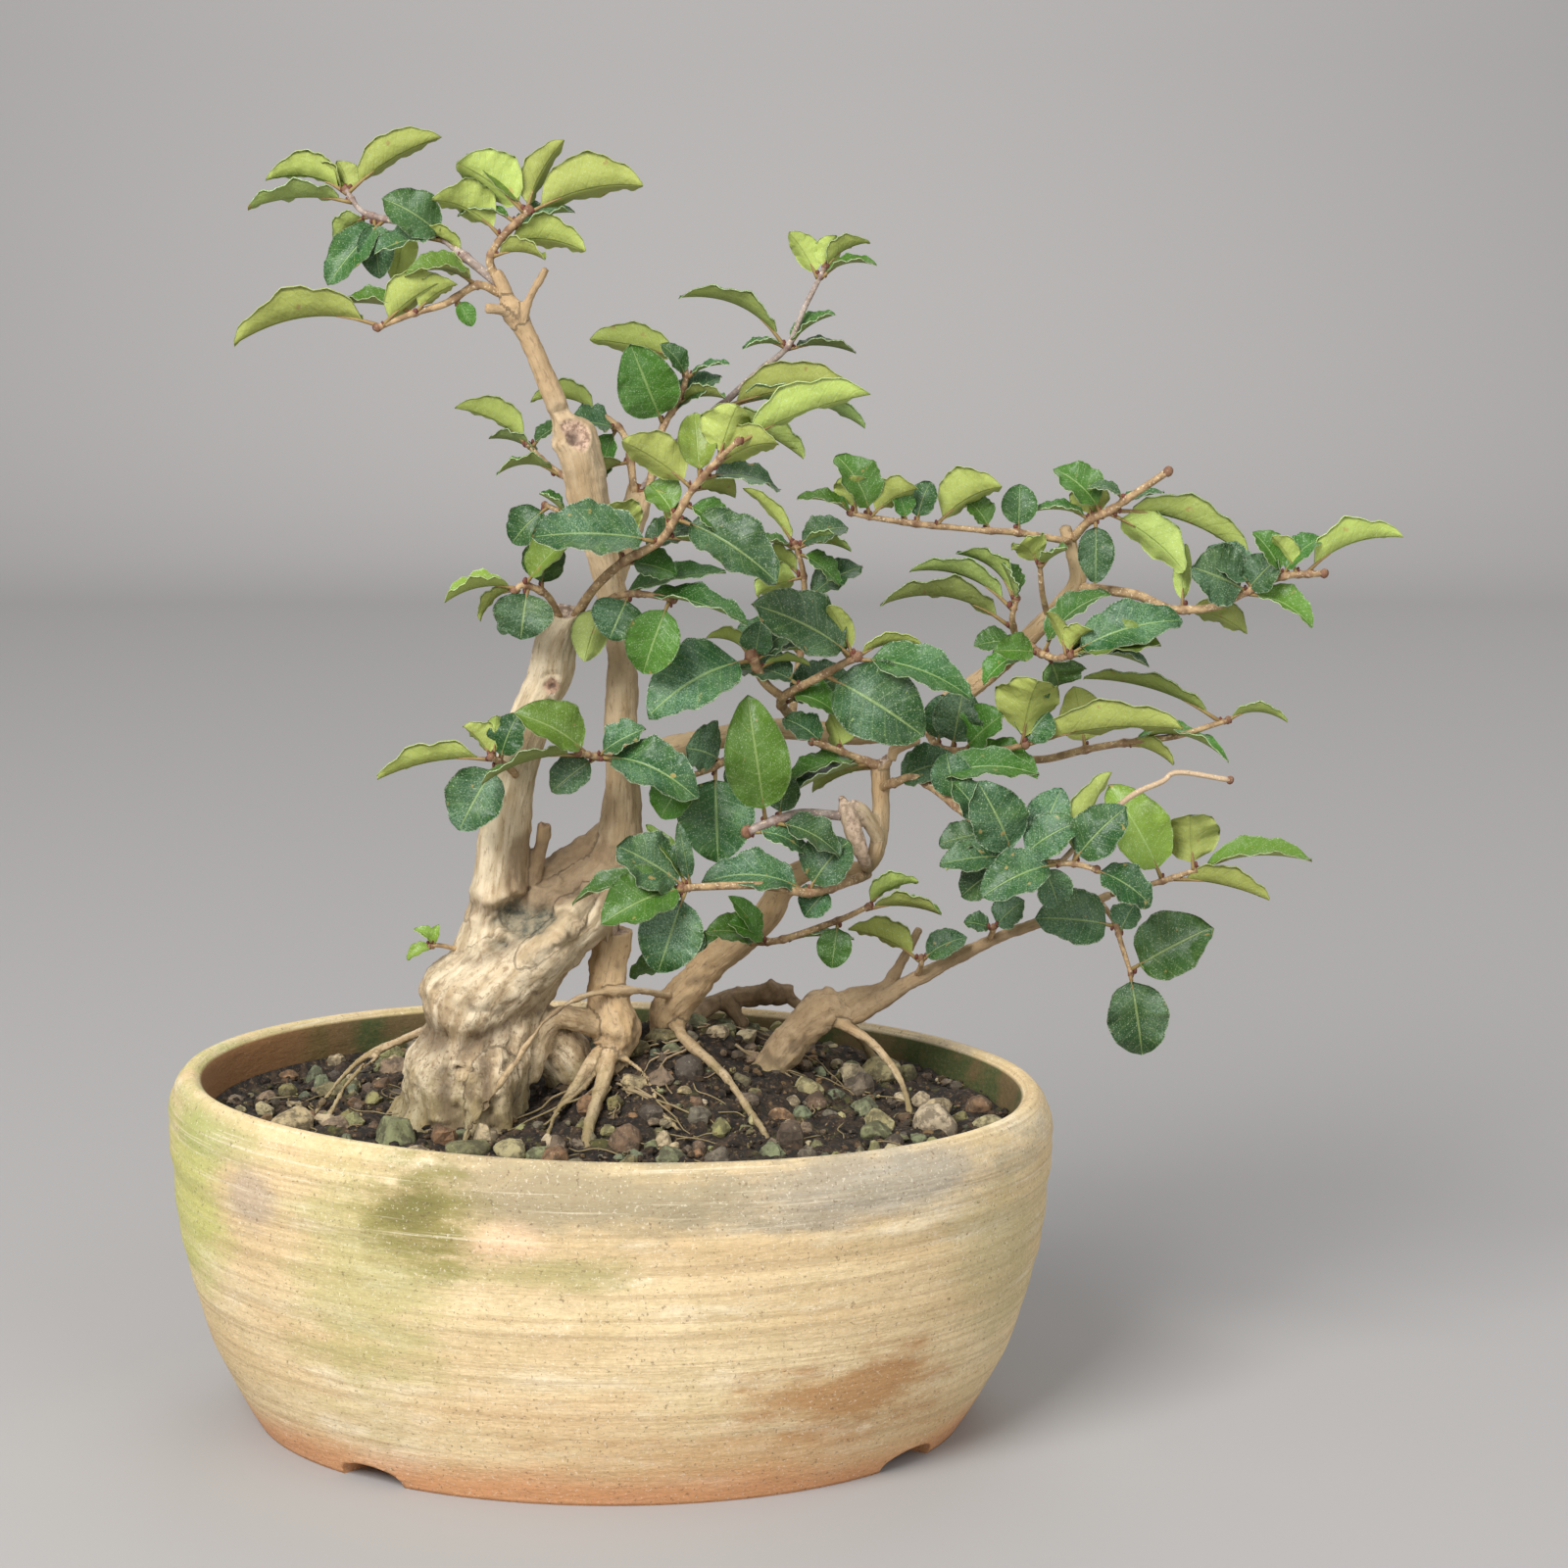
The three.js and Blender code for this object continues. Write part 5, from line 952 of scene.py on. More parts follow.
def leaf_material():
    """Leaves: dark and frosted above when old, yellow-green and matt below and when young. The young ones'
    brightness is partly their own colour and partly painted light shining through them.
    """
    made, s, place, out = material("privet_leaf", 0.5, Specular_IOR_Level=0.4)
    age, under, seed = s.mark("age"), s.mark("under"), s.mark("leaf")
    uv = s.node("ShaderNodeSeparateXYZ", {"Vector": s.node("ShaderNodeTexCoord").outputs["UV"]}).outputs
    across = s.maths("ABSOLUTE", s.less(s.times(uv["X"], 2.0), 1.0))
    # Young blades: bright yellow-green, partly their own colour and partly painted light shining through.
    above = s.mix(s.ramp(age, 0.05, 0.4), colour(146, 162, 62), colour(70, 114, 30))
    above = s.mix(s.ramp(age, 0.35, 0.85), above, colour(30, 70, 26))
    above = s.patches(place, 170.0, 0.4, 0.2, above, s.mix(0.35, above, colour(104, 136, 66)))
    fine = s.noise(place, 2600.0, 3.0, 0.7)
    broad = s.noise(place, 90.0, 3.0, 0.5)
    haze = s.times(s.ramp(broad, 0.36, 0.68), s.ramp(age, 0.45, 0.95))
    frost = s.times(haze, s.ramp(fine, 0.34, 0.66))
    above = s.veil(above, frost, 0.36, colour(150, 184, 154))
    # Undersides too: the young colour is partly painted light shining through.
    below = s.mix(s.ramp(age, 0.1, 0.9), colour(156, 168, 76), colour(112, 138, 76))
    below = s.mix(s.times(s.noise(place, 1700.0, 4.0, 0.6), 0.35), below, colour(190, 200, 124))
    rib = s.less(1.0, s.ramp(across, 0.015, 0.06))
    slanted = s.less(s.times(uv["Y"], 8.0), s.times(across, 1.7))
    nearest = s.maths("ABSOLUTE", s.less(s.maths("FRACT", slanted), 0.5))
    vein = s.times(s.less(1.0, s.ramp(nearest, 0.02, 0.12)), 0.22)
    lines = s.maths("MAXIMUM", rib, vein)
    above = s.veil(above, lines, 0.4, colour(172, 194, 120))
    below = s.veil(below, lines, 0.35, colour(132, 152, 64))
    painted = s.mix(under, above, below)
    rim = s.plus(across, s.times(s.less(fine, 0.5), 0.35))
    pale = s.times(s.ramp(rim, 0.94, 1.06), s.plus(0.3, s.times(age, 0.5)))
    painted = s.mix(pale, painted, colour(206, 220, 188))
    dots = s.times(s.ramp(s.noise(place, 3200.0, 2.0, 0.6), 0.58, 0.68), 0.4)
    painted = s.mix(dots, painted, colour(196, 212, 176))
    blemish = s.times(s.ramp(s.noise(place, 330.0, 2.0, 0.5), 0.7, 0.74), 0.7)
    painted = s.mix(blemish, painted, colour(160, 138, 80))
    hue = s.plus(0.488, s.times(seed, 0.024))
    value = s.plus(0.8, s.times(seed, 0.34))
    shift = s.node("ShaderNodeHueSaturation", {"Color": painted, "Hue": hue, "Value": value})
    s.put(out["Base Color"], shift.outputs["Color"])
    gloss = s.plus(0.4, s.times(under, 0.3))
    s.put(out["Roughness"], s.plus(gloss, s.times(frost, 0.25)))
    height = s.less(s.noise(place, 700.0, 4.0, 0.6), s.times(lines, 0.7))
    height = s.plus(height, s.times(s.noise(place, 150.0, 3.0, 0.5), 5.0))
    bump = s.node("ShaderNodeBump", {"Strength": 0.6, "Distance": 0.0003, "Height": height})
    s.put(out["Normal"], bump.outputs["Normal"])
    return made


def twig_material():
    """Young twigs: tan or grey with pale pores, and dark red-brown on bud scales and leaf stalks."""
    made, s, place, out = material("privet_twig", 0.7)
    bark = s.patches(place, 420.0, 0.5, 0.14, colour(188, 158, 116), colour(140, 112, 78))
    grey = s.patches(place, 420.0, 0.5, 0.14, colour(176, 160, 150), colour(140, 122, 112))
    bark = s.mix(s.mark("dry"), s.mix(s.mark("grey"), bark, grey), colour(194, 168, 136))
    pores = s.ramp(s.noise(place, 1500.0, 2.0, 0.5), 0.6, 0.68)
    bark = s.veil(bark, pores, 0.7, colour(232, 212, 178))
    cracks = s.ramp(s.noise(place, 1100.0, 3.0, 0.6), 0.6, 0.7)
    bark = s.veil(bark, cracks, 0.5, colour(110, 78, 54))
    stalk = s.mix(s.noise(place, 500.0), colour(116, 70, 46), colour(146, 136, 68))
    painted = s.mix(s.mark("stalk"), bark, stalk)
    scales = s.mix(s.noise(place, 900.0), colour(72, 34, 28), colour(124, 68, 50))
    painted = s.mix(s.mark("bud"), painted, scales)
    s.put(out["Base Color"], painted)
    s.roughen(out, place, 1600.0, 0.5, 0.0003)
    return made


def bark_material():
    """Trunk and roots: pale bark streaked along the wood, tan or wrinkled brown on some limbs, pitted and
    stained low on the old foot, with pale to orange-brown saw cuts. Pits, creases and sunken lumps are
    painted dark: painted shade in these recesses, over the pits' own darker wood. The streaks follow each
    limb through the mesh's own grain vector."""
    made, s, place, out = material("privet_bark", 0.82)
    streak = s.node("ShaderNodeAttribute", attribute_name="grain").outputs["Vector"]
    level = s.node("ShaderNodeSeparateXYZ", {"Vector": place}).outputs["Z"]
    low = s.less(1.0, s.ramp(level, 0.086, 0.118))
    base = s.patches(streak, 330.0, 0.5, 0.14, colour(226, 208, 176), colour(182, 158, 122))
    base = s.patches(place, 75.0, 0.45, 0.12, base, s.mix(0.55, base, colour(190, 176, 146)))
    aged = s.less(1.0, s.ramp(level, 0.104, 0.13))
    scaly = s.times(s.ramp(s.noise(place, 250.0, 6.0, 0.72), 0.5, 0.6), aged)
    base = s.veil(base, scaly, 0.55, colour(142, 118, 88))
    fissures = s.ramp(s.noise(streak, 1300.0, 4.0, 0.65), 0.56, 0.66)
    base = s.veil(base, fissures, 0.55, colour(140, 112, 80))
    stain = s.times(s.ramp(s.noise(place, 160.0, 5.0, 0.7), 0.45, 0.62), low)
    base = s.veil(base, stain, 0.5, colour(156, 128, 86))
    specks = s.ramp(s.noise(place, 1000.0, 5.0, 0.7), 0.54, 0.66)
    specks = s.times(specks, s.plus(0.25, low))
    base = s.veil(base, specks, 0.6, colour(96, 74, 52))
    young = s.mix(s.noise(streak, 500.0, 4.0), colour(228, 192, 140), colour(182, 146, 102))
    young = s.veil(young, fissures, 0.55, colour(112, 84, 58))
    knots = s.ramp(s.noise(place, 640.0, 3.0, 0.6), 0.62, 0.7)
    young = s.veil(young, knots, 0.6, colour(92, 60, 40))
    base = s.mix(s.mark("tan"), base, young)
    rugged = s.mix(s.noise(place, 650.0, 5.0, 0.7), colour(84, 64, 46), colour(178, 150, 114))
    base = s.mix(s.mark("brown"), base, rugged)
    near_soil_tone = s.less(1.0, s.ramp(s.plus(level, s.times(stain, -0.006)), 0.074, 0.09))
    mossy = s.mix(s.noise(place, 260.0, 5.0, 0.7), colour(86, 68, 46), colour(134, 128, 74))
    base = s.veil(base, near_soil_tone, 0.6, mossy)
    # Dark colour where the wood sinks: painted shade in pits, creases and sunken lumps, over the pits' own
    # darker wood.
    pits = s.mix(s.noise(place, 700.0), colour(54, 42, 32), colour(116, 94, 68))
    base = s.mix(s.mark("painted_hollow_shade"), base, pits)
    sawn = s.mix(s.mark("tone"), colour(224, 204, 184), colour(168, 110, 66))
    worn = s.ramp(s.noise(place, 620.0, 5.0, 0.7), 0.42, 0.6)
    sawn = s.mix(worn, sawn, s.mix(0.75, sawn, colour(98, 70, 52)))
    base = s.mix(s.mark("cut"), base, sawn)
    base = s.mix(s.mark("heart"), base, colour(66, 50, 38))
    mottled = s.ramp(s.noise(place, 420.0, 5.0, 0.7), 0.35, 0.65)
    dark = s.mix(mottled, colour(52, 62, 54), colour(138, 128, 104))
    base = s.mix(s.mark("stain"), base, dark)
    s.put(out["Base Color"], base)
    s.roughen(out, streak, 1100.0, 0.8, 0.001)
    return made


def clay_material():
    """Weathered clay: cream with thin throwing lines, greyer near the rim, terracotta at the foot, and the
    named stains. Inside, painted light makes the left wall orange-brown, and the rest is dark moss-green,
    partly moss and partly painted shade."""
    made, s, place, out = material("weathered_clay", 0.88)
    parts = s.node("ShaderNodeSeparateXYZ", {"Vector": place}).outputs
    wander = s.times(s.less(s.noise(place, 22.0, 5.0, 0.6), 0.5), 0.012)
    level = s.plus(parts["Z"], wander)
    flat = s.stretched(place, (0.5, 0.5, 2.2))
    clay = s.patches(flat, 24.0, 0.5, 0.16, colour(232, 210, 166), colour(216, 188, 142))
    clay = s.patches(flat, 60.0, 0.4, 0.1, clay, colour(238, 222, 188))
    blotch = s.ramp(s.noise(place, 70.0, 6.0, 0.68), 0.46, 0.62)
    clay = s.veil(clay, blotch, 0.4, colour(206, 184, 134))
    lines = s.ramp(s.noise(s.stretched(place, (0.1, 0.1, 9.0)), 75.0, 5.0, 0.75), 0.47, 0.6)
    clay = s.veil(clay, lines, 0.5, colour(178, 152, 112))
    for x, z, wide, high, ragged, strength, shade in CLAY_STAINS:
        mask = s.group(STAIN, Vector=place, Drift=s.stretched(place, (0.5, 0.5, 1.5)), Ragged=ragged,
                       Centre=(x * MM, 0, z * MM), Reach=(wide * MM, 1, high * MM))["Mask"]
        clay = s.mix(s.times(mask, strength), clay, colour(*shade))
    pale = s.ramp(s.noise(s.stretched(place, (0.16, 0.16, 9.0)), 90.0, 4.0, 0.7), 0.57, 0.66)
    upper = s.ramp(level, 0.052, 0.066)
    clay = s.mix(s.times(s.times(pale, upper), 0.55), clay, colour(232, 218, 188))
    foot = s.less(1.0, s.ramp(level, 0.002, 0.013))
    baked = s.mix(s.noise(place, 60.0), colour(222, 160, 108), colour(200, 134, 90))
    clay = s.veil(clay, foot, 0.85, baked)
    # Inside the pot: painted light on the left wall in orange-brown, and painted shade elsewhere in dark
    # brown and green, with some moss.
    mossy = s.mix(s.ramp(s.noise(place, 90.0, 5.0), 0.42, 0.6), colour(96, 80, 48), colour(62, 74, 34))
    near_soil_tone = s.mix(s.ramp(parts["X"], -0.09, -0.06), colour(132, 92, 54), mossy)
    clay = s.mix(s.mark("inside"), clay, near_soil_tone)
    sand = s.times(s.ramp(s.noise(place, 700.0, 6.0, 0.75), 0.42, 0.62), 0.35)
    clay = s.mix(sand, clay, s.mix(0.5, clay, colour(140, 112, 74)))
    dark = s.ramp(s.noise(place, 1100.0, 3.0, 0.6), 0.61, 0.68)
    clay = s.veil(clay, dark, 0.55, colour(104, 84, 58))
    light = s.ramp(s.noise(place, 1500.0, 3.0, 0.6), 0.6, 0.68)
    light = s.times(light, s.less(0.45, s.times(s.mark("inside"), 0.4)))
    clay = s.mix(light, clay, colour(244, 234, 210))
    s.put(out["Base Color"], clay)
    rubbed = s.stretched(place, (0.6, 0.6, 1.6))
    s.roughen(out, rubbed, 900.0, 0.6, 0.0007)
    return made


def soil_material():
    """Dark crumbly compost with lighter crumbs."""
    made, s, place, out = material("compost", 0.95)
    earth = s.patches(place, 420.0, 0.45, 0.12, colour(30, 24, 17), colour(72, 55, 38))
    earth = s.mix(s.ramp(s.noise(place, 60.0), 0.45, 0.62), earth, s.mix(0.5, earth, colour(28, 22, 18)))
    earth = s.mix(s.ramp(s.mark("tint"), 0.7, 1.0), earth, colour(116, 92, 62))
    moss = s.times(s.ramp(s.noise(place, 110.0, 5.0, 0.7), 0.56, 0.66), 0.5)
    earth = s.mix(moss, earth, colour(92, 92, 42))
    crumbs = s.ramp(s.noise(place, 900.0, 4.0, 0.7), 0.56, 0.66)
    earth = s.veil(earth, crumbs, 0.4, colour(152, 124, 88))
    s.put(out["Base Color"], earth)
    s.roughen(out, place, 1500.0, 0.8, 0.0006)
    return made


def stone_material():
    """Pebbles in many muted colours, picked by each pebble's tint, with pits and pale dust."""
    made, s, place, out = material("pebble", 0.9)
    ramp = s.node("ShaderNodeValToRGB", {"Fac": s.mark("tint")})
    stops = [(0.0, (172, 152, 104)), (0.12, (184, 166, 138)), (0.22, (152, 146, 92)), (0.36, (106, 116, 92)),
             (0.5, (126, 116, 72)), (0.6, (108, 100, 86)), (0.74, (138, 116, 92)), (0.86, (82, 74, 66)),
             (1.0, (142, 106, 72))]
    elements = ramp.color_ramp.elements
    for position, shade in stops:
        element = elements.new(position) if 0 < position < 1 else elements[-int(position)]
        element.color = colour(*shade)
    plain = ramp.outputs["Color"]
    rock = s.patches(place, 420.0, 0.4, 0.1, plain, s.mix(0.55, plain, colour(70, 64, 54)))
    dust = s.ramp(s.noise(place, 900.0, 4.0, 0.7), 0.58, 0.68)
    rock = s.veil(rock, dust, 0.35, colour(200, 188, 154))
    dirt = s.ramp(s.noise(place, 260.0, 5.0, 0.7), 0.44, 0.58)
    rock = s.veil(rock, dirt, 0.65, colour(52, 43, 32))
    s.put(out["Base Color"], rock)
    s.roughen(out, place, 900.0, 0.7, 0.0006)
    return made


def cover_material():
    """Black moulded plastic."""
    made, s, place, out = material("black_plastic", 0.5)
    s.put(out["Base Color"], s.mix(s.noise(place, 300.0), colour(26, 28, 28), colour(40, 42, 40)))
    s.roughen(out, place, 2500.0, 0.2, 0.0001)
    return made


def build_pot(clay):
    """The pot's wall and floor: a smooth profile turned round the oval, with fine throwing rings, then
    cut by the drain channels and holes."""
    outer = profile_points(OUTER_WALL, OUTER_STEP)
    inner = profile_points(INNER_WALL, INNER_STEP)
    lip = profile_points([OUTER_WALL[-1], LIP_TOP, INNER_WALL[0]], LIP_STEP)[1:-1]
    under = np.linspace(*UNDERSIDE)[:, None] * (1, 0)
    floor = np.linspace(*FLOOR_TOP_RINGS)[:, None] * (1, 0) + (0, FLOOR_TOP)
    profile = np.concatenate([under, outer, lip, inner, floor])
    wide, high = profile[:, 0], profile[:, 1]
    angle = np.linspace(0, 2 * np.pi, POT_SIDES, endpoint=False)
    on_wall = smoothstep(3, 9, high) * (np.arange(len(profile)) < len(under) + len(outer))
    line = np.stack([0 * high, 0 * high, high], -1)
    fine = FINE_RINGS[0] * noise(line, *FINE_RINGS[1:]) * smoothstep(30, 60, high)
    wave = THROWN_WAVE[0] * np.sin(high * THROWN_WAVE[1]) * smoothstep(50, 62, high)
    rings = fine + wave + BROAD_RINGS[0] * noise(line, *BROAD_RINGS[1:])
    points = pot_place((wide + rings * on_wall)[:, None], angle, high[:, None])
    wobble = CLAY_WOBBLE[0] * rough(points, *CLAY_WOBBLE[1:], 3) * on_wall[:, None]
    outward = unit(points * (1, 1, 0) + 1e-9)
    points = points + outward * wobble[..., None]
    inside = np.zeros(len(profile))
    inside[len(under) + len(outer) + len(lip):] = 1
    shape = turned_surface(points, inside=np.concatenate([np.repeat(inside, len(angle)), [0, 1]]))
    pot = make_piece("pot_clay", shape, [clay], ["pot"])
    cutters = []
    for bearing in NOTCH_BEARINGS:
        cutters += [channel_cutter(bearing), drain_cutter(bearing)]
    for number, cutter in enumerate(cutters):
        mesh = bpy.data.meshes.new("cutter")
        rows = [row for faces in cutter["faces"] for row in faces.tolist()]
        mesh.from_pydata((cutter["points"] * MM).tolist(), [], rows)
        helper = bpy.data.objects.new("cutter", mesh)
        bpy.context.scene.collection.objects.link(helper)
        cut = pot.modifiers.new("cut", "BOOLEAN")
        cut.operation = "DIFFERENCE"
        cut.object = helper
        cutters[number] = helper
    settled_mesh(pot)
    for helper in cutters:
        bpy.data.objects.remove(helper)
    return pot


def channel_cutter(bearing):
    """A bar with an arched top, lying outward from the middle at a bearing."""
    half, rise = NOTCH_WIDTH / 2, NOTCH_HEIGHT
    turn = np.linspace(0, np.pi, 13)
    arch = np.stack([half * np.cos(turn), rise * np.sin(turn) ** 0.7], -1)
    outline = np.concatenate([[(half, -NOTCH_DROP)], arch, [(-half, -NOTCH_DROP)]])
    ends = (NOTCH_START, NOTCH_END)
    rings = np.stack([np.column_stack([np.full(len(outline), away), outline]) for away in ends])
    turn = math.radians(bearing)
    x = rings[..., 0] * math.cos(turn) - rings[..., 1] * math.sin(turn)
    y = rings[..., 0] * math.sin(turn) + rings[..., 1] * math.cos(turn)
    return turned_surface(np.stack([x, y, rings[..., 2]], -1))


def drain_cutter(bearing):
    """An upright round bar through the pot's floor."""
    turn = np.linspace(0, 2 * np.pi, 32, endpoint=False)
    x = DRAIN_DISTANCE * math.cos(math.radians(bearing)) + DRAIN_RADIUS * np.cos(turn)
    y = DRAIN_DISTANCE * math.sin(math.radians(bearing)) + DRAIN_RADIUS * np.sin(turn)
    return turned_surface(np.stack([np.stack([x, y, np.full(32, h)], -1) for h in (-10.0, 20.0)]))


def build_covers(plastic):
    """Each drain cover: a square mesh of crossing bars, the one set a little above the other."""
    for number, bearing in enumerate(NOTCH_BEARINGS):
        x = DRAIN_DISTANCE * math.cos(math.radians(bearing))
        y = DRAIN_DISTANCE * math.sin(math.radians(bearing))
        low = FLOOR_TOP + 2 * GAP
        half, middle = COVER_SIZE / 2, low + COVER_THICK / 2
        offsets = np.linspace(0.4 - half, half - 0.4, COVER_BARS)
        bars = []
        for k in offsets:
            upright = [(x + k, y - half, middle - BAR_SHIFT), (x + k, y + half, middle - BAR_SHIFT)]
            level = [(x - half, y + k, middle + BAR_SHIFT), (x + half, y + k, middle + BAR_SHIFT)]
            bars += [limb(line, (BAR_RADIUS, BAR_RADIUS), 6, 1) for line in (upright, level)]
        name = f"drain_cover_{number + 1}"
        make_piece(f"drain_mesh_{number + 1}", merged(bars), [plastic], [name])


def soil_height(x, y):
    """Height of the soil: a level bed with one mound round the roots."""
    reach = ((x - MOUND[0]) / MOUND_REACH[0]) ** 2 + ((y - MOUND[1]) / MOUND_REACH[1]) ** 2
    return SOIL_LEVEL + MOUND_HEIGHT * np.exp(-reach)


def crumbled(points):
    """Points of the soil's top moved up and down by lumps and crumbs."""
    lumps = LUMPS[0] * rough(points, *LUMPS[1:], 3) + CRUMBS[0] * rough(points, *CRUMBS[1:], 3)
    return points + lumps[..., None] * (0, 0, 1)


def ball(rows=6, columns=9):
    """A ball of radius 1 as a grid of height and turn, with a point at each pole."""
    height = np.cos(np.linspace(0, np.pi, rows + 2)[1:-1])[::-1]
    turn = np.linspace(0, 2 * np.pi, columns, endpoint=False)
    level = np.sqrt(1 - height**2)
    rings = np.stack([level[:, None] * np.cos(turn), level[:, None] * np.sin(turn),
                      np.broadcast_to(height[:, None], (rows, columns))], -1)
    shape = turned_surface(rings)
    shape["points"][-2:] = ((0, 0, -1), (0, 0, 1))
    return shape


def faceted(points, facets, seed):
    """Points of a ball of radius 1 with flat sides chipped off: each is drawn in to the nearest of some
    planes that stand at seeded directions and distances."""
    index = np.arange(facets)
    normal = unit(np.stack([draw(seed + 9.1 * index + k * 0.37) - 0.5 for k in range(3)], -1))
    reach = points @ normal.T
    limit = CHIP_DEPTH[0] + CHIP_DEPTH[1] * draw(seed * 5 + index)
    share = np.where(reach > 0.05, limit / np.maximum(reach, 0.05), 1).min(1)
    return points * np.minimum(share, 1)[:, None]


def scattered(template, centres, sizes, seed, roughness, tint=None, squash=0.75, facets=0):
    """Many rough lumps: a ball copied to each centre, chipped, squashed, turned, and pushed in and out by
    noise."""
    count, corners = len(centres), len(template["points"])
    index = np.arange(count)
    turn = 2 * np.pi * draw(seed + index)
    seeds = seed + 0.77 * index
    if facets:
        unit_points = np.stack([faceted(template["points"], facets, each) for each in seeds])
    else:
        unit_points = np.repeat(template["points"][None], count, 0)
    offset = np.stack([index * 3.1, index * 1.7, index * 0.9], -1)[:, None]
    swell = 1 + roughness * rough(unit_points + offset, 0.9, seed, 2)
    stretch = np.stack([0.8 + 0.5 * draw(seed + 91 + index), 0.7 + 0.4 * draw(seed + 57 + index),
                        squash * (0.7 + 0.5 * draw(seed + 33 + index))], -1)
    shaped = unit_points * swell[..., None] * stretch[:, None] * sizes[:, None, None] / 2
    x = shaped[..., 0] * np.cos(turn)[:, None] - shaped[..., 1] * np.sin(turn)[:, None]
    y = shaped[..., 0] * np.sin(turn)[:, None] + shaped[..., 1] * np.cos(turn)[:, None]
    points = np.stack([x, y, shaped[..., 2]], -1) + centres[:, None]
    starts = (index * corners)[:, None, None]
    faces = [(f[None] + starts).reshape(-1, f.shape[1]) for f in template["faces"]]
    marks = {} if tint is None else {"tint": np.repeat(tint, corners), "flat": np.ones(count * corners)}
    return surface(points.reshape(-1, 3), *faces, **marks)


def bed_places(count, seed, low, high):
    """Seeded places on the soil between two shares of the distance from the middle to the wall."""
    index = np.arange(count)
    angle = 2 * np.pi * draw(seed + index)
    share = np.sqrt(low**2 + (high**2 - low**2) * draw(seed + 400 + index))
    places = pot_place(95.3 * share, angle, np.full(count, float(SOIL_LEVEL)))
    places[:, 2] = soil_height(places[:, 0], places[:, 1])
    return places


def build_soil(compost, pebble, bark):
    """The soil: a finely crumbled top, its side and bottom, with pebbles, crumbs and fibres on it."""
    angle = np.linspace(0, 2 * np.pi, SOIL_SIDES, endpoint=False)
    wall = profile_points(INNER_WALL[:0:-1], 8)
    side = pot_place((wall[:, 0] - 2 * GAP)[:, None], angle, (wall[:, 1] + GAP)[:, None])
    bottom = pot_place(np.array([[20.0], [50.0]]), angle, np.full((2, 1), FLOOR_TOP + GAP))
    share = np.linspace(0.992, 0.03, SOIL_RINGS)
    top = pot_place(SOIL_EDGE * share[:, None], angle, np.full((len(share), 1), float(SOIL_LEVEL)))
    top[..., 2] = soil_height(top[..., 0], top[..., 1])
    top = crumbled(top)
    shape = turned_surface(np.concatenate([bottom, side, top]))
    shape["marks"]["material"] = np.zeros(len(shape["points"]))
    parts = [shape]
    places = np.concatenate([bed_places(PEBBLES[0], 3, 0.45, 0.97), bed_places(PEBBLES[1], 7, 0.1, 0.6)])
    index = np.arange(len(places))
    sizes = 2.8 + 5.2 * draw(index + 0.7) ** 1.8
    clear = keep_clear(places, sizes) & apart_from_each_other(places, sizes)
    tint = draw(index * 1.37 + 5)
    lift = places + sizes[:, None] * (0, 0, 0.12)
    pebbles = scattered(ball(6, 9), lift[clear], 1.2 * sizes[clear], 11, 0.22, tint[clear], 0.9, 9)
    pebbles["marks"]["material"] = np.ones(len(pebbles["points"]))
    parts.append(pebbles)
    grit = bed_places(GRIT, 19, 0.05, 0.98)
    grit_index = np.arange(len(grit))
    grit_size = 0.9 + 1.9 * draw(grit_index + 2.1) ** 2
    clear = keep_clear(grit, grit_size)
    tint = draw(grit_index * 0.77)[clear]
    stones = scattered(ball(3, 6), grit[clear] + (0, 0, 0.5), grit_size[clear], 29, 0.3, tint)
    stones["marks"]["material"] = np.ones(len(stones["points"]))
    parts.append(stones)
    crumbs = bed_places(LOOSE_CRUMBS, 43, 0.03, 0.99)
    crumb_index = np.arange(len(crumbs))
    crumb_size = 0.8 + 2.2 * draw(crumb_index + 0.3) ** 2
    earth = scattered(ball(3, 5), crumbs + (0, 0, 0.7), crumb_size, 61, 0.45, draw(crumb_index * 0.61))
    earth["marks"]["material"] = np.zeros(len(earth["points"]))
    parts.append(earth)
    fibres = bed_places(FIBRES, 71, 0.05, 0.85)
    parts += [fibre(place, number) for number, place in enumerate(fibres)]
    parts += [rootlet(number) for number in range(ROOTLETS)]
    make_piece("compost_bed", merged(parts), [compost, pebble, bark], ["soil"])


def fibre(place, number):
    """A thin dead rootlet lying on the soil: a short curve with seeded bends."""
    heading = 2 * np.pi * draw(number + 0.5)
    length = 5 + 11 * draw(number + 9.5)
    steps = np.linspace(-0.5, 0.5, 5) * length
    bend = (draw(number * 3 + np.arange(5)) - 0.5) * length * 0.22
    x = place[0] + steps * np.cos(heading) - bend * np.sin(heading)
    y = place[1] + steps * np.sin(heading) + bend * np.cos(heading)
    z = soil_height(x, y) + 0.9 + 0.8 * draw(number * 5 + np.arange(5))
    made = limb(np.stack([x, y, z], -1), (0.2, 0.16), 4, 3)
    made["marks"]["material"] = np.full(len(made["points"]), 2.0)
    made["marks"]["brown"] = np.full(len(made["points"]), 0.8)
    return made


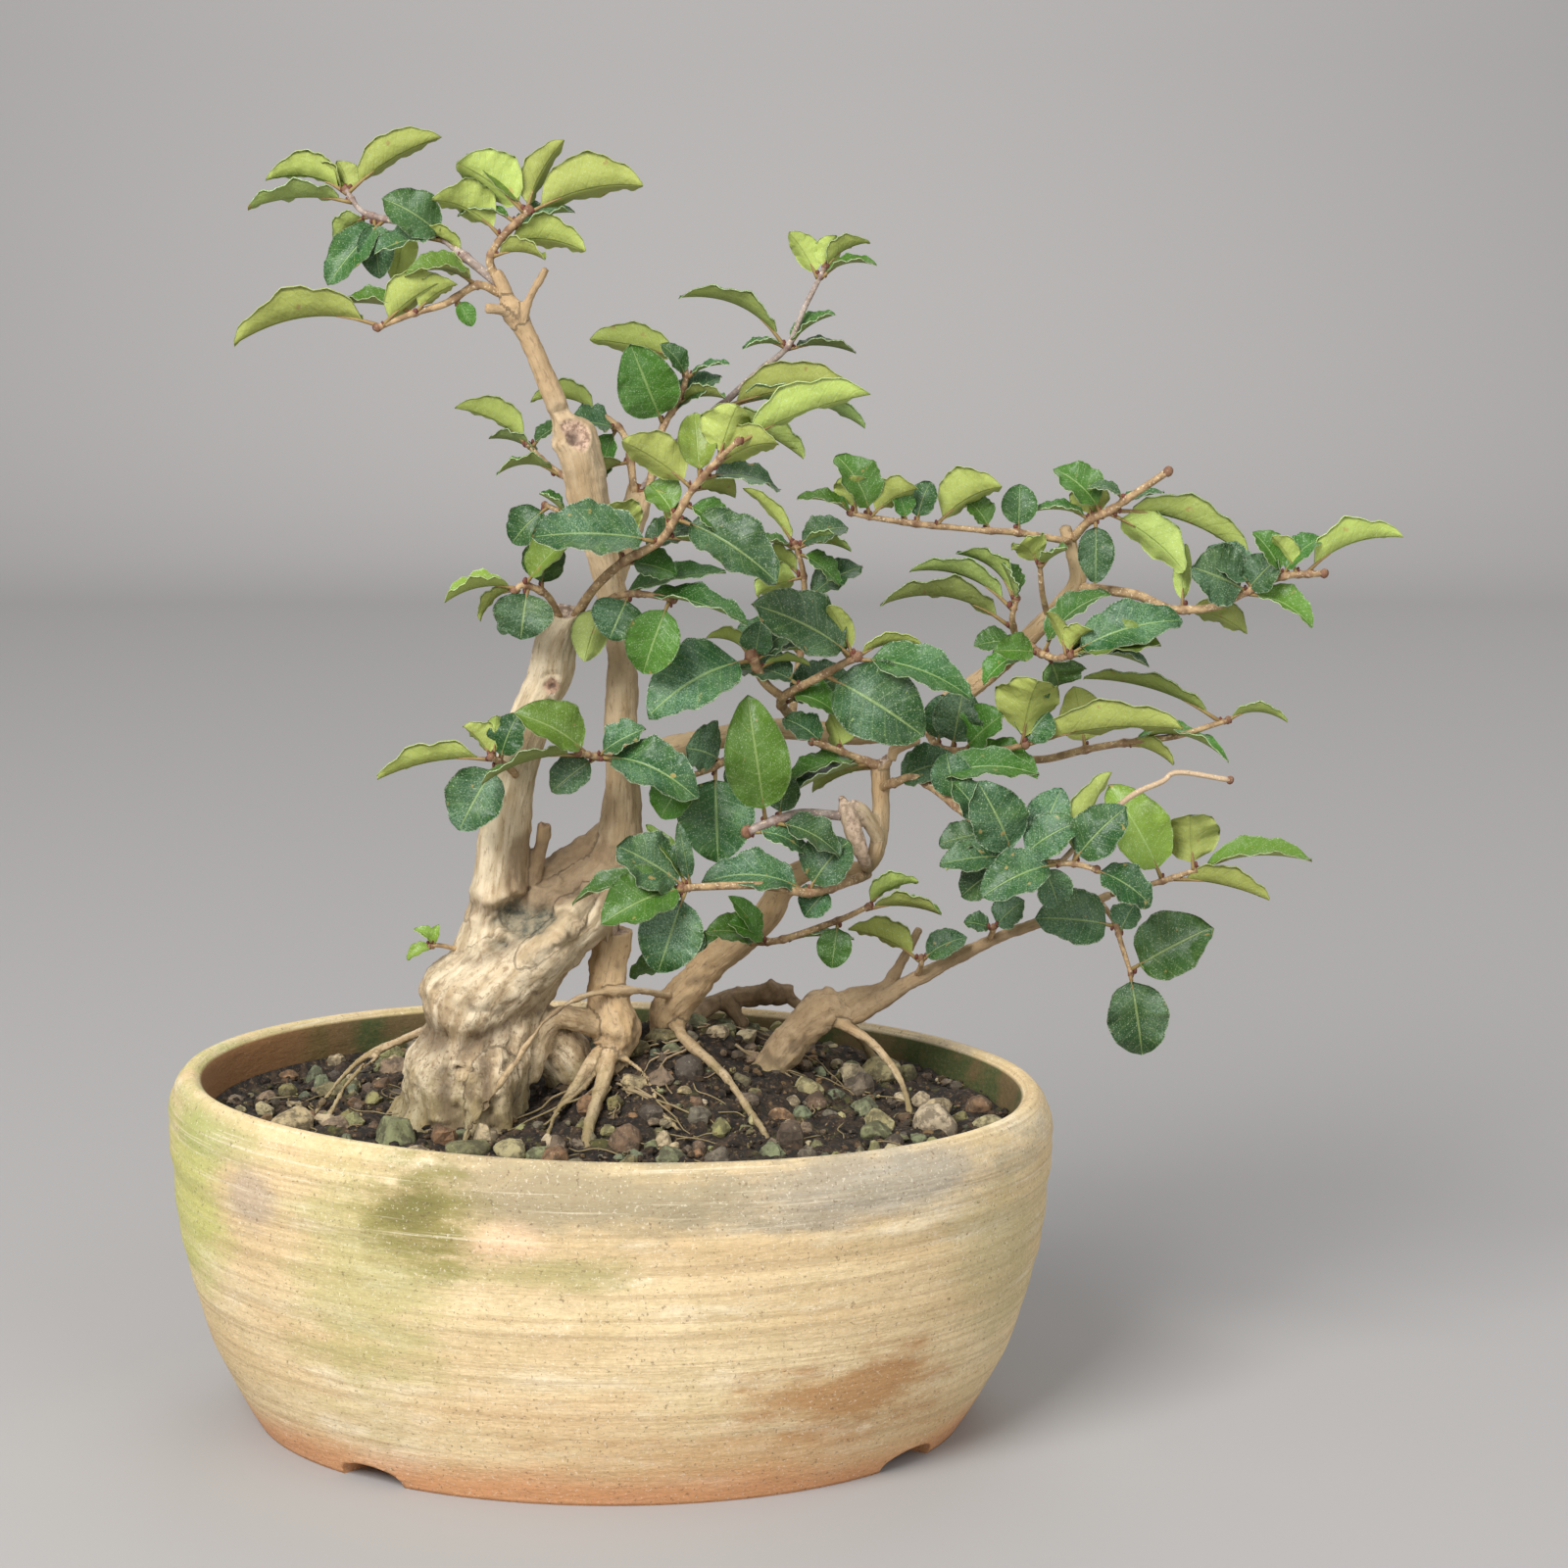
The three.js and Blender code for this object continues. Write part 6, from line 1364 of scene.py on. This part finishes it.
def rootlet(number):
    """A fine root that leaves the middle stub or its neighbour and runs down the mound to the front, with
    seeded bends."""
    heading = math.radians(-170 + 160 * draw(number + 0.2))
    length = 14 + 22 * draw(number + 4.2)
    foot = (1, 0) if number % 3 else (26, 12)
    away = 4 + 5 * draw(number + 6.6) + np.linspace(0, 1, 7) * length
    bend = np.cumsum(draw(number * 7 + np.arange(7)) - 0.5) * 4.5
    x = foot[0] + away * np.cos(heading) - bend * np.sin(heading)
    y = foot[1] + away * np.sin(heading) * 0.9 + bend * np.cos(heading)
    z = soil_height(x, y) + 0.5 + 1.6 * draw(number * 5 + np.arange(7)) * np.linspace(1, 0, 7)
    made = limb(np.stack([x, y, z], -1), (0.36, 0.26, 0.12), 5, 2)
    made["marks"]["material"] = np.full(len(made["points"]), 2.0)
    made["marks"]["brown"] = np.full(len(made["points"]), 0.7)
    return made


def keep_clear(places, sizes):
    """True where a lump stays off the trunk's foot and the named stones."""
    away = np.hypot((places[:, 0] - FOOT[0]) / FOOT_WIDTH, places[:, 1] - FOOT[1])
    apart = away > FOOT_REACH + sizes / 2
    for x, y, width, *_ in STONES.values():
        apart &= np.hypot(places[:, 0] - x, places[:, 1] - y) > (width + sizes) / 2
    return apart


def apart_from_each_other(places, sizes):
    """True for each lump that lies clear of the ones kept before it."""
    kept = np.zeros(len(places), bool)
    for number, (place, size) in enumerate(zip(places, sizes)):
        away = np.hypot(*(places[kept] - place)[:, :2].T)
        kept[number] = np.all(away > 0.45 * (sizes[kept] + size))
    return kept


def build_stones(pebble):
    """Each named stone: a ball with chipped, flattened sides and a rough skin."""
    for number, (name, (x, y, width, height, depth, turn, tint)) in enumerate(STONES.items()):
        shape = ball(22, 30)
        points = faceted(shape["points"], 9, number)
        points = points * (1 + 0.06 * rough(points + number * 5, 0.35, 13, 3))[:, None]
        points = points * (width / 1.75, depth / 1.75, height / 1.75)
        angle = math.radians(turn)
        spun = np.stack([points[:, 0] * math.cos(angle) - points[:, 1] * math.sin(angle),
                         points[:, 0] * math.sin(angle) + points[:, 1] * math.cos(angle), points[:, 2]], -1)
        base = np.array([x, y, soil_height(x, y) + height * STONE_RISE])
        shape["points"] = spun + base
        shape["marks"]["tint"] = np.full(len(points), tint)
        make_piece("pebble_" + name[6:], shape, [pebble], [name])


def wood_samples():
    """Places along every limb: centre, direction, side, radius, run from the limb's start, and its shares of
    tan and brown bark."""
    rows = []
    for table, plain in ((LIMBS, (0, 0)), (ROOTS, ROOT_BARK)):
        for name, (path, radii) in table.items():
            places = np.linspace(0, len(path) - 1, (len(path) - 1) * SAMPLES_PER_SPAN + 1)
            centre, along = curve_at(path, places)
            side, _ = cross_frame(along)
            radius = np.interp(places / (len(path) - 1), np.linspace(0, 1, len(radii)), radii)
            steps = np.linalg.norm(np.diff(centre, axis=0), axis=1)
            run = np.concatenate([[0], np.cumsum(steps)]) + 37 * len(rows)
            share = np.broadcast_to(BARK.get(name, plain), (len(run), 2))
            rows.append(np.column_stack([centre, along, side, radius, run, share]))
    return np.concatenate(rows)


def read_limbs(points):
    """For each point of the wood's skin: its place across and along the nearest limb, that limb's radius,
    and the shares of tan and brown bark, blended between limbs by how near they lie."""
    samples = wood_samples()
    centre, along, side = samples[:, :3], samples[:, 3:6], samples[:, 6:9]
    radius, run, share = samples[:, 9], samples[:, 10], samples[:, 11:]
    up = np.cross(along, side)
    grain, size, blended = np.empty_like(points), np.empty(len(points)), np.empty((len(points), 2))
    for start in range(0, len(points), 4000):
        part = slice(start, start + 4000)
        some = points[part]
        square = (some**2).sum(1)[:, None] - 2 * some @ centre.T + (centre**2).sum(1)
        gap = np.sqrt(np.maximum(square, 0)) - radius
        near = gap.argmin(1)
        weight = np.exp((gap.min(1, keepdims=True) - gap) / BARK_BLEND)
        blended[part] = weight @ share / weight.sum(1, keepdims=True)
        offset = some - centre[near]
        across = [np.sum(offset * axis[near], axis=1) for axis in (side, up, along)]
        grain[part] = np.stack([across[0], across[1], (run[near] + across[2]) * GRAIN_RUN], -1)
        size[part] = radius[near]
    return grain, size, blended


def sawn(points):
    """Saws the cut ends flat, with a raised rim and a sunken heart, by the distance ahead of each cut's
    plane and away from its axis. Returns the points, and the marks for cut wood, its tone and its dark
    heart."""
    cut, tone, heart = np.zeros((3, len(points)))
    for middle, facing, radius, shade in CUTS:
        facing = unit(np.array(facing, float))
        offset = points - middle
        ahead = offset @ facing
        away = np.linalg.norm(offset - ahead[:, None] * facing, axis=1)
        near = (away < 1.7 * radius) & (np.abs(ahead) < 1.3 * radius)
        over = np.where(near, np.maximum(ahead, 0), 0)
        shown = near * smoothstep(-1.3, -0.3, ahead)
        face = shown * (1 - smoothstep(0.85 * radius, 1.05 * radius, away))
        rim = shown * np.exp(-(((away - radius) / 0.8) ** 2))
        sunken = shown * (1 - smoothstep(0.2 * radius, 0.6 * radius, away))
        points = points + facing * (0.5 * rim - 0.5 * face - 0.6 * sunken - over)[:, None]
        cut, heart = np.maximum(cut, face), np.maximum(heart, 0.75 * sunken * (shade > 0.2))
        tone = np.where(face > 0, shade, tone)
    return points, {"cut": cut, "tone": tone, "heart": heart}


def build_wood(bark):
    """Trunk and roots: limbs fused to one skin, softened, then roughened along and across the grain, sawn at
    the cut ends and torn at the old scar."""
    thick = [limb(*LIMBS[name], sides=18, steps=5, knobbly=0.06) for name in LIMBS]
    for path, radii in ROOTS.values():
        thick.append(limb(path, [ROOT_SLIM * r for r in radii], sides=12, steps=6, knobbly=0.14))
    wood = make_piece("privet_wood", merged(thick), [bark], ["trunk_and_roots"])
    fuse = wood.modifiers.new("fuse", "REMESH")
    fuse.mode = "VOXEL"
    fuse.voxel_size = WOOD_CELL * MM
    soften = wood.modifiers.new("soften", "SMOOTH")
    soften.factor = 0.5
    soften.iterations = 4
    settled_mesh(wood)
    mesh = wood.data
    points, normals = np.empty((2, len(mesh.vertices), 3))
    mesh.vertices.foreach_get("co", points.ravel())
    mesh.vertices.foreach_get("normal", normals.ravel())
    points = points / MM
    grain, size, shares = read_limbs(points)
    tan, brown = shares.T
    low = 1 - smoothstep(98, 126, points[:, 2])
    pitted = (1 - smoothstep(88, 104, points[:, 2])) * (1 - smoothstep(-30, -14, points[:, 0]))
    pits = smoothstep(0.3, 0.9, rough(points, 3.4, 61, 3)) * pitted
    move = np.clip(0.1 * size, *STREAK_HEIGHT) * rough(grain, 1.7, 41, 3)
    move = move + GRIT_HEIGHT * rough(points, 2.2, 43, 2) * low
    gnarl = GNARL_HEIGHT * rough(points, 7.0, 51, 4) + GRAIN_HEIGHT * rough(grain, 4.5, 81, 2)
    move = move + gnarl * low * smoothstep(1, 5, size)
    lumps = rough(points, 3.4, 103, 3) * low * smoothstep(1, 5, size)
    sunk = smoothstep(0.35, 0.9, -lumps)
    warts = tan * smoothstep(0.25, 0.8, rough(points, 2.1, 107, 2))
    move = move + LUMP_HEIGHT * lumps + WART_HEIGHT * warts
    folds, crease = folded(points)
    wrinkles = rough(grain * WRINKLE_STRETCH, 2.2, 91, 2) * smoothstep(1, 3, size)
    move = move + (TAN_WRINKLE * tan + BROWN_WRINKLE * brown) * wrinkles + folds
    field = scar_field(points)
    scar = 1 - smoothstep(0.6, 1, field)
    lip = smoothstep(0.9, 1.1, field) * (1 - smoothstep(1.15, 1.5, field))
    torn = strip_share(points, TEAR, TEAR_REACH)
    move = move - PIT_DEPTH * pits - SCAR_DEPTH * scar + LIP_RISE * lip * (1 + noise(points, 2.0, 95))
    move = move + TEAR_RISE * torn * (1 + 1.5 * noise(points, 1.2, 97))
    brown = np.maximum(brown, 0.85 * brown_patch(points))
    points, marks = sawn(points + normals * move[:, None])
    dead = strip_share(points, DEAD_WOOD, DEAD_REACH)
    marks["cut"] = np.maximum(marks["cut"], dead)
    marks["tone"] = np.maximum(marks["tone"], 0.3 * (dead > 0))
    tan = np.maximum(tan, 0.7 * smoothstep(237, 246, points[:, 2]))
    # Where the wood sinks, painted dark: painted shade in pits, creases and sunken lumps.
    painted_hollow_shade = np.maximum.reduce([0.75 * pits, 0.8 * crease, 0.6 * sunk])
    stain = 0.9 * scar * (1 - torn)
    marks |= {"grain": grain * MM, "tan": tan, "brown": brown, "painted_hollow_shade": painted_hollow_shade, "stain": stain}
    mesh.vertices.foreach_set("co", (points * MM).ravel())
    set_marks(mesh, marks)
    mesh.polygons.foreach_set("use_smooth", np.ones(len(mesh.polygons), bool))
    mesh.update()
    return wood


def folded(points):
    """Height of the folds at each point, and how deep it lies in a crease: each fold is a bell of the
    distance from its line, exp(-(distance / width)^2)."""
    height, crease = np.zeros(len(points)), np.zeros(len(points))
    for rise, width, path in FOLDS:
        line, _ = curve_at(path, np.linspace(0, len(path) - 1, 8 * len(path)))
        apart = (points[:, None] - line) * (1, FOLD_DEPTH, 1)
        bell = np.exp(-((np.linalg.norm(apart, axis=2).min(1) + 0.4 * noise(points, 3.0, 77)) / width) ** 2)
        height += rise * bell
        if rise < 0:
            crease = np.maximum(crease, bell)
    return height, crease


def scar_field(points):
    """Distance from the middle of the old torn scar, sunk into the wood, 1 at its ragged edge."""
    across = points - SCAR
    turn = math.radians(SCAR_TURN)
    x = across[:, 0] * math.cos(turn) - across[:, 2] * math.sin(turn)
    z = across[:, 0] * math.sin(turn) + across[:, 2] * math.cos(turn)
    away = np.linalg.norm(np.stack([x, across[:, 1], z], -1) / SCAR_REACH, axis=1)
    return away + 0.3 * rough(points, 3.5, 71, 3)


def brown_patch(points):
    """How much rugged brown bark lies on the saddle between the trunks, from 0 to 1."""
    away = np.linalg.norm((points - BROWN_PATCH) / BROWN_REACH, axis=1)
    return 1 - smoothstep(0.6, 1.1, away + 0.25 * rough(points, 4.0, 73, 2))


def strip_share(points, ends, reach):
    """How much of a ragged strip lies at each point: 1 on the line between its ends, 0 past its reach."""
    start, end = np.array(ends, float)
    line = end - start
    part = np.clip((points - start) @ line / (line @ line), 0, 1)
    away = np.linalg.norm(points - start - part[:, None] * line, axis=1)
    return 0.8 * (1 - smoothstep(0.4 * reach, reach, away + 1.2 * rough(points, 2.0, 93, 2)))


def leaf_frames(path, radii, leaves):
    """Start, direction, upward face and side of each leaf on a twig, by the solids' formula."""
    table = np.array(leaves, float)
    place = table[:, 0]
    bearing, lean, face = np.radians(table[:, [1, 2, 5]]).T
    along = np.stack([np.cos(bearing) * np.cos(lean), np.sin(lean), np.sin(bearing) * np.cos(lean)], -1)
    share = place / (len(path) - 1)
    start, tangent = curve_at(path, place)
    outward = along - np.sum(along * tangent, -1, keepdims=True) * tangent
    radius = radii[0] + (radii[1] - radii[0]) * share
    start = start + outward * (STALK_ROOT * radius)[:, None] - tangent * (STALK_BACK * share**8)[:, None]
    top = np.stack([0 * face, -np.sin(face), np.cos(face)], -1)
    top = unit(top - np.sum(top * along, -1, keepdims=True) * along)
    return start, along, top, np.cross(top, along), table


def leaf_blades(path, radii, leaves, rows=21, columns=7, thick=0.3):
    """Thin closed blades: length by width grids, arched along, folded across, waved and crimped at the
    edges."""
    start, along, top, side, table = leaf_frames(path, radii, leaves)
    place, bearing, _, length, width, _, age = table.T
    width = width * (1 - YOUNG_SLIM * (1 - age))
    seed = place * 7.1 + bearing * 1.3 + length * 3.7
    bulge = ARCH[0] + (ARCH[1] - ARCH[0]) * draw(seed + 1)
    fold = YOUNG_FOLD + (OLD_FOLD - YOUNG_FOLD) * age + FOLD_SPREAD * (draw(seed + 2) - 0.5)
    wave, phase = width * (WAVE[0] + (WAVE[1] - WAVE[0]) * draw(seed + 3)), 2 * np.pi * draw(seed + 4)
    s = (np.linspace(0, 1, rows) ** 0.9)[None, :, None]
    u = np.sin(np.linspace(-np.pi / 2, np.pi / 2, columns))[None, None, :]

    def each(values):
        return values[:, None, None]

    part = PETIOLE_SHARE + (1 - PETIOLE_SHARE) * s
    shape = np.sin(np.pi * s**WIDEST_EARLY).clip(0, 1) ** BLUNTNESS
    half = np.maximum(0.5 * each(width) * shape, 0.14) * u
    ripple = each(wave) * np.sin(WAVE_TURN * s + each(phase) + WAVE_SHIFT * (u < 0)) * u**2
    crimp = CRINKLE * each(width) * np.sin(CRINKLE_TURN * s + 3 * each(phase) + WAVE_SHIFT * (u < 0)) * u**4
    rib = 0.14 * np.exp(-((u * each(width) / 0.9) ** 2))
    arch = 4 * each(bulge) * each(length) * part * (1 - part)
    rise = arch + each(fold) * np.abs(half) + ripple + crimp - rib
    base = start[:, None, None] + along[:, None, None] * (part * each(length))[..., None]
    middle = base + side[:, None, None] * half[..., None] + top[:, None, None] * rise[..., None]
    lift = top[:, None, None] * thick / 2
    points = np.stack([middle + lift, middle - lift], 1)
    count, cells = len(table), rows * columns
    plane = grid_faces(rows, columns)
    around = np.concatenate([
        np.arange(columns), np.arange(1, rows) * columns + columns - 1,
        (rows - 1) * columns + np.arange(columns - 2, -1, -1), np.arange(rows - 2, 0, -1) * columns])
    following = np.roll(around, -1)
    rim = np.stack([around, around + cells, following + cells, following], -1)
    faces = np.concatenate([plane[:, ::-1], plane + cells, rim])
    faces = (faces[None] + (np.arange(count) * 2 * cells)[:, None, None]).reshape(-1, 4)
    full = (count, 2, rows, columns)
    marks = {
        "u": (u[:, None] + 1) / 2,
        "v": s[:, None],
        "age": age[:, None, None, None],
        "leaf": draw(seed + 9)[:, None, None, None],
        "under": np.array([0.0, 1.0])[None, :, None, None],
    }
    marks = {name: np.broadcast_to(values, full).ravel() for name, values in marks.items()}
    return surface(points.reshape(-1, 3), faces, **marks)


def leaf_stalks(path, radii, leaves):
    """Short round stalks from the twig to each blade, running on as a thin rib below it."""
    start, along, top, _, table = leaf_frames(path, radii, leaves)
    seed = table[:, 0] * 7.1 + table[:, 1] * 1.3 + table[:, 3] * 3.7
    bulge = ARCH[0] + (ARCH[1] - ARCH[0]) * draw(seed + 1)
    stalks = []
    for first, ahead, lift, row, arch in zip(start, along, top, table, bulge):
        part = np.array([0, PETIOLE_SHARE, 0.2, 0.3])
        rise = 4 * arch * row[3] * part * (1 - part) - 0.22
        line = first + ahead * (part * row[3])[:, None] + lift * rise[:, None]
        stalks.append(limb(line, STALK_RADII, 6, 2, stalk=STALK_SHARE))
    return stalks


def leaf_buds(path, radii, leaves):
    """A small bud in the angle of each leaf."""
    start, along, _, _, table = leaf_frames(path, radii, leaves)
    _, tangent = curve_at(path, table[:, 0])
    centres = start + along * 0.9 + tangent * 0.7
    sizes = BUD_SIZE * (0.8 + 0.5 * draw(table[:, 1] * 0.7))
    return scattered(ball(3, 6), centres, sizes, 3, 0.1, squash=1.4)


def build_sprays(leaf, twig):
    """Each leafy stem: its twigs, swollen where leaves grow, with its leaves, stalks and buds."""
    for name, twigs in SPRAYS.items():
        twigs = [(*twig_row[:2], twig_row[2] + MORE_LEAVES.get((name, number), []))
                 for number, twig_row in enumerate(twigs)]
        parts = []
        for number, (path, radii, leaves) in enumerate(twigs):
            slim = tuple(TWIG_SLIM * r for r in radii)
            nodes = sorted({leaf_row[0] for leaf_row in leaves})
            tones = {"grey": float(name in GREY_STEMS), "dry": float((name, number) == DRY_TWIG)}
            parts.append(limb(path, slim, 10, 8, 0.08, nodes, **tones))
            tip, heading = curve_at(path, [len(path) - 1.0])
            bud = scattered(ball(4, 7), tip + heading * 0.2, np.array([radii[1] * 2.2]), 3, 0.1, squash=1.0)
            bud["marks"]["bud"] = np.full(len(bud["points"]), 0.7)
            parts.append(bud)
            if leaves:
                parts += leaf_stalks(path, radii, leaves)
                buds = leaf_buds(path, radii, leaves)
                buds["marks"]["bud"] = np.ones(len(buds["points"]))
                parts.append(buds)
        for part in parts:
            part["marks"]["material"] = np.ones(len(part["points"]))
        for path, radii, leaves in twigs:
            if leaves:
                blades = leaf_blades(path, radii, leaves)
                blades["marks"]["material"] = np.zeros(len(blades["points"]))
                parts.append(blades)
        make_piece(name.replace("spray_", "leafy_"), merged(parts), [leaf, twig], [name])


def build_stage():
    """A plain pale floor that curves up into a backdrop, soft studio light and the photograph's camera."""
    turn = np.linspace(0, np.pi / 2, 17)
    along = BACKDROP_START + BACKDROP_BEND * np.sin(turn)
    up = BACKDROP_BEND - BACKDROP_BEND * np.cos(turn)
    profile = [(-4, 0), *zip(along, up), (along[-1], 5)]
    rows = np.array([[(x, y, z) for x in (-5, 5)] for y, z in profile])
    mesh = bpy.data.meshes.new("floor")
    mesh.from_pydata(rows.reshape(-1, 3).tolist(), [], grid_faces(len(rows), 2)[:, ::-1].tolist())
    mesh.polygons.foreach_set("use_smooth", np.ones(len(mesh.polygons), bool))
    floor = bpy.data.objects.new("floor", mesh)
    bpy.context.scene.collection.objects.link(floor)
    paint, _, _, out = material("pale_floor", 0.9)
    out["Base Color"].default_value = colour(*FLOOR_COLOUR)
    mesh.materials.append(paint)
    world = bpy.data.worlds.new("studio")
    bpy.context.scene.world = world
    world.use_nodes = True
    background = world.node_tree.nodes["Background"]
    background.inputs["Color"].default_value = colour(*SKY_COLOUR)
    background.inputs["Strength"].default_value = SKY_STRENGTH
    for name, (place, size, power, turn) in LAMPS.items():
        light = bpy.data.lights.new(name, "AREA")
        light.energy = power
        light.size = size
        lamp = bpy.data.objects.new(name, light)
        lamp.location = place
        lamp.rotation_euler = [math.radians(a) for a in turn]
        bpy.context.scene.collection.objects.link(lamp)
    camera = bpy.data.objects.new("camera", bpy.data.cameras.new("camera"))
    camera.location = CAMERA_PLACE
    camera.rotation_euler = (math.radians(90 - CAMERA_DIP), 0, 0)
    camera.data.lens = LENS
    camera.data.sensor_width = SENSOR
    bpy.context.scene.collection.objects.link(camera)
    bpy.context.scene.camera = camera
    bpy.context.scene.view_settings.view_transform = "Standard"


build_pot(clay_material())
build_covers(cover_material())
bark = bark_material()
pebble = stone_material()
build_soil(soil_material(), pebble, bark)
build_stones(pebble)
build_wood(bark)
build_sprays(leaf_material(), twig_material())
build_stage()
